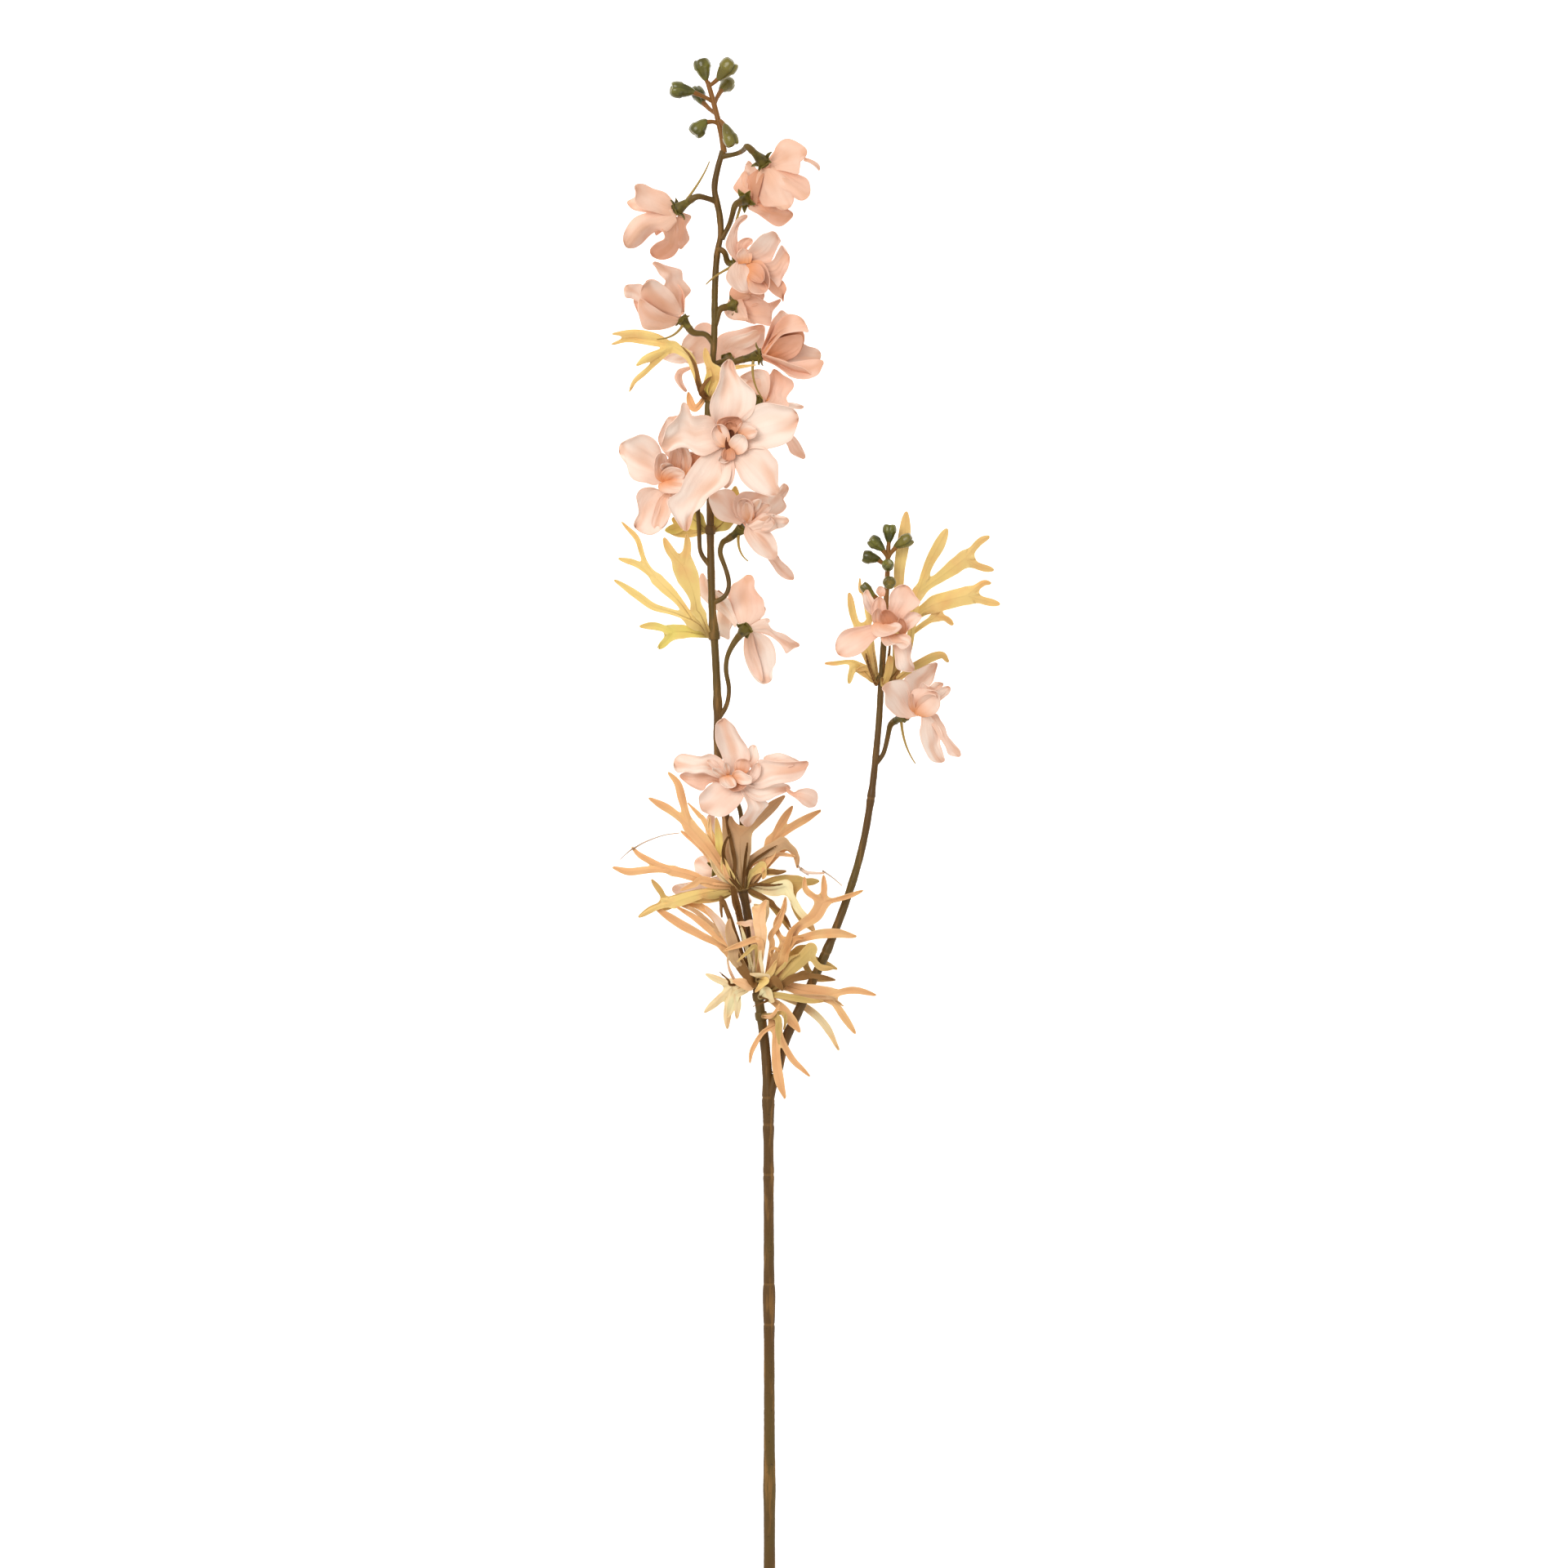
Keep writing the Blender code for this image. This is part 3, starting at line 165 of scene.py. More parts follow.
BLOOMS = {
    "01": bloom((-1.2, 735, 37), (0.55, -0.5, -0.65), 12,
                [(18, 745, 36, 12), (20, 723, 38, 17), (7, 713, 38, 18), (-3, 721, 31, 14),
                 (5, 743, 19, 14)],
                (5, 12), [(-22.2, 739.5, 30), (-17.5, 740, 31), (-13, 741, 35),
                                (-11, 742.2, 41)]),
    "02": bloom((-10.4, 718.8, 27), (0.45, 0.3, -0.84), 9,
                [(-18, 726, 20, 12), (-8, 736, 13, 13), (13, 713, 20, 15), (6, 703, 21, 15),
                 (-10, 706, 9, 14)],
                (5, 11), [(-22.6, 699, 30), (-18.6, 706, 31.5)], (-17.4, 693, 38)),
    "03": bloom((-45.6, 712.8, 30), (-0.75, -0.45, -0.45), 11,
                [(-64, 725, 35, 14), (-69, 714, 20, 14), (-70, 698, 40, 18), (-56, 690, 22, 15),
                 (-37, 702, 16, 11)],
                (5, 12), [(-25.6, 717.6, 30), (-31, 719, 33)], (-28.4, 736, 40)),
    "04": bloom((-43, 661, 32), (-0.6, 0.78, 0.1), 8,
                [(-51, 688, 37, 16), (-69, 676, 30, 15), (-62, 671, 46, 18), (-60, 674, 18, 15),
                 (-46, 681, 20, 15)],
                (4, 12), [(-26.3, 647.5, 30), (-31, 653, 30.6)], (-54, 649, 41), 0.45),
    "05": bloom((-12, 686, 37), (0.62, -0.1, 0.75), 9,
                [(-11, 710, 38, 10), (4, 703, 42, 15), (11, 689, 39, 13), (7, 671, 40, 14),
                 (-17, 674, 46, 16)],
                (5, 12), [(-24.6, 694, 30), (-21, 693, 32)], (-30, 676, 39)),
    "06": bloom((-15, 667, 26), (0.84, 0.2, -0.4), 7,
                [(-6, 680, 22, 12), (2, 669, 29, 13), (-8, 655, 30, 14), (-4, 663, 12, 14),
                 (-10, 674, 13, 12)],
                (4, 10), [(-26, 657, 30), (-24, 662, 29.5)]),
    "07": bloom((-2, 642.4, 31), (0.88, 0.2, 0.25), 11,
                [(7, 664, 22, 13), (18, 660, 43, 16), (26, 646, 18, 14), (27, 637, 40, 13),
                 (13, 627, 38, 14)],
                (5, 12), [(-27.4, 634, 30), (-20, 637, 30)], (-2.4, 620, 40), 0.35),
    "08": bloom((-20, 641, 16), (-0.1, 0.15, -0.98), 7,
                [(-33, 657, 9, 13), (-47, 645, 0, 14), (-41, 627, 0, 10), (-6, 656, 9, 19),
                 (-9, 631, 8, 14)],
                (5, 8), [(-27.2, 637, 30), (-23, 639, 26)]),
    "09": bloom((-18.8, 600, 50), (0.03, -0.03, 1), 12,
                [(-18.4, 640, 55, 22), (14, 612, 56, 23), (3, 575, 55, 21), (-39, 557, 54, 17),
                 (-51, 601, 57, 20)],
                (5, 12), [(-28.8, 594, 30), (-23, 596, 32)]),
    "10": bloom((-45.6, 588, 37), (-0.2, -0.15, 0.95), 11,
                [(-73, 598, 40, 22), (-62, 557, 36, 19), (-40, 566, 36, 13), (-30, 588, 42, 11),
                 (-44, 610, 42, 14)],
                (5, 14), [(-27.6, 538.5, 30), (-32.8, 545, 30), (-33.6, 556, 29),
                                  (-35, 572, 26), (-40, 585, 22)]),
    "11": bloom((-3.6, 619.6, 27), (0.75, 0.1, -0.5), 8,
                [(2, 636, 21, 12), (13, 627, 20, 14), (18, 615, 17, 9), (18, 593, 19, 10),
                 (-1, 612, 11, 12)],
                (4, 10), [(-29, 613, 30), (-20, 615, 29.5)]),
    "12": bloom((-10.8, 558.4, 28), (0.6, 0.45, 0.1), 9,
                [(-23, 574, 34, 14), (-6, 578, 28, 14), (10, 576, 14, 13), (11, 562, 39, 14),
                 (4, 542, 37, 14), (13, 532, 12, 10)],
                (5, 12), [(-27, 521, 30), (-21.6, 523, 31), (-18.8, 529, 31),
                                 (-20.4, 537, 31), (-23.6, 546, 31), (-21.6, 551, 30)],
                (-9.6, 541, 36)),
    "13": bloom((-10.4, 508.8, 24), (0.4, 0.5, -0.75), 10,
                [(-8, 534, 14, 17), (-31, 531, 9, 11), (-24, 512, 9, 13), (15, 498, 9, 9),
                 (-3, 482, 13, 15)],
                (5, 11), [(-24.4, 464, 29), (-20.2, 470, 30), (-18.8, 479, 31),
                                 (-20.4, 487, 32), (-19.6, 495, 32.6)]),
    "14": bloom((-18.8, 435.2, 48), (0.05, 0.3, 0.94), 9,
                [(-21, 464, 56, 15), (-46, 443, 53, 17), (-24, 416, 45, 22), (20, 443, 54, 15),
                 (16, 425, 42, 12), (-3, 414, 42, 12)],
                (5, 12), [(-13.4, 384.5, 25.4), (-12.4, 396, 29), (-12.6, 408, 31),
                                  (-13.6, 420, 34)]),
    "15": bloom((-25, 392, 15), (-0.3, 0.2, -0.93), 7,
                [(-30, 420, 10, 12), (-46, 404, 8, 12), (-47, 379, 6, 14), (-22, 372, 7, 12),
                 (-2, 393, 8, 10)],
                (4, 8), [(-14.8, 390, 25.6), (-19, 390, 23.4)]),
    "16": bloom((58.8, 510, 47), (-0.05, 0.2, 0.97), 10,
                [(34.4, 500, 45, 15), (48, 527, 50, 10), (70, 528, 52, 16), (76, 513, 46, 11),
                 (67, 485, 43, 13)],
                (5, 11), [(57, 503, 28), (58.5, 505, 31.5)], stem="side"),
    "17": bloom((68, 466.4, 27), (0.55, 0.35, 0.6), 9,
                [(58, 480, 47, 17), (80, 490, 32, 14), (90, 478, 28, 9), (94, 447, 22, 10),
                 (81, 443, 30, 12)],
                (5, 12), [(52.6, 442, 28), (56.4, 446, 27), (58.4, 453, 25)],
                (72.6, 442, 21), stem="side"),
}


def lobe(way, start, end, *forks, late=1.5):
    """One strip of a leaf: its way, its width where it starts and where it is widest or
    forks, the strips that it forks into, and how late on its way it widens."""
    return {"way": way, "start": start, "end": end, "forks": forks, "late": late}


# Whorls of leaves: distance of the collar along its stem, and the leaves that leave it
WHORLS = {
    "leaves_upper": ("main", 620.5, [
        lobe([(-33, 626, 33), (-35.6, 634, 34), (-38.4, 641, 35), (-46, 646, 34)], 3, 4,
             lobe([(-54, 651, 33), (-64, 653, 31), (-76, 652.6, 28)], 2, 3.4),
             lobe([(-60, 648.6, 28), (-68, 650, 25), (-76.6, 648, 22)], 2, 3),
             lobe([(-58, 641, 34), (-64, 637, 32)], 2, 4),
             lobe([(-59, 635, 27), (-65, 630, 23), (-68, 625, 19)], 1.6, 3)),
        lobe([(-26.5, 627, 33.6), (-26, 633, 35)], 3, 7,
             lobe([(-29, 638, 36), (-30.6, 645, 36)], 3, 4),
             lobe([(-21.6, 632, 38)], 2.4, 3)),
    ]),
    "leaves_crown": ("main", 556, [
        lobe([(-34, 560, 26), (-38, 563, 24)], 3, 9,
             lobe([(-44, 558, 22), (-50, 556.6, 20)], 4, 6),
             lobe([(-40, 572, 20), (-39, 584, 14)], 3, 6)),
        lobe([(-23, 559, 26), (-20.6, 562, 24)], 3, 8,
             lobe([(-17, 570, 20), (-16, 578, 16)], 4, 6)),
    ]),
    "leaves_middle": ("main", 504.5, [
        lobe([(-33, 509.6, 31), (-36.5, 512, 31)], 4, 7,
             lobe([(-44, 522, 30), (-54, 532, 29)], 2.6, 5.4,
                  lobe([(-64, 539.6, 27), (-73, 542.6, 25)], 2, 3.6),
                  lobe([(-60.6, 542, 27), (-64, 552, 26), (-71.6, 560.6, 25)], 1.6, 3)),
             lobe([(-46, 516, 29), (-56, 519, 27), (-66, 526, 25), (-75, 532, 23)], 2.4, 4.4),
             late=2.2),
        lobe([(-32.4, 514, 33), (-34.6, 517, 34)], 3, 5,
             lobe([(-36.4, 526, 36), (-41, 538, 37)], 4, 10,
                  lobe([(-47, 545, 37), (-50.6, 552, 36)], 4, 4.4),
                  lobe([(-39.2, 548, 38), (-39.4, 554, 38)], 4, 3.6)), late=3.0),
        lobe([(-33, 505.4, 28), (-40, 506.6, 27), (-46, 506.6, 26)], 4, 6.4,
             lobe([(-55, 509.4, 24), (-62.6, 509.4, 23)], 3, 4),
             lobe([(-50, 502, 24), (-53.6, 498.6, 23)], 3, 4)),
    ]),
    "leaves_great": ("main", 381.5, [
        lobe([(-19, 381.6, 29), (-28, 382.6, 30), (-36, 386.6, 30), (-46, 389.4, 29)], 3, 4.4,
             lobe([(-57, 390, 27), (-68, 389, 25), (-76, 391, 23)], 2.2, 4.4),
             lobe([(-61, 396, 27), (-66.6, 401, 26)], 2, 3.4)),
        lobe([(-20, 379.6, 26), (-30, 379, 25), (-41, 376, 23.6), (-50, 373, 22)], 4, 5.4,
             lobe([(-56, 371, 21), (-63.6, 366.6, 20)], 3, 3.4),
             lobe([(-52, 378, 20), (-57, 385, 19)], 2, 3.4)),
        lobe([(-18.6, 385.6, 30.6), (-23.6, 393, 32), (-30, 402, 32), (-38, 411, 31)], 3.4, 6,
             lobe([(-47, 418.6, 29), (-58, 425, 27)], 3, 4.4),
             lobe([(-41.8, 424, 30), (-44, 432, 29), (-48.6, 437.6, 28)], 3, 4.4)),
        lobe([(-12.6, 388, 32.6), (-13.4, 396, 34.6), (-13.4, 406, 35.6)], 5, 10,
             lobe([(-17.4, 412.6, 36), (-18, 416, 36)], 4, 4),
             lobe([(-7, 412, 35), (0, 419, 32), (8, 426, 29)], 4, 6)),
        lobe([(-6, 387, 29.6), (0, 397, 30), (2, 403.6, 29.6)], 3, 6,
             lobe([(6, 411.6, 27), (12, 421, 24)], 3, 4.4),
             lobe([(12, 411, 26), (26, 419, 22)], 3, 4.4)),
        lobe([(-6, 384.6, 27), (1, 394, 25), (9, 401, 23), (14, 396.6, 21), (14.6, 391, 20)],
             3, 4.4),
        lobe([(-6, 381.6, 24.6), (4, 384, 24), (14, 383.6, 22)], 4, 6.4,
             lobe([(25, 384.2, 19)], 3, 4),
             lobe([(12.6, 374, 20), (17, 365, 19), (22.6, 359.6, 18)], 2.6, 3.4)),
        lobe([(-7, 378, 22), (0, 374.6, 20.6), (7, 366, 18.6), (10.6, 360, 17)], 3, 3.4),
    ]),
    "leaves_lower_left": ("main", 336.5, [
        lobe([(-11.4, 340, 26), (-16, 346, 27.6), (-20.4, 352, 28)], 3.4, 5,
             lobe([(-31, 357, 27), (-44, 364, 25), (-55.6, 371.6, 24)], 3, 5),
             lobe([(-26, 366, 25), (-35, 372.6, 21.6), (-47, 374, 20)], 2.4, 4)),
        lobe([(-8, 341, 27.6), (-6.4, 350, 29), (-4.6, 362, 30), (-2.6, 369, 30)], 3, 6,
             lobe([(-6.6, 373, 30)], 2.4, 2.6),
             lobe([(0, 375, 31)], 3, 3)),
        lobe([(-11, 332.6, 20), (-17, 332.6, 17.6)], 4, 7,
             lobe([(-22, 334.6, 16), (-30.4, 338.4, 14)], 3, 3.6),
             lobe([(-24, 326, 14), (-31, 319.6, 12)], 3, 4.4),
             lobe([(-19.6, 321, 14), (-20, 311.6, 12)], 3, 4.4)),
    ]),
    "leaves_lower_right": ("main", 328.0, [
        lobe([(0.4, 331.6, 24), (8, 333, 26), (18, 330.6, 27.4), (30, 328.6, 29)], 4, 7,
             lobe([(42, 331, 30), (53, 328.6, 29)], 3, 3.6),
             lobe([(36, 320, 28), (43, 309.6, 26)], 3, 4)),
        lobe([(0, 329, 21), (8, 327, 18.6), (18, 322.6, 17), (28, 313.6, 15.6), (35, 301, 14)],
             3.4, 4.4),
        lobe([(-0.6, 327.6, 25.4), (6, 323, 27), (11, 317, 27.6), (15.6, 310.6, 27)], 3, 6),
        lobe([(1, 335, 23), (8, 342, 23.6), (16, 349, 24)], 3.6, 7,
             lobe([(21, 352.6, 24.4)], 3, 3.4),
             lobe([(26, 344.6, 20), (34, 341, 17)], 2.6, 3.4),
             lobe([(22, 337.6, 19), (33, 335.6, 16)], 2.6, 3.4)),
        lobe([(0.6, 337.4, 27.6), (4.4, 346, 30), (9, 353, 31.6)], 3.4, 5,
             lobe([(20, 357.4, 32), (32, 359, 31.6), (43, 357.4, 31)], 3, 5.4),
             lobe([(14, 361, 33), (22.6, 367, 33.6), (27, 374, 33.4)], 3, 6,
                  lobe([(19, 380, 33), (18, 386.6, 32)], 2.6, 3),
                  lobe([(27.6, 381, 33), (27.4, 387.4, 32)], 2.6, 3),
                  lobe([(38, 376.6, 33), (47, 380, 32)], 2, 2.6)),
             lobe([(4, 362, 30), (7.6, 370, 30), (8.8, 376.6, 29.6)], 2, 3.4)),
    ]),
    "leaves_foot": ("main", 317.5, [
        lobe([(2, 317.6, 24.6), (4, 314, 25.6)], 3, 5.4,
             lobe([(-2.4, 310, 26.6), (-7.4, 302, 27), (-8.8, 295, 27)], 1.8, 2.6),
             lobe([(4, 300, 25.6), (5.4, 288, 24.6), (8.4, 278, 23)], 3, 5.6),
             lobe([(11, 298.6, 26), (20.6, 288.6, 24)], 2.4, 3.4)),
    ]),
    "leaves_side": ("side", 483.0, [
        lobe([(51.4, 487, 27), (49, 497, 24), (46.6, 505, 22)], 3, 7,
             lobe([(42.6, 513, 21), (40, 525.6, 20)], 3, 3.6),
             lobe([(50.4, 514, 20), (51.6, 521, 19)], 3, 3)),
        lobe([(51.6, 483, 24.6), (47, 488, 21)], 3, 3.4,
             lobe([(42, 492, 19), (34, 491.4, 17), (28, 491.4, 16)], 1.6, 2.2),
             lobe([(42, 489, 22), (40, 481.6, 20)], 2, 3)),
        lobe([(61.4, 488, 27), (63.6, 500, 22), (64.6, 515, 20)], 4, 6.4,
             lobe([(64.6, 536, 22), (67, 553, 23), (68, 565, 23)], 4, 6.4), late=2.5),
        lobe([(62.4, 486, 26), (69, 497, 20), (71.4, 515, 17), (74, 526, 15)], 3, 3.6,
             lobe([(79, 539.6, 14), (84, 549, 14), (88, 557, 14)], 3, 6),
             lobe([(87, 535.4, 12), (97, 543, 11)], 3, 7,
                  lobe([(104, 551, 10), (109, 554, 9)], 3, 3.6),
                  lobe([(104, 539.4, 9), (111, 537.6, 8)], 3, 3.6))),
        lobe([(62.4, 484.6, 24.4), (68, 497, 16), (72.4, 513, 11), (80, 519.6, 8), (90, 523, 6.6),
              (98, 525, 5)], 3, 8,
             lobe([(106, 531, 3), (110, 531.4, 2)], 3, 3),
             lobe([(107, 522.6, 0.8), (114.4, 521, 0)], 3, 4), late=5.0),
        lobe([(62, 482.4, 28.4), (72, 489.6, 38), (84, 495, 40), (88, 492, 39)], 3, 4.4),
    ]),
}

# Buds: middle, growing direction, length, width, and where the stalk leaves the rachis
MAIN_RACHIS = [(-21.6, 743.2, 30), (-22.6, 750, 30), (-24.4, 757.6, 30), (-26.8, 767, 30),
               (-29.4, 776, 30)]
MAIN_BUDS = [
    ((-31.6, 782.2, 30.5), (-0.25, 1, 0), 11.2, 8.4, (-29.2, 775.4, 30)),
    ((-20.4, 781.6, 33), (0.6, 0.75, 0.2), 12.4, 9.4, (-28.8, 774, 30)),
    ((-20.6, 775, 21), (0.5, 0.5, -0.6), 10, 7.4, (-26, 765, 30)),
    ((-42, 771.4, 33), (-1, 0.1, 0.2), 12.6, 8.4, (-26.6, 766, 30)),
    ((-33.6, 770, 20), (-0.35, 0.7, -0.55), 12, 7, (-25, 760, 30)),
    ((-33.4, 753.4, 31), (-0.55, -0.6, 0.1), 10, 8.2, (-23.8, 755, 30)),
    ((-18.8, 748.6, 38), (0.35, -0.9, 0.05), 12, 7.4, (-23.8, 757, 30)),
]
SIDE_RACHIS = [(57.8, 515.6, 28), (58.2, 524, 28), (58.6, 533, 28), (58.8, 541, 28),
               (59.2, 549, 28)]
SIDE_BUDS = [
    ((59.6, 555, 28), (0.05, 1, 0), 9.6, 6.4, (59.2, 548, 28)),
    ((53.4, 549.6, 30), (-0.7, 0.6, 0.15), 9.6, 6.8, (58.9, 542, 28)),
    ((66.6, 550.6, 30), (0.8, 0.45, 0.15), 10.4, 7, (58.9, 542, 28)),
    ((50.6, 543, 27), (-0.95, 0.2, 0), 9.4, 7, (58.6, 537, 28)),
    ((58.8, 538.6, 33.4), (0, 0.4, 0.9), 7.6, 6, (58.5, 535, 28)),
    ((59.4, 530.6, 34), (0.1, -0.1, 1), 7.4, 6.4, (58.4, 529, 28)),
    ((49.4, 526.6, 29), (-0.7, 0.75, 0), 10.4, 5, (58.2, 521, 28)),
]

# How warm each bloom's cloth is, from pale to deep blush; the deep end is partly painted shade, for
# the blooms that lie in shade
WARMTH_AND_SHADE = {"01": 0.95, "02": 1.0, "03": 0.95, "04": 0.75, "05": 0.75, "06": 0.8, "07": 0.95,
          "08": 0.65, "09": 0.15, "10": 0.25, "11": 0.6, "12": 0.45, "13": 0.45, "14": 0.35,
          "15": 0.5, "16": 0.7, "17": 0.35}

# Base colours of the leaves, and which leaf has which, in the order of its whorl
TINTS = {"gold": (0.74, 0.54, 0.19), "amber": (0.71, 0.39, 0.18), "fawn": (0.52, 0.32, 0.17),
         "cream": (0.78, 0.64, 0.38), "olive": (0.52, 0.36, 0.12), "rust": (0.56, 0.27, 0.10),
         "lime": (0.68, 0.56, 0.14), "brown": (0.22, 0.105, 0.03), "dark": (0.12, 0.05, 0.010),
         "peach": (0.80, 0.50, 0.27), "pale": (0.80, 0.72, 0.42), "pink": (0.74, 0.54, 0.41),
         "wire": (0.52, 0.42, 0.34)}
LEAF_TINTS = {
    "leaves_upper": ("gold", "gold"),
    "leaves_crown": ("lime", "lime"),
    "leaves_middle": ("gold", "gold", "lime"),
    "leaves_great": ("amber", "olive", "amber", "fawn", "amber", "amber", "olive", "olive"),
    "leaves_lower_left": ("amber", "cream", "cream"),
    "leaves_lower_right": ("amber", "cream", "amber", "olive", "amber"),
    "leaves_foot": ("amber",),
    "leaves_side": ("gold", "gold", "gold", "gold", "gold", "olive"),
}
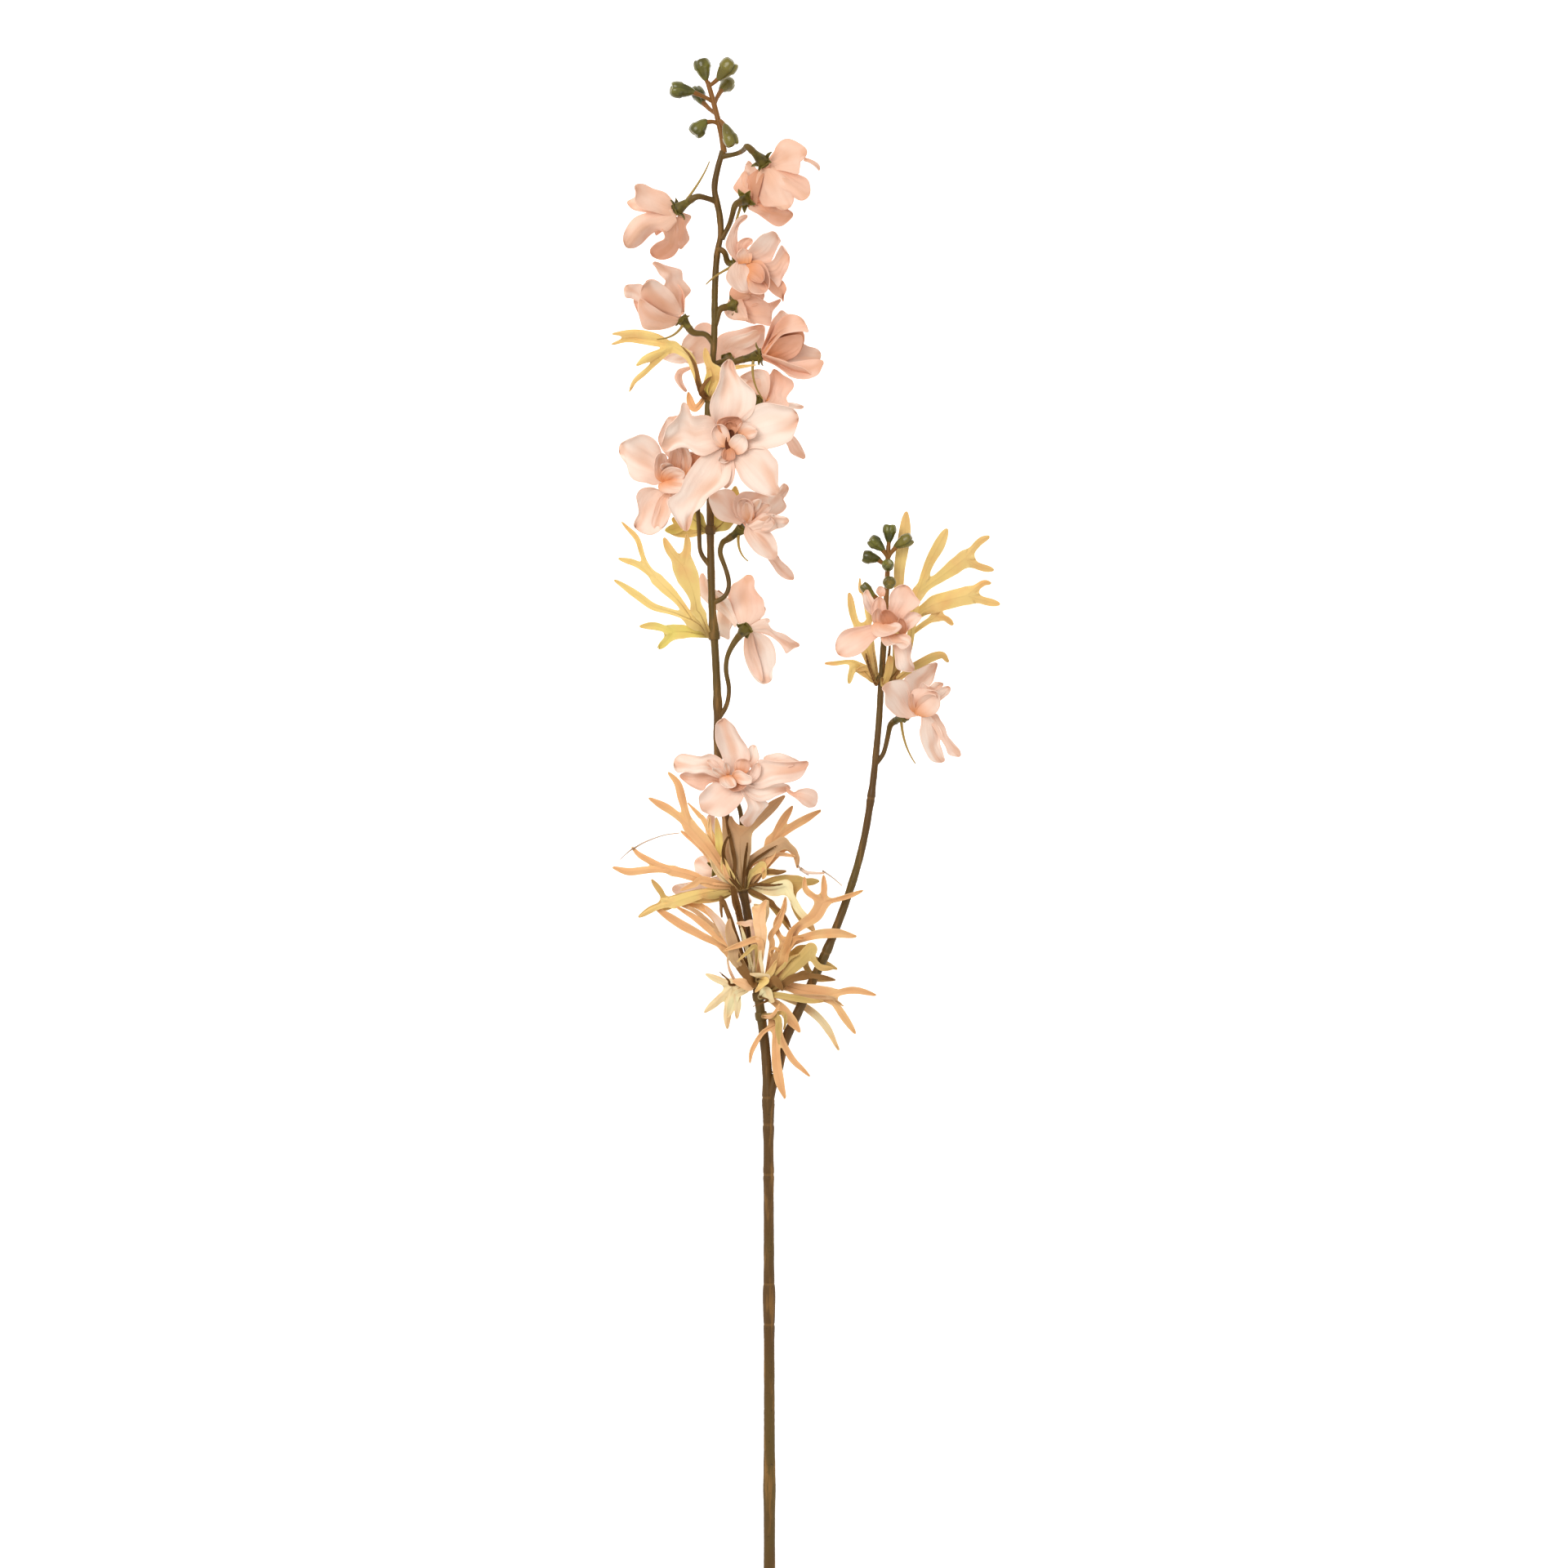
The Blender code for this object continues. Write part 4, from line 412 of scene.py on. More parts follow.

# More strips of leaf in each whorl, each with its base colour; some brown and dark strips near the
# hubs are partly painted shade, for roots that lie in shadow
EXTRA_LEAVES = {
    "leaves_upper": [
        ("brown", lobe([(-31.6, 623.2, 35.5), (-34, 627.6, 36.2), (-34.4, 632, 37),
                        (-35.6, 636.8, 38), (-38, 641.2, 39), (-40.8, 644.4, 40),
                        (-43.6, 647.2, 41)], 3.6, 1.2)),
        ("dark", lobe([(-31.2, 621.6, 36), (-33.2, 625.2, 36.8), (-34.4, 628.8, 37.4)], 4.8, 2.8)),
        ("brown", lobe([(-32.8, 623.2, 36), (-30.4, 628, 38), (-27.2, 631.2, 39)], 1.6, 2)),
        ("lime", lobe([(-30.4, 625.6, 35), (-28.8, 631.2, 36), (-28.8, 635.2, 36)], 2, 4)),
        ("gold", lobe([(-27.2, 624.8, 34), (-24, 628.8, 35), (-21.2, 631.6, 35)], 1.6, 3.2)),
        ("gold", lobe([(-28.8, 628, 34), (-22, 634, 34), (-14, 636, 33), (-4.8, 637.2, 32)], 1.2,
                       2)),
        ("amber", lobe([(-35.2, 616, 31), (-37.6, 618.4, 31), (-38.8, 623.6, 31)], 2.8, 4.4)),
    ],
    "leaves_crown": [
        ("lime", lobe([(-35.2, 557.6, 20), (-40.8, 560, 17), (-46.4, 562.4, 15)], 3.2, 9.6)),
        ("gold", lobe([(-36, 555.2, 22), (-43.2, 555.2, 20), (-50, 556.8, 18)], 2.4, 4.8)),
        ("lime", lobe([(-26.4, 560.8, 20), (-23.2, 567.2, 18), (-20, 574.4, 16)], 2.8, 6.4)),
    ],
    "leaves_middle": [
        ("lime", lobe([(-30.8, 507.2, 28), (-31.2, 512, 28), (-32.8, 516.8, 28)], 2, 3.6)),
    ],
    "leaves_great": [
        ("cream", lobe([(-24, 388, 27), (-27.2, 396, 28), (-28.4, 407.2, 28.5), (-28.4, 416, 29)],
                        2, 3.6)),
        ("lime", lobe([(-20.8, 391.2, 29), (-23.2, 398, 30.5), (-24, 407.2, 31),
                       (-25.2, 415.2, 31)], 2.4, 4.8)),
        ("fawn", lobe([(-17.2, 388.8, 31), (-18.8, 398, 32), (-20, 408, 32.5), (-21.6, 416, 33)],
                       2.8, 5.6)),
        ("dark", lobe([(-16.4, 385.6, 34), (-16, 392.8, 36), (-17.2, 400.8, 37),
                       (-19.2, 409.6, 37), (-20.8, 416.4, 36.5)], 1.6, 2)),
        ("dark", lobe([(-17.6, 385.6, 35), (-20, 392, 37.4), (-21.6, 397.6, 38),
                       (-20.8, 403.2, 38), (-17.6, 408.8, 37.6)], 1.6, 1.8)),
        ("gold", lobe([(-18, 386.4, 35), (-20.4, 390.4, 37), (-22, 396, 37)], 2.4, 5.2)),
        ("amber", lobe([(-18.8, 385.2, 35), (-20.4, 388, 38), (-21.6, 392.8, 38.4)], 1.6, 2.8)),
        ("dark", lobe([(-11.6, 387.2, 35.6), (-10.8, 396, 37.4), (-9.6, 404.8, 37.8)], 1.4, 1.4)),
        ("dark", lobe([(-9.6, 390.4, 34.4), (-5.6, 395.2, 33.6), (0, 399.2, 32.8),
                       (5.6, 402.4, 32)], 1.4, 1.4)),
        ("fawn", lobe([(-10, 392, 31), (-4.8, 396.8, 31), (2.4, 400.4, 30.6), (7.2, 403.2, 30)],
                       2.4, 5.2,
                      lobe([(11.2, 400.8, 27), (13.6, 397.6, 24), (14.4, 392, 22)], 2.8, 3.2))),
        ("peach", lobe([(-8.8, 391.2, 26), (-2, 396, 26), (6, 397.6, 25), (13.6, 396.4, 24)], 1.6,
                        2.8)),
        ("gold", lobe([(-8.8, 387.2, 31), (-6, 389.6, 31), (-2.8, 392, 31)], 2, 3.6,
                      lobe([(-1.6, 388, 30), (-2.4, 385.6, 30)], 2, 2.4))),
        ("olive", lobe([(-7.2, 387.2, 28), (-1.6, 388.8, 28), (4, 388.8, 28), (7.2, 388.8, 28)],
                        3.2, 4)),
        ("brown", lobe([(-4, 388.4, 28.2), (4.8, 388.8, 28.6), (8.8, 389.2, 28.6)], 2, 3.6)),
        ("dark", lobe([(-6, 382.8, 30.5), (2, 382.4, 30.5), (8.8, 383.2, 30)], 1.4, 1.2)),
        ("pale", lobe([(-7.2, 381.6, 26), (0.8, 380, 26), (8.8, 381.6, 26)], 3.2, 6.4,
                      lobe([(11.2, 377.6, 26.6), (15.2, 370.4, 27.4), (20, 364.8, 28),
                            (23.2, 359.6, 28)], 3.2, 3.6))),
        ("brown", lobe([(-8.8, 380, 26), (-3.2, 377.2, 25.6), (1.6, 373.6, 25)], 2, 2,
                       lobe([(6.4, 369.2, 24.6), (9.6, 364.8, 24), (11.6, 360.8, 24)], 1.6, 1.8))),
        ("gold", lobe([(-18.8, 380, 27.6), (-27.2, 379.2, 28), (-36, 377.2, 28), (-45.6, 374, 28)],
                       2.4, 5.2,
                      lobe([(-52.8, 375.6, 27)], 2, 2),
                      lobe([(-54.8, 371.2, 26), (-63.2, 366.8, 25)], 2.4, 2.4))),
        ("olive", lobe([(-19.2, 379.2, 28.6), (-25.6, 377.6, 29), (-32.4, 376.8, 29)], 2.4, 4)),
        ("gold", lobe([(-20.8, 376.8, 25), (-28, 374.8, 25), (-36.8, 374.8, 25), (-44, 375.2, 25)],
                       1.6, 2.8)),
        ("peach", lobe([(-25.6, 392.8, 26), (-31.2, 400, 26), (-36.8, 404.8, 26),
                        (-42.4, 408.8, 26)], 2.4, 4.4)),
        ("amber", lobe([(-29.6, 411.2, 29), (-33.6, 416.8, 29), (-39.2, 422.8, 29)], 2, 3.2)),
        ("amber", lobe([(-31.2, 385.2, 30.6), (-36, 382.8, 30.4), (-42.8, 380, 29)], 2.4, 3.6)),
    ],
    "leaves_lower_left": [
        ("brown", lobe([(-6.8, 333.6, 30), (-10.4, 338.4, 31), (-14.4, 344.8, 31),
                        (-16.8, 350.4, 31)], 3.6, 6)),
        ("amber", lobe([(-16.8, 351.2, 31.4), (-24.8, 357.6, 30), (-34.4, 365.6, 29),
                        (-44.8, 372, 28)], 2.4, 4)),
        ("fawn", lobe([(-16, 349.6, 30.4), (-21.6, 356.8, 30), (-29.6, 364.8, 28),
                       (-36.8, 370.4, 27), (-47.2, 374.4, 26)], 2, 2.8)),
        ("pink", lobe([(-16.8, 352, 31.8), (-20.8, 359.2, 32), (-24.8, 365.6, 32),
                       (-30.4, 371.2, 31)], 2, 5.2)),
        ("fawn", lobe([(-16, 345.6, 33), (-16.8, 352.8, 34), (-18.8, 360.8, 34.6),
                       (-18.8, 365.6, 34.6)], 2.4, 6.4)),
        ("pale", lobe([(-12.8, 361.6, 36.4), (-15.2, 364, 36.4)], 1.6, 2)),
        ("pink", lobe([(-6.4, 361.6, 36.2), (-11.2, 363.6, 37), (-14.8, 364, 37)], 2.4, 5.2)),
        ("amber", lobe([(-3.2, 352, 36.6), (-5.6, 356, 37), (-14, 353.2, 37), (-21.6, 350.4, 36)],
                        2.4, 3.6)),
        ("peach", lobe([(-3.2, 356.8, 36.8), (-4, 364, 37), (-4, 368.8, 37)], 2.8, 5.6,
                       lobe([(-0.8, 375.2, 36)], 2.8, 2.8),
                       lobe([(-7.2, 371.6, 36)], 2, 2.4))),
        ("cream", lobe([(-2.4, 339.2, 34.6), (-3.6, 347.2, 35.4), (-3.2, 356, 36)], 1.2, 1.8)),
        ("olive", lobe([(-5.6, 352, 36), (-10.4, 349.2, 36), (-15.2, 344.8, 35)], 1.6, 2.4)),
        ("pink", lobe([(-14, 333.6, 27), (-18, 339.2, 27), (-19.6, 345.6, 27.6),
                       (-18.8, 350.4, 28)], 1.2, 1.4)),
        ("gold", lobe([(-0.8, 336, 37), (-3.2, 333.6, 37.6), (-6, 330.4, 37.6)], 2.4, 3.6)),
        ("cream", lobe([(0, 337.6, 35.6), (-4, 338.4, 36.2), (-8.8, 339.2, 36)], 2, 3.2)),
        ("peach", lobe([(-8.8, 332.8, 31), (-12.8, 334.8, 32), (-16.8, 335.6, 32)], 2.8, 5.6)),
        ("pale", lobe([(-10.4, 331.2, 24), (-15.2, 328.8, 22), (-17.6, 323.2, 20),
                       (-19.6, 317.6, 18)], 3.2, 5.6)),
        ("cream", lobe([(-14.4, 329.6, 22), (-14.8, 323.2, 20.6), (-15.2, 316.8, 19)], 2.4, 4)),
        ("dark", lobe([(-17.6, 333.6, 30), (-19.2, 336, 30), (-22.4, 338.8, 30),
                       (-25.2, 341.2, 30)], 1, 1)),
        ("dark", lobe([(-16.4, 379.2, 33), (-16.4, 373.6, 33), (-14.8, 368, 33)], 2.4, 3.6)),
        ("dark", lobe([(-17.6, 377.6, 32.6), (-20.4, 372.8, 32), (-21.6, 368, 31)], 0.8, 1)),
        ("brown", lobe([(-21.6, 374.4, 30), (-22.8, 371.2, 30), (-22.4, 366.4, 29.6)], 1.6, 2.8)),
    ],
    "leaves_lower_right": [
        ("pale", lobe([(-0.8, 330.4, 33.6), (0.8, 327.2, 33.6), (2.8, 325.6, 33)], 3.2, 6)),
        ("brown", lobe([(1.6, 336, 35), (4.8, 334.8, 35.4), (7.2, 331.2, 34)], 2.8, 5.2)),
        ("olive", lobe([(0, 337.6, 34.6), (2, 340.8, 35.6), (4.4, 345.6, 36)], 2.8, 4)),
        ("olive", lobe([(2.4, 337.6, 34), (7.2, 342.4, 34), (11.2, 346.8, 33), (16, 348.8, 32)],
                        1.6, 2)),
        ("rust", lobe([(6, 344, 33.4), (6.4, 348.8, 33.6), (3.6, 351.6, 33.6), (1.2, 350.4, 33.4),
                       (1.6, 347.2, 33)], 1.6, 2)),
        ("rust", lobe([(6.8, 343.2, 33.8), (8.8, 350.4, 35), (12.8, 356, 35.6), (17.6, 356.8, 35)],
                       2.4, 5.2)),
        ("rust", lobe([(8.8, 352, 35.6), (11.2, 359.2, 36.2), (15.2, 364.4, 36)], 2.4, 4)),
        ("amber", lobe([(2, 352, 31), (1.6, 357.6, 32), (5.6, 364, 33), (8, 371.2, 33),
                        (8.8, 376, 33)], 1.6, 3.2)),
        ("olive", lobe([(6, 335.2, 31.4), (10.4, 340, 32), (16, 345.6, 32), (21.2, 351.2, 32)],
                        2.8, 5.6,
                       lobe([(22, 347.2, 31.6), (25.6, 342.4, 30), (32, 341.6, 29)], 2, 3.6))),
        ("brown", lobe([(7.2, 333.6, 31.4), (11.2, 336.4, 32.4), (17.6, 338.4, 32.6)], 2.8, 3.6,
                       lobe([(25.2, 337.6, 31.6), (33.2, 336, 31)], 2.4, 2.4))),
        ("olive", lobe([(4, 328.8, 33), (11.2, 327.6, 33.4), (20, 326, 33), (27.2, 325.6, 32.4)],
                        2.8, 3.6)),
        ("fawn", lobe([(28.8, 327.6, 32), (33.6, 325.6, 31), (37.6, 322.8, 30)], 2, 2.4)),
        ("dark", lobe([(0, 326.4, 36), (-4, 324.4, 36.6), (-9.6, 322.4, 36)], 0.8, 0.9)),
    ],
    "leaves_foot": [
        ("olive", lobe([(4.8, 317.6, 36), (5.2, 311.2, 36.4), (5.6, 304.8, 36)], 2.4, 3.6)),
        ("olive", lobe([(7.2, 320, 34), (8.8, 316, 33), (7.6, 311.2, 33)], 1.6, 2)),
        ("amber", lobe([(1.6, 318.4, 36), (4.4, 321.6, 35), (6, 324.8, 34)], 1.6, 2)),
    ],
    "leaves_side": [
        ("olive", lobe([(56.8, 480.8, 32), (59.2, 487.2, 33), (60, 494.4, 33)], 2.8, 4)),
        ("gold", lobe([(53.6, 485.6, 27), (48.8, 488.8, 24), (44, 488, 22)], 2, 2.8)),
        ("brown", lobe([(60, 479.2, 31), (63.2, 485.6, 29), (67.2, 493.6, 25), (71.2, 502.4, 20)],
                        1, 1)),
        ("brown", lobe([(56, 481.6, 31), (58.8, 491.2, 29), (60.4, 504, 26)], 1, 1)),
        ("brown", lobe([(52.8, 480.8, 31), (49.6, 489.6, 28.6), (48, 496.8, 26)], 1, 1)),
        ("gold", lobe([(48, 521.6, 24), (45.6, 527.2, 24), (45.2, 532.8, 24)], 1.6, 2.4)),
        ("gold", lobe([(60, 490, 22), (67.2, 502.4, 14), (75.2, 509.6, 10), (83.2, 514.8, 7)], 1.6,
                       2.4,
                      lobe([(88, 513.6, 6), (91.2, 510.8, 5)], 2, 2.8),
                      lobe([(85.2, 518.8, 6), (87.2, 522.4, 6)], 1.6, 2.4))),
        ("olive", lobe([(61.6, 493.6, 21), (68.8, 508.8, 12), (76.8, 515.6, 10), (84.8, 516.8, 8)],
                        1.2, 1.4)),
    ],
}

# Loose threads of each whorl: base colour, radius and route
THREADS = {
    "leaves_great": [
        ("wire", 0.4, [(-66.4, 400, 26.4), (-60, 403.6, 27), (-51.2, 406.8, 27), (-43.2, 408, 27)]),
        ("wire", 0.35, [(-65.6, 400.8, 26.4), (-69.6, 397.6, 26), (-72.4, 394.8, 25)]),
        ("wire", 0.45, [(14.6, 392, 20), (17.6, 388.8, 24), (20, 387.4, 28)])],
    "leaves_lower_right": [
        ("pink", 0.8, [(16, 390.6, 31.4), (19, 388.8, 32), (24, 388.4, 32.4), (27.8, 388.4, 32.4)]),
        ("wire", 0.4, [(26.8, 389.6, 32.4), (32, 386, 31.6), (36.4, 382.2, 31)])],
}


def cut(tone, *outline, **style):
    """How one petal differs from the plain ones: how deep its colour is, partly its own blush
    and partly painted shade, and its outline in plan, where it has one of its own."""
    return {"tone": tone, "outline": outline, **style}


# How the petals of each bloom differ from the plain ones: a style for each outer petal, more
# petals in a layer between the outer and inner ones, and inner petals with tips of their own
# A petal's tone above 1 paints deeper shade on it, and above 2 the dark shadow of a slit between
# petals.
DRESS = {
    "01": {
        "outer": [
            cut(0.6, (0, 736), (2.4, 739.6), (4, 744), (6.8, 747.2), (10.4, 748), (15.2, 746),
                (19.2, 742.4), (18, 738.4), (14.8, 735.2), (15.2, 730.8), (8.8, 732),
                (1.6, 733.2)),
            cut(1.1, (2, 734.8), (8, 734), (14.4, 730.8), (19.2, 728.4), (20.8, 724.4),
                (20.4, 720.4), (17.6, 718), (14.4, 718.4), (10.4, 721.6), (6, 724.8),
                (1.2, 731.2)),
            cut(0.7, (2, 733.6), (8, 729.6), (12, 724), (12.8, 718.4), (10.8, 714.4), (6.8, 713.2),
                (2, 715.6), (-2, 715.2), (-4.4, 720), (-5.6, 726), (-4.8, 731.2), (-2.4, 733.6)),
            cut(1.8, (-3.2, 734), (-7.2, 731.6), (-10.8, 728.8), (-12.8, 724), (-13.6, 720),
                (-11.2, 716), (-6, 716), (-4.4, 722), (-1.6, 731.2), sink=9),
            cut(0.5, (-0.8, 736), (1.2, 739.2), (3.6, 742.4), (6, 745.2), (8.8, 745.2),
                (10.4, 741.6), (8, 737.2), (2, 733.6))],
        "layer": [
            (25.2, 732.4, 31, 3.2, cut(0.6, (18, 738.8), (20.8, 738), (24, 736.4), (25.6, 734.4),
                (25.2, 732.4), (24, 733.6), (20.8, 736), (17.6, 737.2)))]},
    "02": {
        "outer": [
            cut(1.3, (-12.8, 720), (-15.2, 721.6), (-16.8, 724), (-15.6, 726.4), (-14, 728.8),
                (-11.6, 732), (-9.6, 730.4), (-9.6, 724.8), (-9.2, 720)),
            cut(0.6, (-13.6, 723.2), (-13.6, 728), (-11.6, 732), (-10.8, 735.2), (-9.2, 737.2),
                (-7.2, 735.2), (-4, 731.2), (-2.4, 726), (-4.8, 720.8), (-8.8, 718.4)),
            cut(0.2, (-8, 716.8), (-2, 716.4), (4, 715.6), (9.6, 713.6), (12.4, 711.2),
                (10.8, 708.8), (6, 709.6), (0, 709.2), (-4.8, 711.2), (-9.6, 713.6)),
            cut(0.9, (-9.6, 714.4), (-4.8, 711.2), (-0.4, 708), (3.2, 705.6), (6.4, 705.2),
                (9.6, 707.2), (12, 710.4), (8.8, 712.8), (2, 714.4), (-5.6, 716.8)),
            cut(1.2, (-12.8, 720.8), (-14.4, 724), (-13.6, 727.2), (-10.4, 728), (-8, 725.6),
                (-8, 720))],
        "layer": [
            (-5.6, 730.4, 26, 8.1, cut(1.6, (-10.4, 720), (-11.2, 724.8), (-8.8, 728.8),
                (-5.6, 730.4), (-4, 726), (-4, 720), (-6.4, 716.8)))]},
    "03": {
        "outer": [
            cut(1.0, (-44.8, 715.2), (-48, 719.6), (-50.8, 722), (-56, 723.6), (-60, 725.6),
                (-62.8, 726), (-65.2, 724.8), (-64.4, 720.8), (-64.8, 717.2), (-61.6, 713.6),
                (-56.8, 712.4), (-51.2, 710.8), (-44.8, 709.6)),
            cut(0.9, (-48.8, 716), (-56, 719.6), (-62, 720.8), (-66, 718.8), (-68.8, 717.2),
                (-68, 715.2), (-65.6, 713.2), (-62, 712.4), (-56, 711.6), (-50, 711.2)),
            cut(0.45, (-46.4, 713.6), (-58, 712), (-64.8, 709.6), (-68.8, 705.2), (-70.8, 700),
                (-69.6, 695.2), (-66, 694.4), (-62, 696.4), (-57.6, 700.8), (-53.6, 703.2),
                (-49.6, 702.4), (-44.4, 707.6)),
            cut(1.45, (-49.6, 711.2), (-52.4, 706), (-50.4, 699.6), (-54.8, 696.8), (-57.6, 693.6),
                (-56.4, 690.4), (-52, 688.8), (-47.2, 690), (-44.4, 692.8), (-42.8, 696.8),
                (-40.8, 703.2), (-40.8, 708.8)),
            cut(0.7, (-43.2, 712.8), (-40.8, 711.6), (-37.6, 710.4), (-38, 708.4), (-40, 705.2),
                (-39.2, 702), (-38.4, 698.8), (-40.8, 695.6), (-42.8, 694), (-44.4, 698),
                (-44.8, 707.2))]},
    "04": {
        "outer": [
            cut(0.9, (-41.2, 662), (-40.8, 667.2), (-40.4, 670), (-37.6, 673.6), (-40, 677.2),
                (-41.6, 679.2), (-42, 683.2), (-44, 684.4), (-50, 686), (-54, 687.6),
                (-56.8, 687.6), (-54.8, 684.8), (-52.8, 681.2), (-50, 678.4), (-51.2, 674.4),
                (-48, 669.6), (-44.4, 663.2)),
            cut(0.1, (-55.2, 662), (-61.6, 666.8), (-66, 669.6), (-69.6, 670.4), (-70.4, 674),
                (-69.2, 676.4), (-65.6, 676.8), (-62, 676.8), (-59.6, 674.4), (-55.2, 669.6)),
            cut(0.1, (-42.4, 659.6), (-45.6, 657.6), (-50, 656), (-56, 654.4), (-60.8, 655.2),
                (-62.4, 659.2), (-63.6, 664.8), (-62.8, 670), (-61.6, 675.2), (-59.6, 677.6),
                (-56, 678.8), (-51.6, 676.8), (-46.4, 672), (-42.4, 664.8), cup=0.3),
            cut(0.6, (-44, 659.2), (-52, 656.8), (-58, 656.4), (-62.8, 661.6), (-65.6, 668),
                (-64.8, 670.4), (-61.6, 669.6), (-56, 668), (-45.6, 662.4)),
            cut(1.2, (-43.2, 661.2), (-47.2, 667.2), (-51.2, 671.2), (-56, 675.2), (-60, 677.6),
                (-58.8, 678.8), (-56, 679.2), (-52.8, 677.6), (-50.8, 675.6), (-47.2, 677.6),
                (-43.2, 676), (-40.8, 671.2), (-40.8, 663.2))],
        "layer": [
            (-62.4, 669.6, 42, 12.6, cut(0.2, (-42.4, 660), (-50, 662.4), (-56.8, 666.4),
                (-62.4, 669.6), (-63.2, 664), (-62.4, 659.2), (-60, 655.2), (-54, 654.4),
                (-48, 655.6), (-43.2, 658), cup=0.12))]},
    "05": {
        "outer": [
            cut(0.7, (-15.2, 688), (-18.4, 691.2), (-20.4, 694.8), (-20.4, 697.6), (-18.8, 702),
                (-16.8, 706), (-14.8, 708.8), (-12.8, 710.4), (-10, 710.8), (-10.4, 708.8),
                (-13.6, 706), (-14.8, 702), (-14.4, 696), (-12.8, 690)),
            cut(0.1, (-11.2, 690), (-9.2, 694), (-6.8, 697.2), (-3.2, 700.8), (0, 702),
                (2.4, 702.8), (4.4, 701.6), (5.2, 699.6), (6.4, 698), (5.2, 695.6), (3.2, 691.2),
                (1.6, 688), (-1.6, 686.8), (-6, 687.2), (-10, 688)),
            cut(0.5, (-7.2, 687.2), (1.6, 688), (4.8, 692.8), (6.8, 696), (8.4, 693.6),
                (10.4, 691.2), (10.8, 688), (9.6, 684), (8, 681.2), (6.8, 678.8), (5.6, 675.6),
                (2.4, 675.2), (-0.8, 678), (-5.6, 683.2)),
            cut(1.4, (-7.2, 683.2), (-0.8, 676), (1.6, 673.2), (4, 671.2), (6.8, 669.6),
                (7.6, 667.6), (8, 671.2), (9.2, 674.4), (8.4, 677.2), (6.4, 679.2), (2, 682),
                (-4.8, 685.6)),
            cut(0.3, (-15.2, 688), (-18, 685.6), (-20, 682.4), (-20.4, 679.6), (-18.8, 676.8),
                (-16, 674.4), (-12.8, 672.8), (-9.6, 672.8), (-7.2, 674.4), (-5.6, 677.6),
                (-5.6, 681.2), (-7.2, 684.8), (-9.6, 687.6), (-12, 688.8), cup=0.1)],
        "layer": [
            (-7.6, 698.8, 36, 6.3, cut(0.9, (-14, 689.2), (-14.8, 693.2), (-14.8, 696.8),
                (-12.8, 698.8), (-10, 699.6), (-7.6, 698.8), (-7.6, 696.8), (-10, 694.4),
                (-11.2, 690.4)))],
        "heart": [
            (-12.8, 694, 42, 7.5, cut(0.9, (-14.4, 686.8), (-15.2, 691.2), (-12.8, 694),
                (-9.6, 693.6), (-7.6, 690.8), (-8.4, 687.2), cup=0.05)),
            (-1.2, 672.8, 44, 13.9, cut(0.8, (-10.4, 687.2), (-7.2, 688.4), (-3.6, 688.4),
                (-0.8, 685.6), (0.8, 680.8), (0.8, 676), (-1.2, 672.8), (-4.8, 672), (-8.8, 673.6),
                (-10.4, 680), cup=0.3)),
            (-1.6, 680, 45, 8.8, cut(1.5, (-10.4, 686.4), (-7.6, 687.2), (-4.4, 686.8), (-2, 684),
                (-1.6, 680), (-3.2, 677.6), (-7.2, 678.4), (-10.4, 680.8), cup=0.3))]},
    "06": {
        "outer": [
            cut(0.9, (-14, 669.6), (-10, 673.6), (-6, 676), (-3.2, 674.4), (-1.6, 671.2),
                (-4, 667.2), (-10, 664.8)),
            cut(0.6, (-14.8, 669.6), (-8.8, 671.6), (-3.2, 669.6), (0, 667.6), (3.2, 668.4),
                (6.8, 669.6), (4.8, 666.4), (2.4, 663.6), (1.6, 659.6), (1.2, 656.4),
                (-2.8, 657.2), (-7.2, 658.4), (-12.8, 663.2)),
            cut(0.5, (-17.6, 672), (-19.6, 668), (-21.2, 664.4), (-20.4, 661.6), (-17.6, 659.6),
                (-13.6, 659.2), (-10, 659.2), (-10.4, 664), (-12.8, 670.4)),
            cut(0.8, (-16.8, 668.8), (-12, 667.2), (-8, 662.4), (-5.6, 657.6), (-10, 658.4),
                (-14, 660.8), (-18.4, 664.8)),
            cut(1.5, (-17.6, 667.2), (-18.8, 672), (-17.2, 675.6), (-12.8, 675.2), (-8.8, 673.6),
                (-8.8, 669.6), (-12.8, 666.4))],
        "layer": [
            (-8.4, 670.4, 33, 8.4, cut(1.6, (-18, 669.6), (-18.4, 673.6), (-17.2, 675.6),
                (-14, 674.8), (-9.6, 672.8), (-8.4, 670.4), (-12.8, 668)))]},
    "07": {
        "outer": [
            cut(0.3, (-3.6, 644), (-1.2, 649.6), (0.8, 655.2), (2.4, 659.2), (4.4, 661.6),
                (6.8, 664), (9.6, 662), (12.8, 659.2), (11.2, 654), (6, 651.2), (0, 643.2),
                (-2.4, 641.6)),
            cut(0.7, (-3.2, 643.2), (0.8, 650.4), (4, 656.8), (8.8, 661.6), (14, 661.6),
                (17.6, 659.2), (18.8, 656), (20, 653.2), (16.8, 653.6), (12, 653.2), (7.2, 652),
                (3.2, 648), (-1.6, 641.2)),
            cut(0.2, (-3.2, 643.2), (2.4, 643.6), (8.8, 646.4), (15.2, 648.4), (20, 646.4),
                (24, 645.2), (26, 642.8), (25.2, 639.6), (20, 638.4), (12, 636.8), (4, 638.8),
                (-3.2, 640.8)),
            cut(0.7, (-3.2, 642.4), (1.6, 640.4), (7.2, 638.4), (14, 638.8), (22, 640),
                (27.2, 639.2), (26.4, 636), (24.4, 632.4), (19.2, 630.4), (14, 630.8),
                (9.2, 633.2), (3.2, 637.2), (-3.2, 640)),
            cut(0.4, (-3.6, 641.2), (4, 637.2), (8, 634), (11.2, 631.6), (16, 630.4),
                (21.6, 631.2), (18.4, 635.2), (12, 637.6), (2.4, 641.2), (-2.4, 642.8))],
        "layer": [
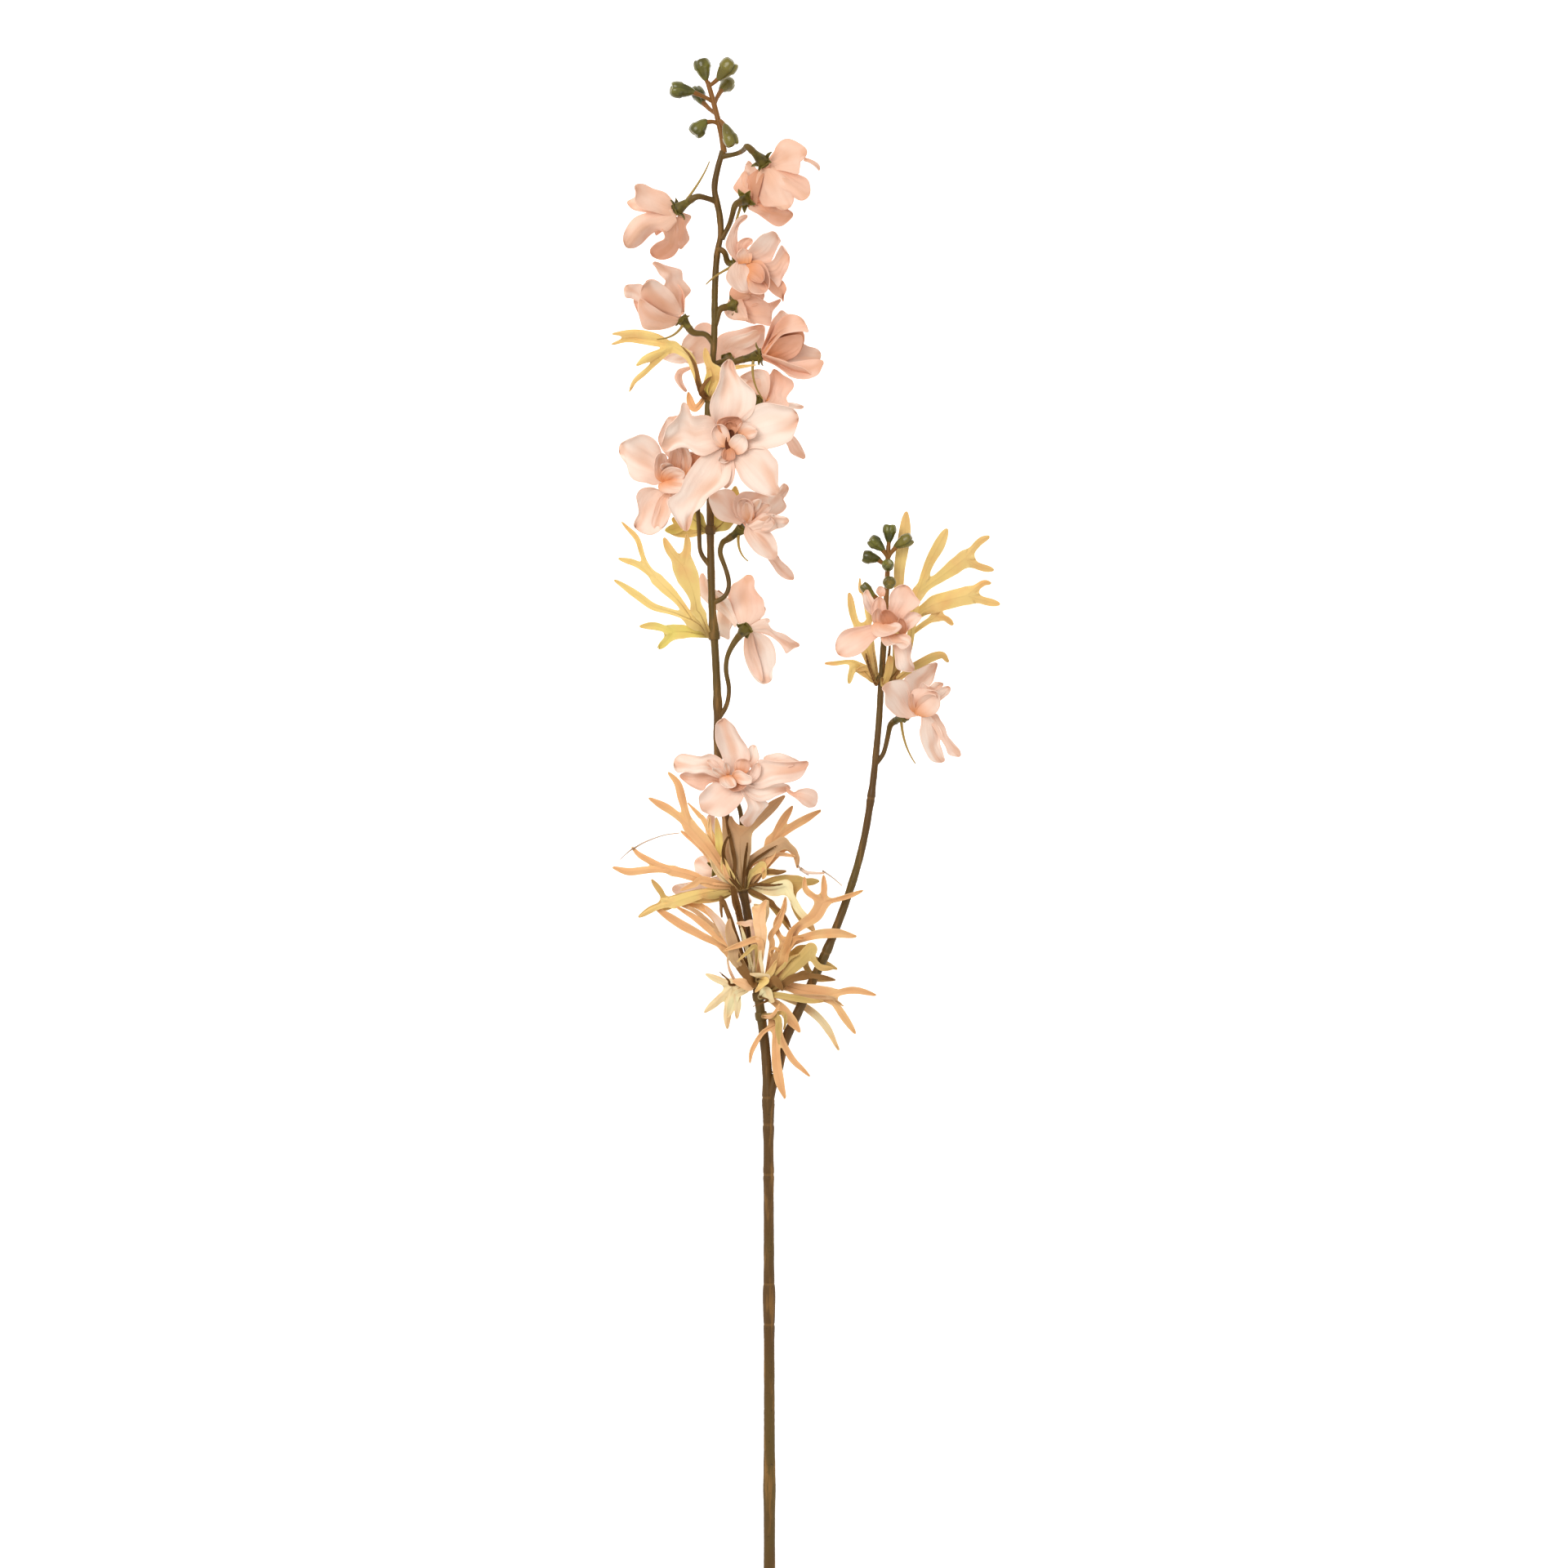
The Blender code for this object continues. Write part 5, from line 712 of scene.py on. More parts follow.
            (16, 654.4, 34, 13.9, cut(1.9, (-0.8, 641.6), (0.4, 648), (4, 652), (10, 654),
                (16, 654.4), (18, 650.4), (16, 644), (11.2, 640), (6, 638.8), (0.8, 639.6)))],
        "heart": [
            (16.4, 651.6, 36, 11.8, cut(1.25, (-2.4, 642.4), (0.4, 647.2), (4.8, 650),
                (10.8, 651.6), (16.4, 651.6), (16.8, 646.4), (13.6, 641.6), (7.2, 639.2),
                (0.8, 639.6), cup=0.12)),
            (12.8, 635.2, 35, 4.2, cut(0.9, (0, 640.8), (4.8, 640.8), (10.4, 638.4), (12.8, 635.2),
                (8, 635.2), (3.2, 637.6)))]},
    "08": {
        "outer": [
            cut(0.5, (-27.2, 643.2), (-29.6, 639.2), (-36, 637.6), (-40.8, 639.2), (-42.4, 644),
                (-41.6, 648.8), (-39.2, 652), (-36.4, 654.4), (-34.4, 656.8), (-31.2, 658),
                (-28, 657.2), (-25.6, 654)),
            cut(0.0, (-36.8, 640.8), (-41.6, 638), (-48, 638.8), (-51.2, 640.8), (-47.2, 644),
                (-42.4, 645.6), (-36.8, 644)),
            cut(1.0, (-36, 636.8), (-40.8, 636), (-44, 634.8), (-45.6, 631.2), (-44, 627.6),
                (-40.8, 624.4), (-39.6, 624.8), (-41.6, 628.8), (-41.6, 632.8), (-37.6, 635.2)),
            cut(0.6, (-22.4, 637.2), (-25.2, 640), (-25.2, 647.2), (-24, 651.2), (-20, 653.2),
                (-14, 654.4), (-8.8, 656), (-4, 656.8), (-1.6, 656), (-1.6, 651.2), (-2.4, 646),
                (-5.6, 642.8), (-11.2, 641.6), (-16.8, 639.2)),
            cut(0.5, (-20, 644), (-24, 641.6), (-25.2, 636.8), (-22.4, 635.6), (-18, 639.6),
                (-16, 641.6))],
        "layer": [
            (-5.6, 654.4, 20, 10.3, cut(0.2, (-24, 641.6), (-22.4, 648), (-17.6, 651.2),
                (-11.2, 652.8), (-5.6, 654.4), (-4, 651.2), (-7.2, 647.2), (-14, 644),
                (-20, 640)))]},
    "09": {
        "outer": [
            cut(0.15, (-24, 606.4), (-27.2, 610.8), (-28.4, 616), (-27.6, 620.8), (-25.6, 624.8),
                (-23.6, 629.6), (-23.2, 634), (-22.4, 637.2), (-20.4, 639.2), (-18.4, 640),
                (-16.4, 637.6), (-15.2, 633.2), (-12.8, 630.4), (-9.6, 627.2), (-6.4, 624),
                (-5.6, 620), (-7.2, 614), (-10.4, 610.4), (-14, 607.6), (-16.4, 605.6), fold=0.02),
            cut(0.0, (-16.8, 604), (-14.4, 609.6), (-9.6, 614.4), (-5.6, 617.6), (-1.2, 618.8),
                (4, 618), (10, 616.8), (13.2, 615.2), (15.2, 611.2), (14.4, 607.6), (13.2, 604.4),
                (11.6, 600.8), (8, 598.4), (3.2, 596.8), (-1.6, 596), (-7.2, 596.4), (-12, 595.2),
                (-15.6, 597.6)),
            cut(0.1, (-13.6, 597.6), (-6.4, 598), (-0.8, 596.4), (2.4, 592.8), (4.8, 589.6),
                (5.2, 584), (4.8, 579.2), (6, 576), (4.4, 573.6), (0.8, 573.2), (-4, 574.4),
                (-8.8, 576.8), (-12.8, 580.8), (-15.6, 586.4), (-19.2, 592.8)),
            cut(0.45, (-18.8, 594.4), (-17.6, 587.2), (-19.2, 580), (-24, 576), (-28.8, 572.8),
                (-32, 568), (-36, 564.8), (-37.6, 559.6), (-39.6, 555.6), (-42.4, 557.6),
                (-45.6, 562.4), (-48.8, 568.4), (-48.4, 571.6), (-43.2, 575.6), (-40.8, 581.6),
                (-37.6, 586.8), (-33.2, 592), (-28, 595.2), (-22.8, 597.6), soft=0.05),
            cut(0.15, (-22.4, 607.2), (-27.2, 611.6), (-32, 612.8), (-36.8, 612.4), (-38.8, 616.8),
                (-40.8, 619.2), (-42.4, 617.6), (-42.8, 614.4), (-46, 610), (-49.2, 607.2),
                (-50.8, 602), (-52, 596.8), (-48.8, 594.8), (-43.2, 596.8), (-38.8, 596.4),
                (-35.2, 593.6), (-30.8, 592.8), (-26, 594.8), (-21.2, 597.6))],
        "layer": [
            (-20.8, 576.8, 52, 7.2, cut(1.1, (-18.8, 596.8), (-17.2, 592), (-16, 586),
                (-17.2, 580), (-20.8, 576.8), (-22.4, 582), (-23.2, 590), (-22.4, 596)))],
        "heart": [
            (-14.4, 611.6, 55.5, 11.2, cut(1.55, (-20.8, 602.4), (-24, 605.6), (-24.8, 609.2),
                (-22.4, 611.2), (-18.4, 612), (-14.4, 611.6), (-12.4, 609.2), (-14, 606),
                (-16.8, 602.4))),
            (-25.6, 607.6, 55.5, 8.9, cut(0.9, (-20.4, 596.8), (-24, 597.2), (-26.8, 600.4),
                (-27.6, 604), (-25.6, 607.6), (-22.4, 608), (-19.6, 605.6), (-18.4, 602),
                (-18.4, 598.8))),
            (-11.6, 602.4, 57.5, 9.2, cut(0.0, (-17.6, 596.4), (-19.2, 598.8), (-17.6, 601.6),
                (-14.8, 603.2), (-11.6, 602.4), (-10, 599.6), (-10, 596.4), (-12, 594),
                (-14.8, 593.2), (-16.8, 594.4), cup=0.1)),
            (-5.2, 604.8, 56, 8.9, cut(0.9, (-14, 602.4), (-14.8, 606), (-13.2, 608.8),
                (-10.4, 608.8), (-7.2, 607.6), (-5.2, 604.8), (-6.4, 602), (-9.2, 600.8),
                (-12, 601.2))),
            (-19.6, 590.4, 54, 6.2, cut(1.8, (-20.4, 596.8), (-22, 594.4), (-22, 591.6),
                (-19.6, 590.4), (-16, 591.6), (-16.4, 595.2), (-18, 596.8))),
            (-24, 590.4, 54.5, 4.5, cut(0.0, (-20.8, 593.6), (-23.6, 592.4), (-24, 590.4),
                (-21.6, 589.2), (-18.8, 590), (-18.8, 592))),
            (-19.2, 605.2, 53.5, 4.4, cut(2.6, (-20, 594.8), (-20.8, 598.4), (-20, 602.4),
                (-19.2, 605.2), (-16.8, 604.8), (-16.8, 600), (-17.2, 595.2))),
            (-20.4, 608.8, 55, 5.7, cut(1.9, (-18.8, 603.2), (-21.2, 606), (-20.4, 608.8),
                (-17.2, 609.2), (-15.2, 606.8), (-16.4, 603.6)))]},
    "10": {
        "outer": [
            cut(0.1, (-51.2, 590.4), (-52.4, 596), (-54.8, 600), (-58, 602.4), (-62, 603.2),
                (-65.6, 602), (-70, 600), (-72.4, 598), (-72.8, 594.4), (-71.2, 591.2),
                (-68.8, 588), (-68, 584), (-66, 581.2), (-63.2, 580), (-60, 579.6), (-56, 578.4),
                (-52.8, 579.2), (-49.6, 583.2)),
            cut(0.5, (-52, 575.2), (-56, 577.2), (-60, 577.2), (-62.8, 576), (-64.4, 572.8),
                (-63.6, 568.8), (-63.2, 564.8), (-64.8, 561.6), (-65.6, 558.4), (-63.2, 556),
                (-60, 554.4), (-56.8, 554), (-52.8, 556), (-49.6, 559.2), (-48, 563.2),
                (-47.2, 566.4), (-48.8, 570), (-47.6, 573.6), (-46.4, 576.8)),
            cut(0.5, point=0.1, wide=0.8),
            cut(0.5, point=0.2),
            cut(0.5, point=0.1)],
        "layer": [
            (-53.6, 556.8, 39, 8.1, cut(1.1, (-50.4, 574.4), (-53.6, 571.2), (-56, 564.8),
                (-56.8, 559.2), (-53.6, 556.8), (-49.6, 560), (-47.2, 566), (-48.4, 571.2),
                (-46.4, 575.2)))],
        "heart": [
            (-52.8, 594, 52, 7.6, cut(0.9, (-51.2, 579.2), (-54.8, 582), (-55.6, 587.2),
                (-54.8, 592), (-52.8, 594), (-50, 593.2), (-48.8, 589.6), (-48.4, 584))),
            (-44.4, 595.6, 53, 6.3, cut(1.2, (-46.4, 582.4), (-48.8, 587.2), (-48.4, 592.8),
                (-47.2, 595.2), (-44.4, 595.6), (-42.4, 593.6), (-42.4, 588.8), (-43.6, 584))),
            (-41.6, 598, 53, 7.4, cut(0.7, (-42.4, 581.6), (-41.6, 586.4), (-43.2, 592),
                (-44.8, 596.8), (-41.6, 598), (-38.8, 595.6), (-37.2, 591.2), (-38, 586.4),
                (-39.6, 582.4))),
            (-40.8, 584.4, 55, 8.1, cut(0.2, (-52.8, 580.8), (-52, 584.8), (-48.8, 587.2),
                (-44, 586.8), (-40.8, 584.4), (-41.6, 581.6), (-46.4, 580))),
            (-39.6, 578, 56, 9.4, cut(0.5, (-51.2, 580), (-53.6, 578.4), (-52.8, 575.6),
                (-48, 574.4), (-42.4, 575.2), (-39.6, 578), (-40.8, 581.2), (-45.6, 582.4))),
            (-36, 594, 50, 4.2, cut(1.9, (-37.6, 587.2), (-37.6, 592), (-36, 594), (-33.2, 592.8),
                (-34.4, 588.8), (-36.4, 586.4))),
            (-51.6, 588.8, 54, 5.9, cut(0.0, (-50.4, 584), (-52.4, 586.8), (-51.6, 588.8),
                (-48, 589.2), (-45.6, 586.8), (-47.2, 583.6)))]},
    "11": {
        "outer": [
            cut(0.6, (-4.8, 619.2), (-8, 624), (-11.2, 628.8), (-14, 630.8), (-10, 633.6),
                (-4.8, 635.2), (0, 634), (1.2, 630), (0.8, 624.8), (-0.8, 620)),
            cut(0.9, (-1.6, 618.4), (-1.6, 624), (0, 630), (1.6, 633.2), (3.2, 635.2), (6, 633.6),
                (8.8, 631.2), (12, 629.6), (12.8, 626.4), (10.4, 623.2), (9.2, 620.8),
                (10.4, 617.2), (7.2, 616), (2, 616.4)),
            cut(0.0, (6, 618.8), (11.2, 618.8), (15.2, 618), (17.6, 616.8), (16, 615.6), (12, 616),
                (6.8, 616)),
            cut(0.8, (0, 616), (6, 610), (11.2, 604), (14, 601.2), (16.4, 597.6), (18.4, 593.2),
                (18, 591.2), (14.4, 592.4), (11.2, 594.4), (9.6, 598), (6, 604), (-0.8, 612)),
            cut(0.5)],
        "layer": [
            (-10.4, 628.8, 24, 9.2, cut(1.2, (-6, 620), (-8.8, 625.6), (-10.4, 628.8),
                (-6.4, 630.4), (-1.6, 629.6), (0, 624.8), (-1.6, 619.2)))]},
    "12": {
        "outer": [
            cut(0.2, (-13.6, 558.8), (-18, 560), (-22, 560.8), (-25.6, 563.2), (-27.6, 567.2),
                (-28.8, 571.2), (-27.6, 574.4), (-24, 575.6), (-20, 576.4), (-16.8, 575.2),
                (-14.4, 571.2), (-12.8, 566), (-10.8, 561.2)),
            cut(0.5, (-14, 559.6), (-16.8, 566), (-16.8, 570.4), (-14.4, 573.6), (-11.2, 575.2),
                (-6, 574.8), (-0.8, 573.6), (0.4, 570), (-0.8, 566), (-4.8, 562), (-8.8, 559.2)),
            cut(0.2, (-7.2, 561.6), (-4, 568.8), (0.8, 573.6), (4.8, 576), (8, 579.2),
                (10.4, 576.8), (9.2, 573.6), (7.6, 571.2), (9.2, 568), (7.2, 565.2), (3.2, 563.2),
                (-3.2, 559.2)),
            cut(0.0, (-9.6, 558.4), (-4.8, 561.6), (0, 564.4), (4.8, 563.6), (8.8, 562.8),
                (10.4, 560.8), (8, 558), (4, 556.8), (0, 555.2), (-5.6, 554.8)),
            cut(-0.2, (-10.8, 558.8), (-11.6, 554.4), (-9.6, 550), (-6, 545.6), (-2, 543.2),
                (2, 542), (4.4, 543.2), (4.8, 547.2), (4, 551.2), (1.2, 555.2), (-4, 558),
                (-8, 560)),
            cut(0.5, (0, 547.2), (4.8, 544), (6.4, 541.6), (10.4, 538), (12.4, 535.2),
                (12.8, 532.4), (10.8, 532), (8, 532.8), (4.8, 535.2), (2.4, 538.8), (-0.8, 543.2))],
        "layer": [
            (-14, 570.8, 42, 8.7, cut(0.7, (-9.6, 560), (-14, 563.2), (-15.2, 567.2), (-14, 570.8),
                (-10.4, 571.6), (-7.2, 569.2), (-7.2, 564), (-8, 560))),
            (-0.8, 569.6, 42, 6.5, cut(0.95, (-8, 560.8), (-7.2, 565.6), (-4.8, 569.2),
                (-0.8, 569.6), (1.6, 567.2), (-0.8, 564), (-4.8, 561.2))),
            (3.2, 559.2, 40, 7.4, cut(0.6, (-8.8, 560), (-4, 563.2), (1.6, 562.4), (3.2, 559.2),
                (-0.8, 556), (-6.4, 556.8)))],
        "heart": [
            (-11.2, 569.6, 43, 5.9, cut(1.1, (-8.8, 560), (-12, 562.4), (-12.8, 566.4),
                (-11.2, 569.6), (-8, 568.8), (-6.4, 564), (-7.2, 560.8))),
            (1.2, 563.2, 43, 5, cut(1.0, (-8, 559.2), (-5.6, 562.4), (-1.6, 564.8), (1.2, 563.2),
                (0, 560), (-4.8, 558.4))),
            (-3.2, 571.2, 44, 5.6, cut(0.3, (-10.4, 560), (-11.2, 564.8), (-9.6, 568.8),
                (-6.4, 571.2), (-3.2, 571.2), (-4, 567.2), (-7.2, 563.2)))]},
    "13": {
        "outer": [
            cut(0.95, (-13.6, 509.6), (-16.8, 515.2), (-18.8, 520), (-19.2, 524.8), (-17.2, 529.6),
                (-15.2, 530.8), (-12.4, 532.8), (-10, 534.4), (-7.6, 534), (-6.4, 531.6),
                (-6.4, 528), (-4.4, 524.8), (-2, 522), (-1.6, 518), (-1.6, 515.2), (-4, 512.8),
                (-8, 510.4)),
            cut(0.4, (-16, 508.8), (-20.8, 514.4), (-27.2, 518.8), (-30.4, 521.6), (-33.2, 524.8),
                (-34, 528.8), (-33.2, 533.6), (-32, 535.6), (-29.6, 532), (-26.8, 528),
                (-22, 524.8), (-18.8, 522), (-16.8, 516.8), (-14.4, 511.2)),
            cut(0.0, (-14, 508.8), (-16.8, 510.4), (-18.8, 506.4), (-18.8, 502.8), (-22, 504),
                (-24.8, 505.2), (-25.6, 508.8), (-24.8, 514), (-24, 518), (-21.6, 520),
                (-18.8, 516.8), (-15.2, 512)),
            cut(0.5, (-8.8, 510), (-4, 512.4), (-1.2, 512.8), (1.2, 508.8), (4, 506.8), (8, 505.6),
                (12, 502.8), (16, 500), (12.8, 498.4), (9.2, 496), (8, 497.6), (6, 500.8),
                (2, 504), (-2, 505.6), (-7.2, 506.8)),
            cut(-0.3, (-10.4, 507.2), (-11.6, 502), (-11.6, 496), (-10, 490), (-7.2, 484.8),
                (-4, 481.6), (-0.8, 481.2), (2, 483.2), (2.4, 488), (4, 492), (3.6, 498),
                (1.2, 502.8), (-2, 505.2), (-6.4, 506.8))],
        "layer": [
            (-2.4, 482.4, 17, 6, cut(0.8, (-10.4, 507.2), (-11.2, 501.6), (-10.8, 495.2),
                (-8.4, 488.8), (-4.8, 483.6), (-2.4, 482.4), (-3.2, 490), (-5.6, 498),
                (-7.6, 506.4))),
            (-24.8, 527.2, 18, 3.8, cut(1.5, (-14.4, 509.6), (-16, 515.2), (-18, 520.8),
                (-21.2, 524.8), (-24.8, 527.2), (-21.6, 522.4), (-18.8, 516.8), (-16.8, 510.4)))]},
    "14": {
        "outer": [
            cut(0.0, (-19.2, 434.8), (-21.6, 443.2), (-23.2, 447.6), (-24.8, 451.2),
                (-25.6, 454.4), (-25.6, 458.8), (-25.2, 461.6), (-23.2, 463.2), (-21.2, 464.4),
                (-18.8, 462.4), (-16.4, 460.4), (-14.4, 456.8), (-12.4, 453.6), (-10.4, 450.8),
                (-8.8, 447.2), (-8.8, 443.6), (-12, 440), (-14.8, 434.8)),
            cut(0.2, (-17.6, 437.6), (-22.4, 444), (-28, 446.8), (-32.8, 445.6), (-38, 446.4),
                (-42, 446.8), (-44.8, 445.2), (-46, 442.8), (-46, 440), (-44, 437.6), (-40, 438),
                (-36, 437.2), (-31.2, 437.6), (-27.2, 436), (-18, 433.2)),
            cut(0.4, (-18.8, 433.6), (-22.8, 432.4), (-26, 432.8), (-28.8, 431.2), (-31.2, 428.8),
                (-33.6, 426), (-33.2, 422), (-32, 418.8), (-28.8, 417.6), (-24.8, 416),
                (-20.8, 416.4), (-17.6, 418.4), (-14, 422), (-12, 425.2), (-11.6, 428.8),
                (-14.4, 433.2)),
            cut(0.6, (-16.4, 436.4), (-9.6, 438.4), (-6, 440.8), (-4, 444), (0, 443.6), (6, 442.8),
                (12, 442.8), (20, 443.2), (19.2, 440), (17.6, 436.8), (15.2, 434.4), (10.4, 432.8),
                (4, 432), (-4, 429.6), (-14.4, 431.6)),
            cut(0.2, (-15.2, 433.6), (-6, 431.2), (0, 432.8), (6, 432.4), (9.2, 432), (11.2, 430),
                (8.8, 428), (4, 426), (0, 424), (-6, 424), (-13.6, 429.6)),
            cut(0.2, (-15.2, 432), (-10, 422.4), (-11.2, 417.6), (-13.6, 414.4), (-10.4, 411.2),
                (-7.6, 412.4), (-4.8, 416), (-1.6, 419.6), (0.4, 422.4), (-4, 425.6),
                (-11.2, 432))],
        "layer": [
            (-43.2, 436, 51, 10.8, cut(1.2, (-22.4, 432.8), (-26.8, 438.8), (-31.2, 439.6),
                (-36, 438), (-40.8, 437.6), (-43.2, 436), (-40.8, 433.2), (-36.8, 430.4),
                (-32, 428.8), (-29.6, 431.6), (-26.8, 432.8), (-23.2, 432))),
            (23.2, 421.2, 40, 9.2, cut(0.7, (8.8, 430.8), (12.8, 428), (15.2, 429.2), (19.2, 430),
                (22.8, 429.2), (24.4, 427.2), (24.4, 424), (23.2, 421.2), (20.4, 420.4),
                (17.6, 421.6), (14, 424.8), (9.6, 427.6))),
            (15.2, 442.4, 48, 8.9, cut(0.0, (-0.8, 439.2), (-2, 444.8), (2, 446.8), (6, 447.2),
                (10, 446), (14, 444), (15.2, 442.4), (8, 439.2))),
            (-6, 450.8, 49, 6.4, cut(0.0, (-12, 440.8), (-10.4, 446), (-8.8, 450.4), (-6, 450.8),
                (-4.8, 448), (-4.4, 444), (-8, 440))),
            (-3.6, 440.8, 53, 5.7, cut(0.8, (-13.6, 432.8), (-9.6, 436), (-8, 440), (-5.6, 442.4),
                (-3.6, 440.8), (-4, 436), (-7.2, 432.8), (-11.2, 431.2))),
            (-29.6, 443.2, 52, 3.6, cut(0.9, (-20.8, 436.8), (-24, 441.6), (-27.2, 444),
                (-29.6, 443.2), (-27.2, 439.6), (-23.2, 436)))],
        "heart": [
            (-18.4, 430, 57, 7.7, cut(-0.6, (-20.4, 436), (-23.2, 435.2), (-23.6, 433.2),
                (-21.6, 430.8), (-18.4, 430), (-15.6, 431.2), (-16, 434), (-18, 436.4))),
            (-8, 435.2, 57, 7.3, cut(0.2, (-17.6, 435.6), (-16.8, 438), (-14, 438.8),
                (-11.2, 437.2), (-8, 435.2), (-8.4, 432.4), (-12.4, 431.6), (-16.4, 433.2))),
            (-12.4, 444.4, 56, 7.6, cut(1.2, (-14.8, 436.4), (-16.4, 440), (-15.6, 443.2),
                (-12.4, 444.4), (-9.2, 443.2), (-8.8, 439.6), (-11.2, 436.4))),
            (-10.4, 431.6, 55.5, 4.2, cut(1.5, (-18.4, 432), (-19.2, 430), (-16.4, 428.4),
                (-12.8, 429.2), (-10.4, 431.6), (-14, 432.4))),
            (-21.2, 442, 57, 3, cut(-0.6, (-20, 436), (-21.6, 439.6), (-21.2, 442), (-19.2, 442),
                (-18.4, 439.2), (-18.8, 436.4))),
            (-27.2, 439.2, 56, 3.1, cut(-0.2, (-21.6, 434.4), (-25.2, 436.4), (-27.2, 439.2),
                (-24.8, 439.6), (-22, 438), (-20.4, 435.6)))],
        "throat": 3.8},
    "15": {
        "outer": [
            cut(-0.5, (-18, 391.2), (-24, 396), (-28.8, 400), (-30.4, 408), (-29.6, 416),
                (-26.4, 416.8), (-24.8, 410), (-22.4, 402), (-16.8, 394)),
            cut(-0.4, (-19.2, 388), (-26, 387.2), (-31.2, 385.6), (-35.2, 388.8), (-35.6, 394.4),
                (-31.2, 396.8), (-25.6, 393.6), (-19.2, 390.4)),
            cut(-0.6, (-19.2, 385.6), (-26, 381.6), (-35.2, 377.6), (-41.6, 376.8), (-46.4, 379.2),
                (-45.6, 382.4), (-38, 384), (-28, 386), (-20, 388)),
            cut(-0.2, (-14, 384.8), (-10.4, 381.6), (-9.2, 377.2), (-8, 374.4), (-10.4, 373.2),
                (-13.6, 376), (-16.4, 380.8), (-17.2, 385.2)),
            cut(0.1, (-14, 390), (-8, 392), (-3.2, 391.2), (0.8, 392.8), (0.4, 395.6), (-4, 396.8),
                (-8.8, 395.2), (-14.4, 392.8))]},
    "16": {
        "outer": [
            cut(0.7, (55.2, 508.8), (50.4, 510), (46, 509.2), (40.8, 508.4), (36.8, 506.8),
                (34, 503.2), (33.2, 498.8), (34.8, 495.2), (39.2, 494), (44, 495.2), (48, 498),
                (51.2, 501.6), (54, 504), (56.8, 505.6)),
            cut(0.2, (54.4, 510.4), (50.4, 515.2), (48, 517.6), (46.8, 520.8), (46.8, 524.8),
                (48.8, 527.2), (50.8, 524), (52.8, 521.2), (55.6, 518.4), (57.6, 513.2)),
            cut(0.9, (60, 511.2), (59.2, 516), (59.6, 520.8), (60, 524.8), (62.4, 528),
                (65.6, 529.6), (68.8, 528.8), (71.2, 526), (72.8, 523.2), (74.8, 520.8), (72, 518),
                (68.8, 516), (66, 512.8), (63.2, 510.8)),
            cut(0.8, (64, 508.8), (66, 513.2), (68.8, 516), (72.4, 516), (75.2, 514.4),
                (74.4, 512), (71.6, 509.2), (67.2, 506.4)),
            cut(0.1, (62.4, 505.6), (66.8, 505.2), (70, 502), (70.4, 498), (70, 494), (71.6, 490),
                (71.2, 487.2), (67.2, 487.2), (63.2, 488.8), (62.4, 494), (61.6, 500))],
        "layer": [
            (54, 528.4, 50, 4.4, cut(0.9, (54.8, 523.6), (53.2, 526), (54, 528.4), (56, 528.8),
                (57.6, 526.8), (57.2, 524))),
            (55.2, 523.6, 52, 7.4, cut(1.0, (55.2, 509.6), (52, 513.2), (50.8, 516.8), (52, 521.6),
                (55.2, 523.6), (57.6, 520.8), (58.4, 515.2), (58.4, 510.4)))],
        "heart": [
            (57.2, 517.2, 55, 8.5, cut(1.7, (57.6, 508.8), (55.2, 512), (55.2, 515.2),
                (57.2, 517.2), (60, 516.8), (62.8, 514.4), (64.4, 510.8), (61.6, 508.8))),
            (53.6, 518, 56, 5, cut(0.7, (54.4, 508.4), (51.6, 511.2), (51.2, 515.2), (53.6, 518),
                (55.6, 516.8), (56, 512), (56.4, 508.8))),
            (65.6, 509.2, 56.5, 7.6, cut(0.2, (56, 509.6), (52.8, 511.2), (50.8, 509.2),
                (51.2, 506), (54.4, 504), (59.2, 504.8), (63.2, 506.4), (65.6, 509.2),
                (62.8, 511.2), (59.6, 509.6), ruffle=0.12)),
            (69.2, 500, 56, 10.3, cut(-0.1, (60.8, 505.2), (57.2, 505.6), (55.6, 502.8),
                (58, 499.6), (62, 500.8), (65.6, 498), (69.2, 500), (70, 503.6), (67.2, 505.6),
                (64, 504.8), ruffle=0.12)),
            (64.8, 513.2, 55, 4.9, cut(1.8, (64.8, 504.8), (63.2, 509.6), (64.8, 513.2),
                (67.2, 511.6), (68.4, 508), (67.2, 504.8)))]},
    "17": {
        "outer": [
            cut(-0.2, (69.2, 464.4), (64, 464.8), (60, 468), (57.6, 471.2), (57.6, 476),
                (56, 478.8), (58, 481.2), (60.8, 482.4), (64.8, 483.2), (68, 482.4), (69.6, 479.2),
                (70, 474.4), (72, 469.6), (73.6, 465.2)),
            cut(0.0, (70.4, 467.2), (68.8, 475.2), (67.6, 480.8), (67.2, 484), (72, 487.2),
                (77.2, 490), (82.4, 491.6), (83.2, 490.8), (82, 486), (80.8, 482), (78.4, 478.8),
                (76, 475.2), (73.6, 468.8)),
            cut(0.1, (79.2, 471.2), (80.8, 475.6), (82.8, 477.6), (85.2, 479.2), (88, 480),
                (89.6, 478.8), (88.8, 476.4), (86, 474), (82.4, 471.2)),
            cut(0.8, (79.2, 465.6), (82.8, 466.4), (84.8, 463.2), (86.8, 460), (88, 456),
                (91.2, 452), (94, 448.8), (94.4, 445.6), (91.2, 445.6), (88.4, 446.8), (87.2, 450),
                (84.8, 454), (82.4, 458), (79.6, 462.4)),
            cut(-0.3, (75.2, 466.4), (75.2, 461.6), (74.4, 457.6), (75.2, 452.8), (77.2, 448),
                (80, 443.6), (84, 442.4), (86.8, 443.6), (85.6, 448), (84.4, 452.8), (85.6, 456),
                (84, 460), (80, 464.8))],
        "layer": [
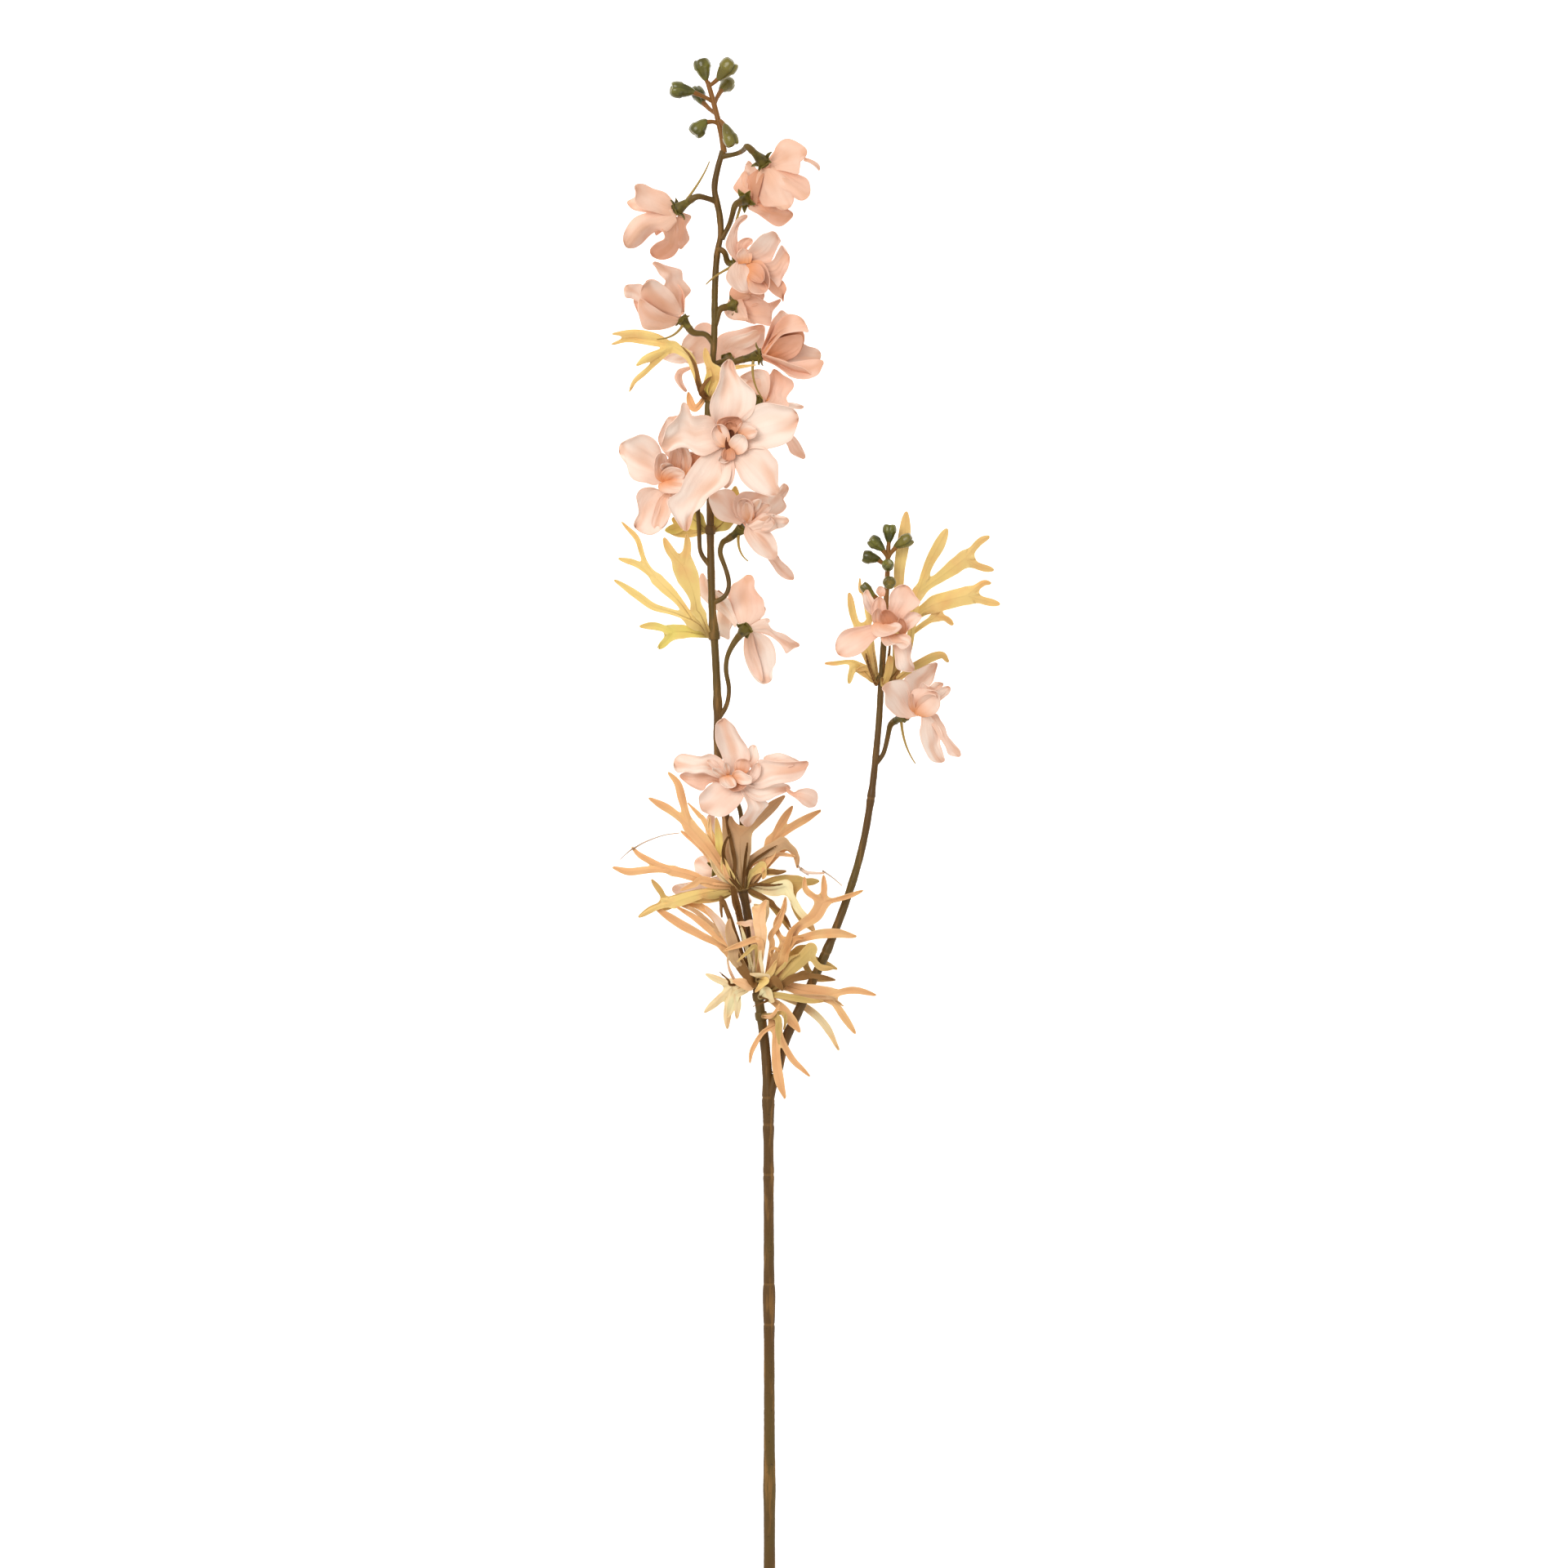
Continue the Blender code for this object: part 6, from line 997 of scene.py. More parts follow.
            (86, 481.2, 42, 9, cut(0.4, (71.2, 469.6), (73.6, 476.8), (75.6, 481.6), (78.8, 479.6),
                (82, 482), (86, 481.2), (84.4, 478.4), (80.8, 476), (76, 469.6)))],
        "heart": [
            (82.8, 477.2, 45, 15.6, cut(0.35, (71.6, 466.4), (68.8, 471.2), (69.6, 476),
                (72, 478.4), (75.2, 478.8), (79.2, 477.6), (82.8, 477.2), (84.4, 472.8),
                (84, 469.2), (81.6, 466), (77.6, 464.8), (74.4, 465.2), cup=0.2)),
            (71.2, 476, 44, 3.8, cut(1.3, (70.4, 467.2), (68.8, 471.2), (69.2, 474.8), (71.2, 476),
                (72, 472), (72.8, 467.2))),
            (82.4, 475.2, 43, 8.5, cut(0.6, (72, 467.2), (73.6, 472.8), (77.6, 476), (82.4, 475.2),
                (83.2, 471.2), (80, 467.2), (75.2, 465.2)))]},
}


# Small tools for points, frames and meshes

def vec(point):
    return np.array(point, dtype=float)


def unit(v):
    return v / np.maximum(np.linalg.norm(v, axis=-1, keepdims=True), 1e-9)


def smoothstep(low, high, value):
    t = np.clip((value - low) / (high - low), 0.0, 1.0)
    return t * t * (3 - 2 * t)


def perpendicular(axis):
    """Two unit vectors that make a right-handed frame with the axis."""
    other = vec((0, 1, 0)) if abs(axis[1]) < 0.8 else vec((1, 0, 0))
    first = unit(np.cross(other, axis))
    return first, np.cross(axis, first)


def hub_frame(axis):
    """The same turn from +Z to the axis as the part's source uses."""
    return np.array(Vector(axis).to_track_quat("Z", "Y").to_matrix())


def travelled(points):
    """Distance of each point of a line from its first point."""
    steps = np.linalg.norm(np.diff(points, axis=0), axis=1)
    return np.concatenate([[0], np.cumsum(steps)])


def bowed(start, middle, end, t):
    """Points of the bow from start to end that bends towards the middle."""
    return start * (1 - t) ** 2 + middle * 2 * t * (1 - t) + end * t ** 2


def spline(points, step):
    """Points every so many millimetres on a Catmull-Rom curve, with more values carried along."""
    points = np.array(points, dtype=float)
    out = []
    for i in range(len(points) - 1):
        p1, p2 = points[i], points[i + 1]
        p0 = points[i - 1] if i > 0 else 2 * p1 - p2
        p3 = points[i + 2] if i + 2 < len(points) else 2 * p2 - p1
        count = max(1, round(np.linalg.norm((p2 - p1)[:3]) / step))
        for k in range(count):
            t = k / count
            out.append(0.5 * (2 * p1 + (p2 - p0) * t + (2 * p0 - 5 * p1 + 4 * p2 - p3) * t ** 2
                              + (3 * p1 - p0 - 3 * p2 + p3) * t ** 3))
    out.append(points[-1])
    return np.array(out)


def eased(route):
    """A route with its bends rounded off and its ends kept."""
    padded = np.vstack([2 * route[0] - route[3:0:-1], route, 2 * route[-1] - route[-2:-5:-1]])
    return np.stack([np.convolve(padded[:, k], np.ones(7) / 7, "valid") for k in range(3)], 1)


def roughness(rng, size, count):
    """Small random bumps along a line, smoothed over five points."""
    return np.convolve(rng.normal(0, size, count + 4), np.ones(5) / 5, "valid")


class Skin:
    """Points, faces and looks of one piece while it is put together, in millimetres."""

    def __init__(self):
        self.points, self.faces, self.looks, self.kinds, self.slots = [], [], [], [], []
        self.count = 0

    def add(self, points, faces, looks, kind=(0.0, 0.0, 0.0), slot=0):
        points = np.asarray(points, dtype=float).reshape(-1, 3)
        self.points.append(points)
        self.faces += [tuple(int(i) + self.count for i in face) for face in faces]
        self.slots += [slot] * len(faces)
        self.looks.append(np.broadcast_to(np.asarray(looks, dtype=float), (len(points), 3)))
        self.kinds.append(np.broadcast_to(np.asarray(kind, dtype=float), (len(points), 3)))
        self.count += len(points)

    def piece(self, name, materials, replaced):
        """The piece itself, which rides on the part and takes the place of its solids."""
        points = (np.vstack(self.points) + FOOT) * MM
        mesh = bpy.data.meshes.new(name)
        mesh.from_pydata(points.tolist(), [], self.faces)
        mesh.polygons.foreach_set("material_index", np.array(self.slots, dtype=np.int32))
        for label, rows in (("look", self.looks), ("kind", self.kinds)):
            values = np.vstack(rows)
            layer = mesh.attributes.new(label, "FLOAT_VECTOR", "POINT")
            layer.data.foreach_set("vector", values.astype(np.float32).ravel())
        for material in materials:
            mesh.materials.append(material)
        mesh.validate()
        mesh.shade_smooth()
        mesh.set_sharp_from_angle(angle=math.radians(60))
        item = bpy.data.objects.new(name, mesh)
        bpy.context.scene.collection.objects.link(item)
        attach(item, "root")
        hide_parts(*replaced)
        return item


def grid_normals(points):
    """Unit normals of a grid of points, rows along, columns across."""
    return unit(np.cross(np.gradient(points, axis=1), np.gradient(points, axis=0)))


def add_sheet(skin, points, thickness, looks, kind):
    """A closed thin sheet round a grid of points of shape (rows, columns, 3)."""
    rows, columns = points.shape[:2]
    normals = grid_normals(points) * thickness / 2
    both = np.concatenate([(points + normals).reshape(-1, 3), (points - normals).reshape(-1, 3)])
    both[:, 2] = np.maximum(both[:, 2], 0.05)
    half = rows * columns
    index = np.arange(half).reshape(rows, columns)
    a, b = index[:-1, :-1].ravel(), index[:-1, 1:].ravel()
    c, d = index[1:, 1:].ravel(), index[1:, :-1].ravel()
    faces = np.concatenate([np.stack([a, b, c, d], 1), np.stack([d, c, b, a], 1) + half])
    rim = np.concatenate([index[0, :], index[1:, -1], index[-1, :-1][::-1], index[1:-1, 0][::-1]])
    after = np.roll(rim, -1)
    edge = np.stack([after, rim, rim + half, after + half], 1)
    values = np.concatenate([looks.reshape(-1, 3), looks.reshape(-1, 3)])
    skin.add(both, np.concatenate([faces, edge]).tolist(), values, kind)


def tube_faces(rows, sides):
    """Faces of a closed tube of rows of points, with a face over each end."""
    index = np.arange(rows * sides).reshape(rows, sides)
    after = np.roll(index, -1, axis=1)
    faces = np.stack([index[:-1].ravel(), after[:-1].ravel(), after[1:].ravel(),
                      index[1:].ravel()], 1).tolist()
    return [*faces, index[0][::-1].tolist(), index[-1].tolist()]


def sweep(skin, points, radii, sides, looks, kind, slot=0, fluting=0.0, flutes=5):
    """A closed round tube along the points, shallowly fluted where that is asked; the looks
    are one number, or one for each point."""
    points, radii = np.asarray(points, dtype=float), np.asarray(radii, dtype=float)
    tangents = unit(np.gradient(points, axis=0))
    first = perpendicular(tangents[0])[0]
    firsts = []
    for tangent in tangents:
        first = unit(first - tangent * first.dot(tangent))
        firsts.append(first)
    firsts = np.array(firsts)
    seconds = np.cross(tangents, firsts)
    angles = np.linspace(0, 2 * math.pi, sides, endpoint=False)
    ripple = 1 + fluting * np.cos(flutes * angles)
    ring = (firsts[:, None, :] * (np.cos(angles) * ripple)[None, :, None]
            + seconds[:, None, :] * (np.sin(angles) * ripple)[None, :, None])
    mesh_points = points[:, None, :] + ring * radii[:, None, None]
    along = travelled(points)
    values = np.zeros((len(points), sides, 3))
    values[..., 0] = (along / max(along[-1], 1e-6))[:, None]
    values[..., 1] = (angles / (2 * math.pi))[None, :]
    values[..., 2] = np.reshape(looks, (-1, 1))
    skin.add(mesh_points, tube_faces(len(points), sides), values.reshape(-1, 3), kind, slot)


# Petals

def petal_profile(part, claw, width, last, style):
    """Half width of a petal: a narrow claw that widens to a blade, round or pointed at its end."""
    point = style["point"]
    opening = np.sin(WIDEST_TURN * np.minimum(part, ROUND_FROM) ** style["claw"])
    far = np.clip((part - ROUND_FROM) / (last - ROUND_FROM), 0, 1)
    closing = (1 - point) * np.sqrt(np.maximum(1 - far ** 2, 0.0)) + point * (1 - far ** 1.5)
    return (claw * (1 - far) + (width - claw * (1 - far)) * opening * closing) / 2


def waves(turns, rates, shares, phases):
    """A sum of sine waves of several lengths."""
    return sum(share * np.sin(rate * turns + phase)
               for rate, share, phase in zip(rates, shares, phases))


def resampled(curve, parts):
    """Points of a line in plan at parts of its length."""
    along = travelled(curve)
    along /= along[-1]
    return np.stack([np.interp(parts, along, curve[:, k]) for k in range(2)], 1)


def two_sides(outline, parts):
    """The sides of a drawn petal, each from its root to the point farthest from the root."""
    curve = spline([(x, y, 0.0) for x, y in outline], 0.3)[:, :2]
    root = (curve[0] + curve[-1]) / 2
    tip = int(np.argmax(np.linalg.norm(curve - root, axis=1)))
    return resampled(curve[:tip + 1], parts), resampled(curve[tip:][::-1], parts), curve[tip]


def fitted(points, outline):
    """A petal's grid with its places in plan spread between the sides of its drawn outline; the
    heights stay, and the camera's view from above is allowed for."""
    rows, columns = points.shape[:2]
    parts = np.linspace(0.0, OUTLINE_REACH, rows)
    first, second, tip = two_sides(outline, parts)
    half = rows // 2
    left, right = points[half, 0, :2], points[half, -1, :2]
    straight = np.linalg.norm(first[half] - left) + np.linalg.norm(second[half] - right)
    crossed = np.linalg.norm(second[half] - left) + np.linalg.norm(first[half] - right)
    if crossed < straight:
        first, second = second, first
    v = np.linspace(-1.0, 1.0, columns)[None, :, None]
    plan = first[:, None] * (1 - v) / 2 + second[:, None] * (1 + v) / 2
    ahead = tip - (first + second) / 2
    gap = np.linalg.norm(ahead, axis=1)
    chord = np.linalg.norm(second - first, axis=1)
    bow = np.minimum(0.3 * chord, 0.95 * gap) * smoothstep(0.0, 1.0, parts)
    plan = plan + (unit(ahead) * bow[:, None])[:, None] * (1 - v ** 2)
    scale = (CAMERA_HEIGHT + STEM_LEVEL - points[..., 2:]) / CAMERA_HEIGHT
    middle = vec(VIEW_MIDDLE)[:2]
    return np.concatenate([middle + (plan - middle) * scale, points[..., 2:]], -1)


def petal_grid(reach, shift, style):
    """Places across a petal, and how far along it each point lies at the edges and inside."""
    u = np.linspace(0.0, 1.0, style["rows"])[:, None]
    v = np.linspace(-1.0, 1.0, style["columns"])[None, :]
    span = (reach - ROUND_FROM) / 1.014
    edge = u * (ROUND_FROM + 0.85 * span)
    arc = (1 - v ** 2) * (1 + 0.2 * np.sin(5 * v + shift))
    return v, edge, edge + 0.164 * span * smoothstep(0.0, 1.0, u) * arc


def petal_spine(start, bend, tip, part, axis, across):
    """Middle of a petal at each part of its length, with the ways sideways and inward there."""
    inside = np.minimum(part, 1.0)[..., None]
    along = unit((bend - start) * (1 - inside) + (tip - bend) * inside)
    beyond = (np.maximum(part, 1.0)[..., None] - 1.0) * np.linalg.norm(tip - start)
    middle = bowed(start, bend, tip, inside) + along * beyond
    turned = np.cross(along, axis)
    turned = np.where((turned @ across)[..., None] < 0, -turned, turned)
    steep = np.linalg.norm(turned, axis=-1, keepdims=True)
    turned = np.where(steep > 0.45, turned / np.maximum(steep, 1e-6), across)
    side = across * (1 - inside) + turned * inside
    side = unit(side - along * np.sum(side * along, axis=-1, keepdims=True))
    inward = np.cross(side, along)
    return middle, side, np.where((inward @ axis)[..., None] < 0, -inward, inward)


def petal_half(v, edge, part, claw, width, reach, phase, style):
    """Half width over a petal's grid, with wavy edges that differ on its two sides."""
    half = petal_profile(edge, claw, width, reach + 0.02, style) * np.ones_like(v)
    wobble = np.where(v < 0, waves(part, (5.0, 10.0, 21.0), (1, 0.45, 0.12), phase[1:4]),
                      waves(part, (5.2, 11.0, 19.0), (1, 0.45, 0.12), phase[4:7]))
    return half * (1 + style["wobble"] * wobble * smoothstep(0.15, 0.6, part))


def petal_lift(v, part, half, width, cup, phase, style):
    """How far the cloth stands off a petal's middle: cup, ruffles, tip, folds and crease."""
    lift = cup * half * (1.4 * v ** 2 - 0.4)
    ruffle = style["ruffle"] * width * smoothstep(0.2, 0.9, part) * np.abs(v) ** 2.2
    lift = lift + ruffle * np.where(v < 0, waves(part, (10.0, 23.0), (1, 0.35), phase[8:10]),
                                    waves(part, (11.0, 25.0), (1, 0.35), phase[10:12]))
    lift = lift + style["tip"] * width * smoothstep(0.6, 1.12, part) ** 2
    folds = np.cos(7.0 * v * (1.1 - 0.3 * part) + phase[12]) * smoothstep(0.05, 0.45, part)
    lift = lift + style["fold"] * width * folds * (1 - 0.5 * smoothstep(0.8, 1.1, part))
    line = v - 0.45 * math.sin(phase[13]) - 0.35 * (part - 0.5) * math.cos(phase[14])
    crease = np.exp(-(line / 0.13) ** 2) * smoothstep(0.1, 0.4, part)
    lift = lift - style["crease"] * width * crease * (1 - 0.7 * smoothstep(0.75, 1.0, part))
    soft = np.sin(v * 3.1 + phase[15] + 3 * part) * np.sin(5.2 * part + phase[9])
    return lift + style["soft"] * width * soft * smoothstep(0.15, 0.5, part)


def add_petal(skin, left, right, axis, tip, width, rise, rng, style, kind):
    """One petal, from its claw between two hub corners to its tip; its kind is the bloom's
    warmth, which is partly painted shade, how far in it stands, and the painted shade of its
    hollows."""
    start, across = (left + right) / 2, unit(right - left)
    length = np.linalg.norm(tip - start)
    level = tip - start
    level = level - axis * level.dot(axis)
    bend = start + axis * rise * length + level * PETAL_BEND
    reach = 1.0 + style["extend"] * width / length
    phase = rng.uniform(0, 2 * math.pi, 16)
    v, edge, part = petal_grid(reach, phase[0], style)
    middle, side, inward = petal_spine(start, bend, tip, part, axis, across)
    half = petal_half(v, edge, part, np.linalg.norm(right - left), width, reach, phase, style)
    twist = style["twist"] * rng.uniform(-1, 1)
    curl = style["curl"] * (1 + 0.8 * np.sin(6.0 * part + phase[7]))
    angle = twist * smoothstep(0.1, 1.0, part) + curl * np.abs(v) ** 2.2 * np.sign(v)
    turn_side = side * np.cos(angle)[..., None] + inward * np.sin(angle)[..., None]
    turn_up = inward * np.cos(angle)[..., None] - side * np.sin(angle)[..., None]
    lift = petal_lift(v, part, half, width, style["cup"], phase, style)
    points = middle + turn_side * (v * half)[..., None] + turn_up * lift[..., None]
    if style.get("outline"):
        points = fitted(points, style["outline"])
    points[..., 2] -= style.get("sink", 0.0) * smoothstep(0.0, 0.7, part)
    tone = style["tone"] + rng.uniform(-0.15, 0.15)
    looks = np.stack([np.clip(part / reach, 0, 1), v * np.ones_like(part),
                      np.full(part.shape, tone)], -1)
    # Painted shade: how far the cloth lies below its middle, so that its hollows are darkened in
    # the finish.
    hollow_shade = np.clip(0.5 - lift / (0.16 * width), 0, 1)
    kinds = np.stack([np.full(part.shape, kind[0]), np.full(part.shape, kind[1]), hollow_shade], -1)
    kinds = kinds.reshape(-1, 3)
    add_sheet(skin, points, PETAL_SHEET, looks, np.concatenate([kinds, kinds]))


def ring_corners(middle, axis, radius, petals):
    """The hub's corners and the petals in their order round the axis, as in the source."""
    turn = hub_frame(axis)
    count = len(petals)

    def bearing(petal):
        local = turn.T @ (vec(petal[:3]) - middle)
        return math.atan2(local[1], local[0])

    ordered = sorted(petals, key=bearing)
    drift = 0.0
    for index, petal in enumerate(ordered):
        off = bearing(petal) - 2 * math.pi * index / count
        drift += math.atan2(math.sin(off + math.pi), math.cos(off + math.pi)) / count
    corners = []
    for index in range(count):
        angle = drift - math.pi + 2 * math.pi * (index - 0.5) / count
        corners.append(middle + turn @ vec((math.cos(angle), math.sin(angle), 0.0)) * radius)
    return corners, ordered


def add_ring(skin, middle, axis, radius, petals, fullness, rise, rng, style, kind):
    """Petals that leave the hub side by side, every second one a little higher."""
    corners, ordered = ring_corners(middle, axis, radius, petals)
    for index, (*tip, width, cut_style) in enumerate(ordered):
        left, right = corners[index], corners[(index + 1) % len(corners)]
        shift = axis * PETAL_SHEET * 0.6 * (index % 2)
        own = {**style, **cut_style}
        add_petal(skin, left + shift, right + shift, axis, vec(tip),
                  width * fullness * own.get("wide", 1.0), rise, rng, own, kind)


def add_free(skin, middle, axis, radius, petals, rise, rng, style, kind):
    """Petals that leave the hub at whatever bearing their own tips have."""
    for *tip, width, cut_style in petals:
        flat = vec(tip) - middle
        flat = unit(flat - axis * flat.dot(axis))
        across = np.cross(axis, flat) * radius * 0.55
        root = middle + flat * radius * 0.7
        add_petal(skin, root - across, root + across, axis, vec(tip), width, rise, rng,
                  {**style, **cut_style}, kind)


def inner_tips(spec, middle):
    """Tips and widths of the small petals, set evenly round the axis, as in the source."""
    count, length = spec["inner"]
    axis = spec["face"]
    turn = hub_frame(axis)
    slopes = [math.acos(float(np.clip(unit(vec(petal[:3]) - middle).dot(axis), -1, 1)))
              for petal in spec["outer"]]
    slope = min(INNER_OPENING, max(min(slopes) - INNER_CLEARANCE, INNER_CLEARANCE))
    width = 2 * (INNER_HUB_RADIUS + length * math.sin(slope) * 0.45) * math.sin(math.pi / count)
    reach = INNER_HUB_RADIUS + length * math.sin(slope)
    tips = []
    for index in range(count):
        angle = 2 * math.pi * (index + 0.35) / count
        local = vec((math.cos(angle) * reach, math.sin(angle) * reach, length * math.cos(slope)))
        tips.append((*(middle + turn @ local), width, {}))
    return tips


def add_dome(skin, middle, axis, radius, height, looks, kind, sides=16, rings=6):
    """A low closed dome that stands on the plane square to the axis."""
    first, second = perpendicular(axis)
    points, faces = [], []
    for ring in range(rings):
        tilt = math.pi / 2 * ring / rings
        for side in range(sides):
            angle = 2 * math.pi * side / sides
            flat = first * math.cos(angle) + second * math.sin(angle)
            points.append(middle + flat * radius * math.cos(tilt) + axis * height * math.sin(tilt))
    points.append(middle + axis * height)
    for ring in range(rings - 1):
        for side in range(sides):
            after = (side + 1) % sides
            low, high = ring * sides, (ring + 1) * sides
            faces.append((low + side, low + after, high + after, high + side))
    last = (rings - 1) * sides
    for side in range(sides):
        faces.append((last + side, last + (side + 1) % sides, len(points) - 1))
    faces.append(tuple(range(sides))[::-1])
    skin.add(points, faces, looks, kind)


def make_petals(number, spec, material):
    """The outer petals, the layer on them, the heart and the throat of one bloom."""
    rng = np.random.default_rng(int(number) * 17 + 3)
    skin = Skin()
    hub, axis, rise, warmth_and_shade = spec["hub"], spec["face"], spec["rise"], WARMTH_AND_SHADE[number]
    more = DRESS[number]
    outer = [(*petal, own) for petal, own in zip(spec["outer"], more["outer"])]
    add_ring(skin, hub, axis, HUB_RADIUS, outer, PETAL_FULLNESS, rise, rng, OUTER_STYLE,
             (warmth_and_shade, 0.0, rng.uniform()))
    add_free(skin, hub + axis * LAYER_RISE, axis, HUB_RADIUS, more.get("layer", []), rise, rng,
             OUTER_STYLE, (warmth_and_shade, 0.25, rng.uniform()))
    raised = hub + axis * INNER_HUB_RISE
    deep = (warmth_and_shade, 1.0, rng.uniform())
    if "heart" in more:
        add_free(skin, raised, axis, INNER_HUB_RADIUS, more["heart"], INNER_RISE, rng,
                 INNER_STYLE, deep)
    else:
        add_ring(skin, raised, axis, INNER_HUB_RADIUS, inner_tips(spec, raised), INNER_FULLNESS,
                 INNER_RISE, rng, INNER_STYLE, deep)
    height = HEART_THROAT if "heart" in more else INNER_HUB_RISE
    add_dome(skin, hub - axis * 0.1, axis, more.get("throat", HUB_RADIUS), height,
             (0.3, 0.0, 1.1), (warmth_and_shade, 0.6, 0.5))
    skin.piece("bloom_" + number, [material], ["petals_" + number])


# Calyxes

def add_calyx_tube(skin, hub, turn, length, rng):
    """The ribbed tube, slim at the stalk and wider at its mouth."""
    sides, rows = 40, 22
    points = np.zeros((rows, sides, 3))
    looks = np.zeros((rows, sides, 3))
    for row in range(rows):
        part = row / (rows - 1)
        height = -length + (length + CALYX_MOUTH) * part
        base = 1.75 + 1.35 * smoothstep(0.1, 0.95, part) ** 1.2
        for side in range(sides):
            angle = 2 * math.pi * side / sides
            rib = math.cos(TOOTH_COUNT * angle)
            radius = base * (1 + 0.07 * rib * smoothstep(0.2, 0.9, part))
            local = vec((math.cos(angle) * radius, math.sin(angle) * radius, height))
            points[row, side] = hub + turn @ local
            looks[row, side] = (part, max(0.0, rib) ** 2, rng.uniform())
    skin.add(points, tube_faces(rows, sides), looks.reshape(-1, 3))


def add_tooth(skin, hub, turn, angle, share, rng):
    """One pointed tooth that lies along the back of the petals and turns up at its tip."""
    rows, columns = 10, 7
    reach = TOOTH_ROOT + (TOOTH_REACH - TOOTH_ROOT) * share * rng.uniform(0.92, 1.06)
    sway = rng.uniform(-0.12, 0.12)
    points = np.zeros((rows, columns, 3))
    looks = np.zeros((rows, columns, 3))
    for row in range(rows):
        part = row / (rows - 1)
        radius = 2.2 + (reach - 2.2) * part
        half = 1.55 * (1 - part ** 1.6) + 0.08
        height = CALYX_MOUTH - 0.35 - 1.5 * part - 0.5 * math.sin(math.pi * part)
        turned = angle + sway * part
        for column in range(columns):
            v = 2 * column / (columns - 1) - 1
            local = vec((math.cos(turned) * radius - math.sin(turned) * v * half,
                         math.sin(turned) * radius + math.cos(turned) * v * half,
                         height - 0.35 * v * v * half))
            points[row, column] = hub + turn @ local
            looks[row, column] = (1.0, abs(v), part)
    add_sheet(skin, points, TOOTH_SHEET, looks, (0.0, 1.0, 0.0))


def add_spur(skin, spec):
    """The thin bowed spur that leaves the tube."""
    root = spec["hub"] - spec["face"] * spec["tube"] * 0.45
    tip = spec["spur"]
    bow = (root + tip) / 2 - spec["face"] * SPUR_BOW
    t = np.linspace(0, 1, 24)[:, None]
    radii = SPUR_RADIUS * (1.6 - 1.0 * t[:, 0])
    sweep(skin, bowed(root, bow, tip, t), radii, 8, 0.8, (1.0, 0.0, 0.0))


def make_calyx(number, spec, material):
    """The green tube behind a bloom, with five pointed teeth and on some a spur."""
    rng = np.random.default_rng(int(number) * 29 + 5)
    skin = Skin()
    turn = hub_frame(spec["face"])
    add_calyx_tube(skin, spec["hub"], turn, spec["tube"], rng)
    for tooth in range(TOOTH_COUNT):
        angle = 2 * math.pi * tooth / TOOTH_COUNT
        add_tooth(skin, spec["hub"], turn, angle, TOOTH_SHARES.get(number, 1.0), rng)
    if spec["spur"] is not None:
        add_spur(skin, spec)
    skin.piece("receptacle_" + number, [material], ["calyx_" + number])


# Stems

def stem_radius(stem, along):
    """Radius of a stem at a distance along it, with its fuller foot and its swellings."""
    route, foot, tip, swellings = STEMS[stem]
    low, high = route[0][1], route[-1][1]
    radius = foot + (tip - foot) * (along - low) / (high - low)
    radius = radius + FOOT_FULLNESS * (1 - smoothstep(250, 430, along))
    for middle, half, extra in swellings:
        radius = radius + extra * np.exp(-((along - middle) / half) ** 2)
    return radius


def add_stem(skin, stem, seed):
    """A rough stem with the narrow rings of its joints."""
    route = spline(STEMS[stem][0], 1.0)
    rough = roughness(np.random.default_rng(seed), 0.11, len(route))
    rings = np.zeros(len(route))
    for ring in STEM_RINGS[stem]:
        rings = np.maximum(rings, np.exp(-((route[:, 1] - ring) / 0.8) ** 2))
    radii = stem_radius(stem, route[:, 1]) + rough - 0.25 * rings
    sweep(skin, route, radii, 24, rings, (0.0, 0.0, 0.0), fluting=0.04)


def add_pedicel(skin, spec, seed):
    """The stalk of one bloom, flared where it leaves the stem and below the green tube."""
    base = spec["hub"] - spec["face"] * (spec["tube"] + PEDICEL_GAP)
    route = eased(spline([*spec["pedicel"], base - spec["face"] * 3.0, base + spec["face"]], 1.0))
    along = travelled(route)
    radii = PEDICEL_RADIUS + 0.55 * np.exp(-along / 2.5) + 0.8 * np.exp((along - along[-1]) / 7)
    radii = radii + roughness(np.random.default_rng(seed), 0.06, len(route))
    sweep(skin, route, radii, 12, 0.0, (0.35, 0.0, 0.0), fluting=0.04, flutes=3)


def make_stems(material):
    for stem, seed in (("main", 1), ("side", 2)):
        skin = Skin()
        add_stem(skin, stem, seed)
        if stem == "main":
            fork = spline(FORK_ROUTE, 1.5)
            radii = np.full(len(fork), SIDE_FOOT_RADIUS) + 0.3 * np.exp(-np.arange(len(fork)) / 3)
            sweep(skin, fork, radii, 20, 0.0, (0.0, 0.0, 0.0), fluting=0.03)
        for number, spec in BLOOMS.items():
            if spec["stem"] == stem:
                add_pedicel(skin, spec, int(number) + 40)
        skin.piece(stem + "_cane", [material], [stem + "_stem"])


# Buds

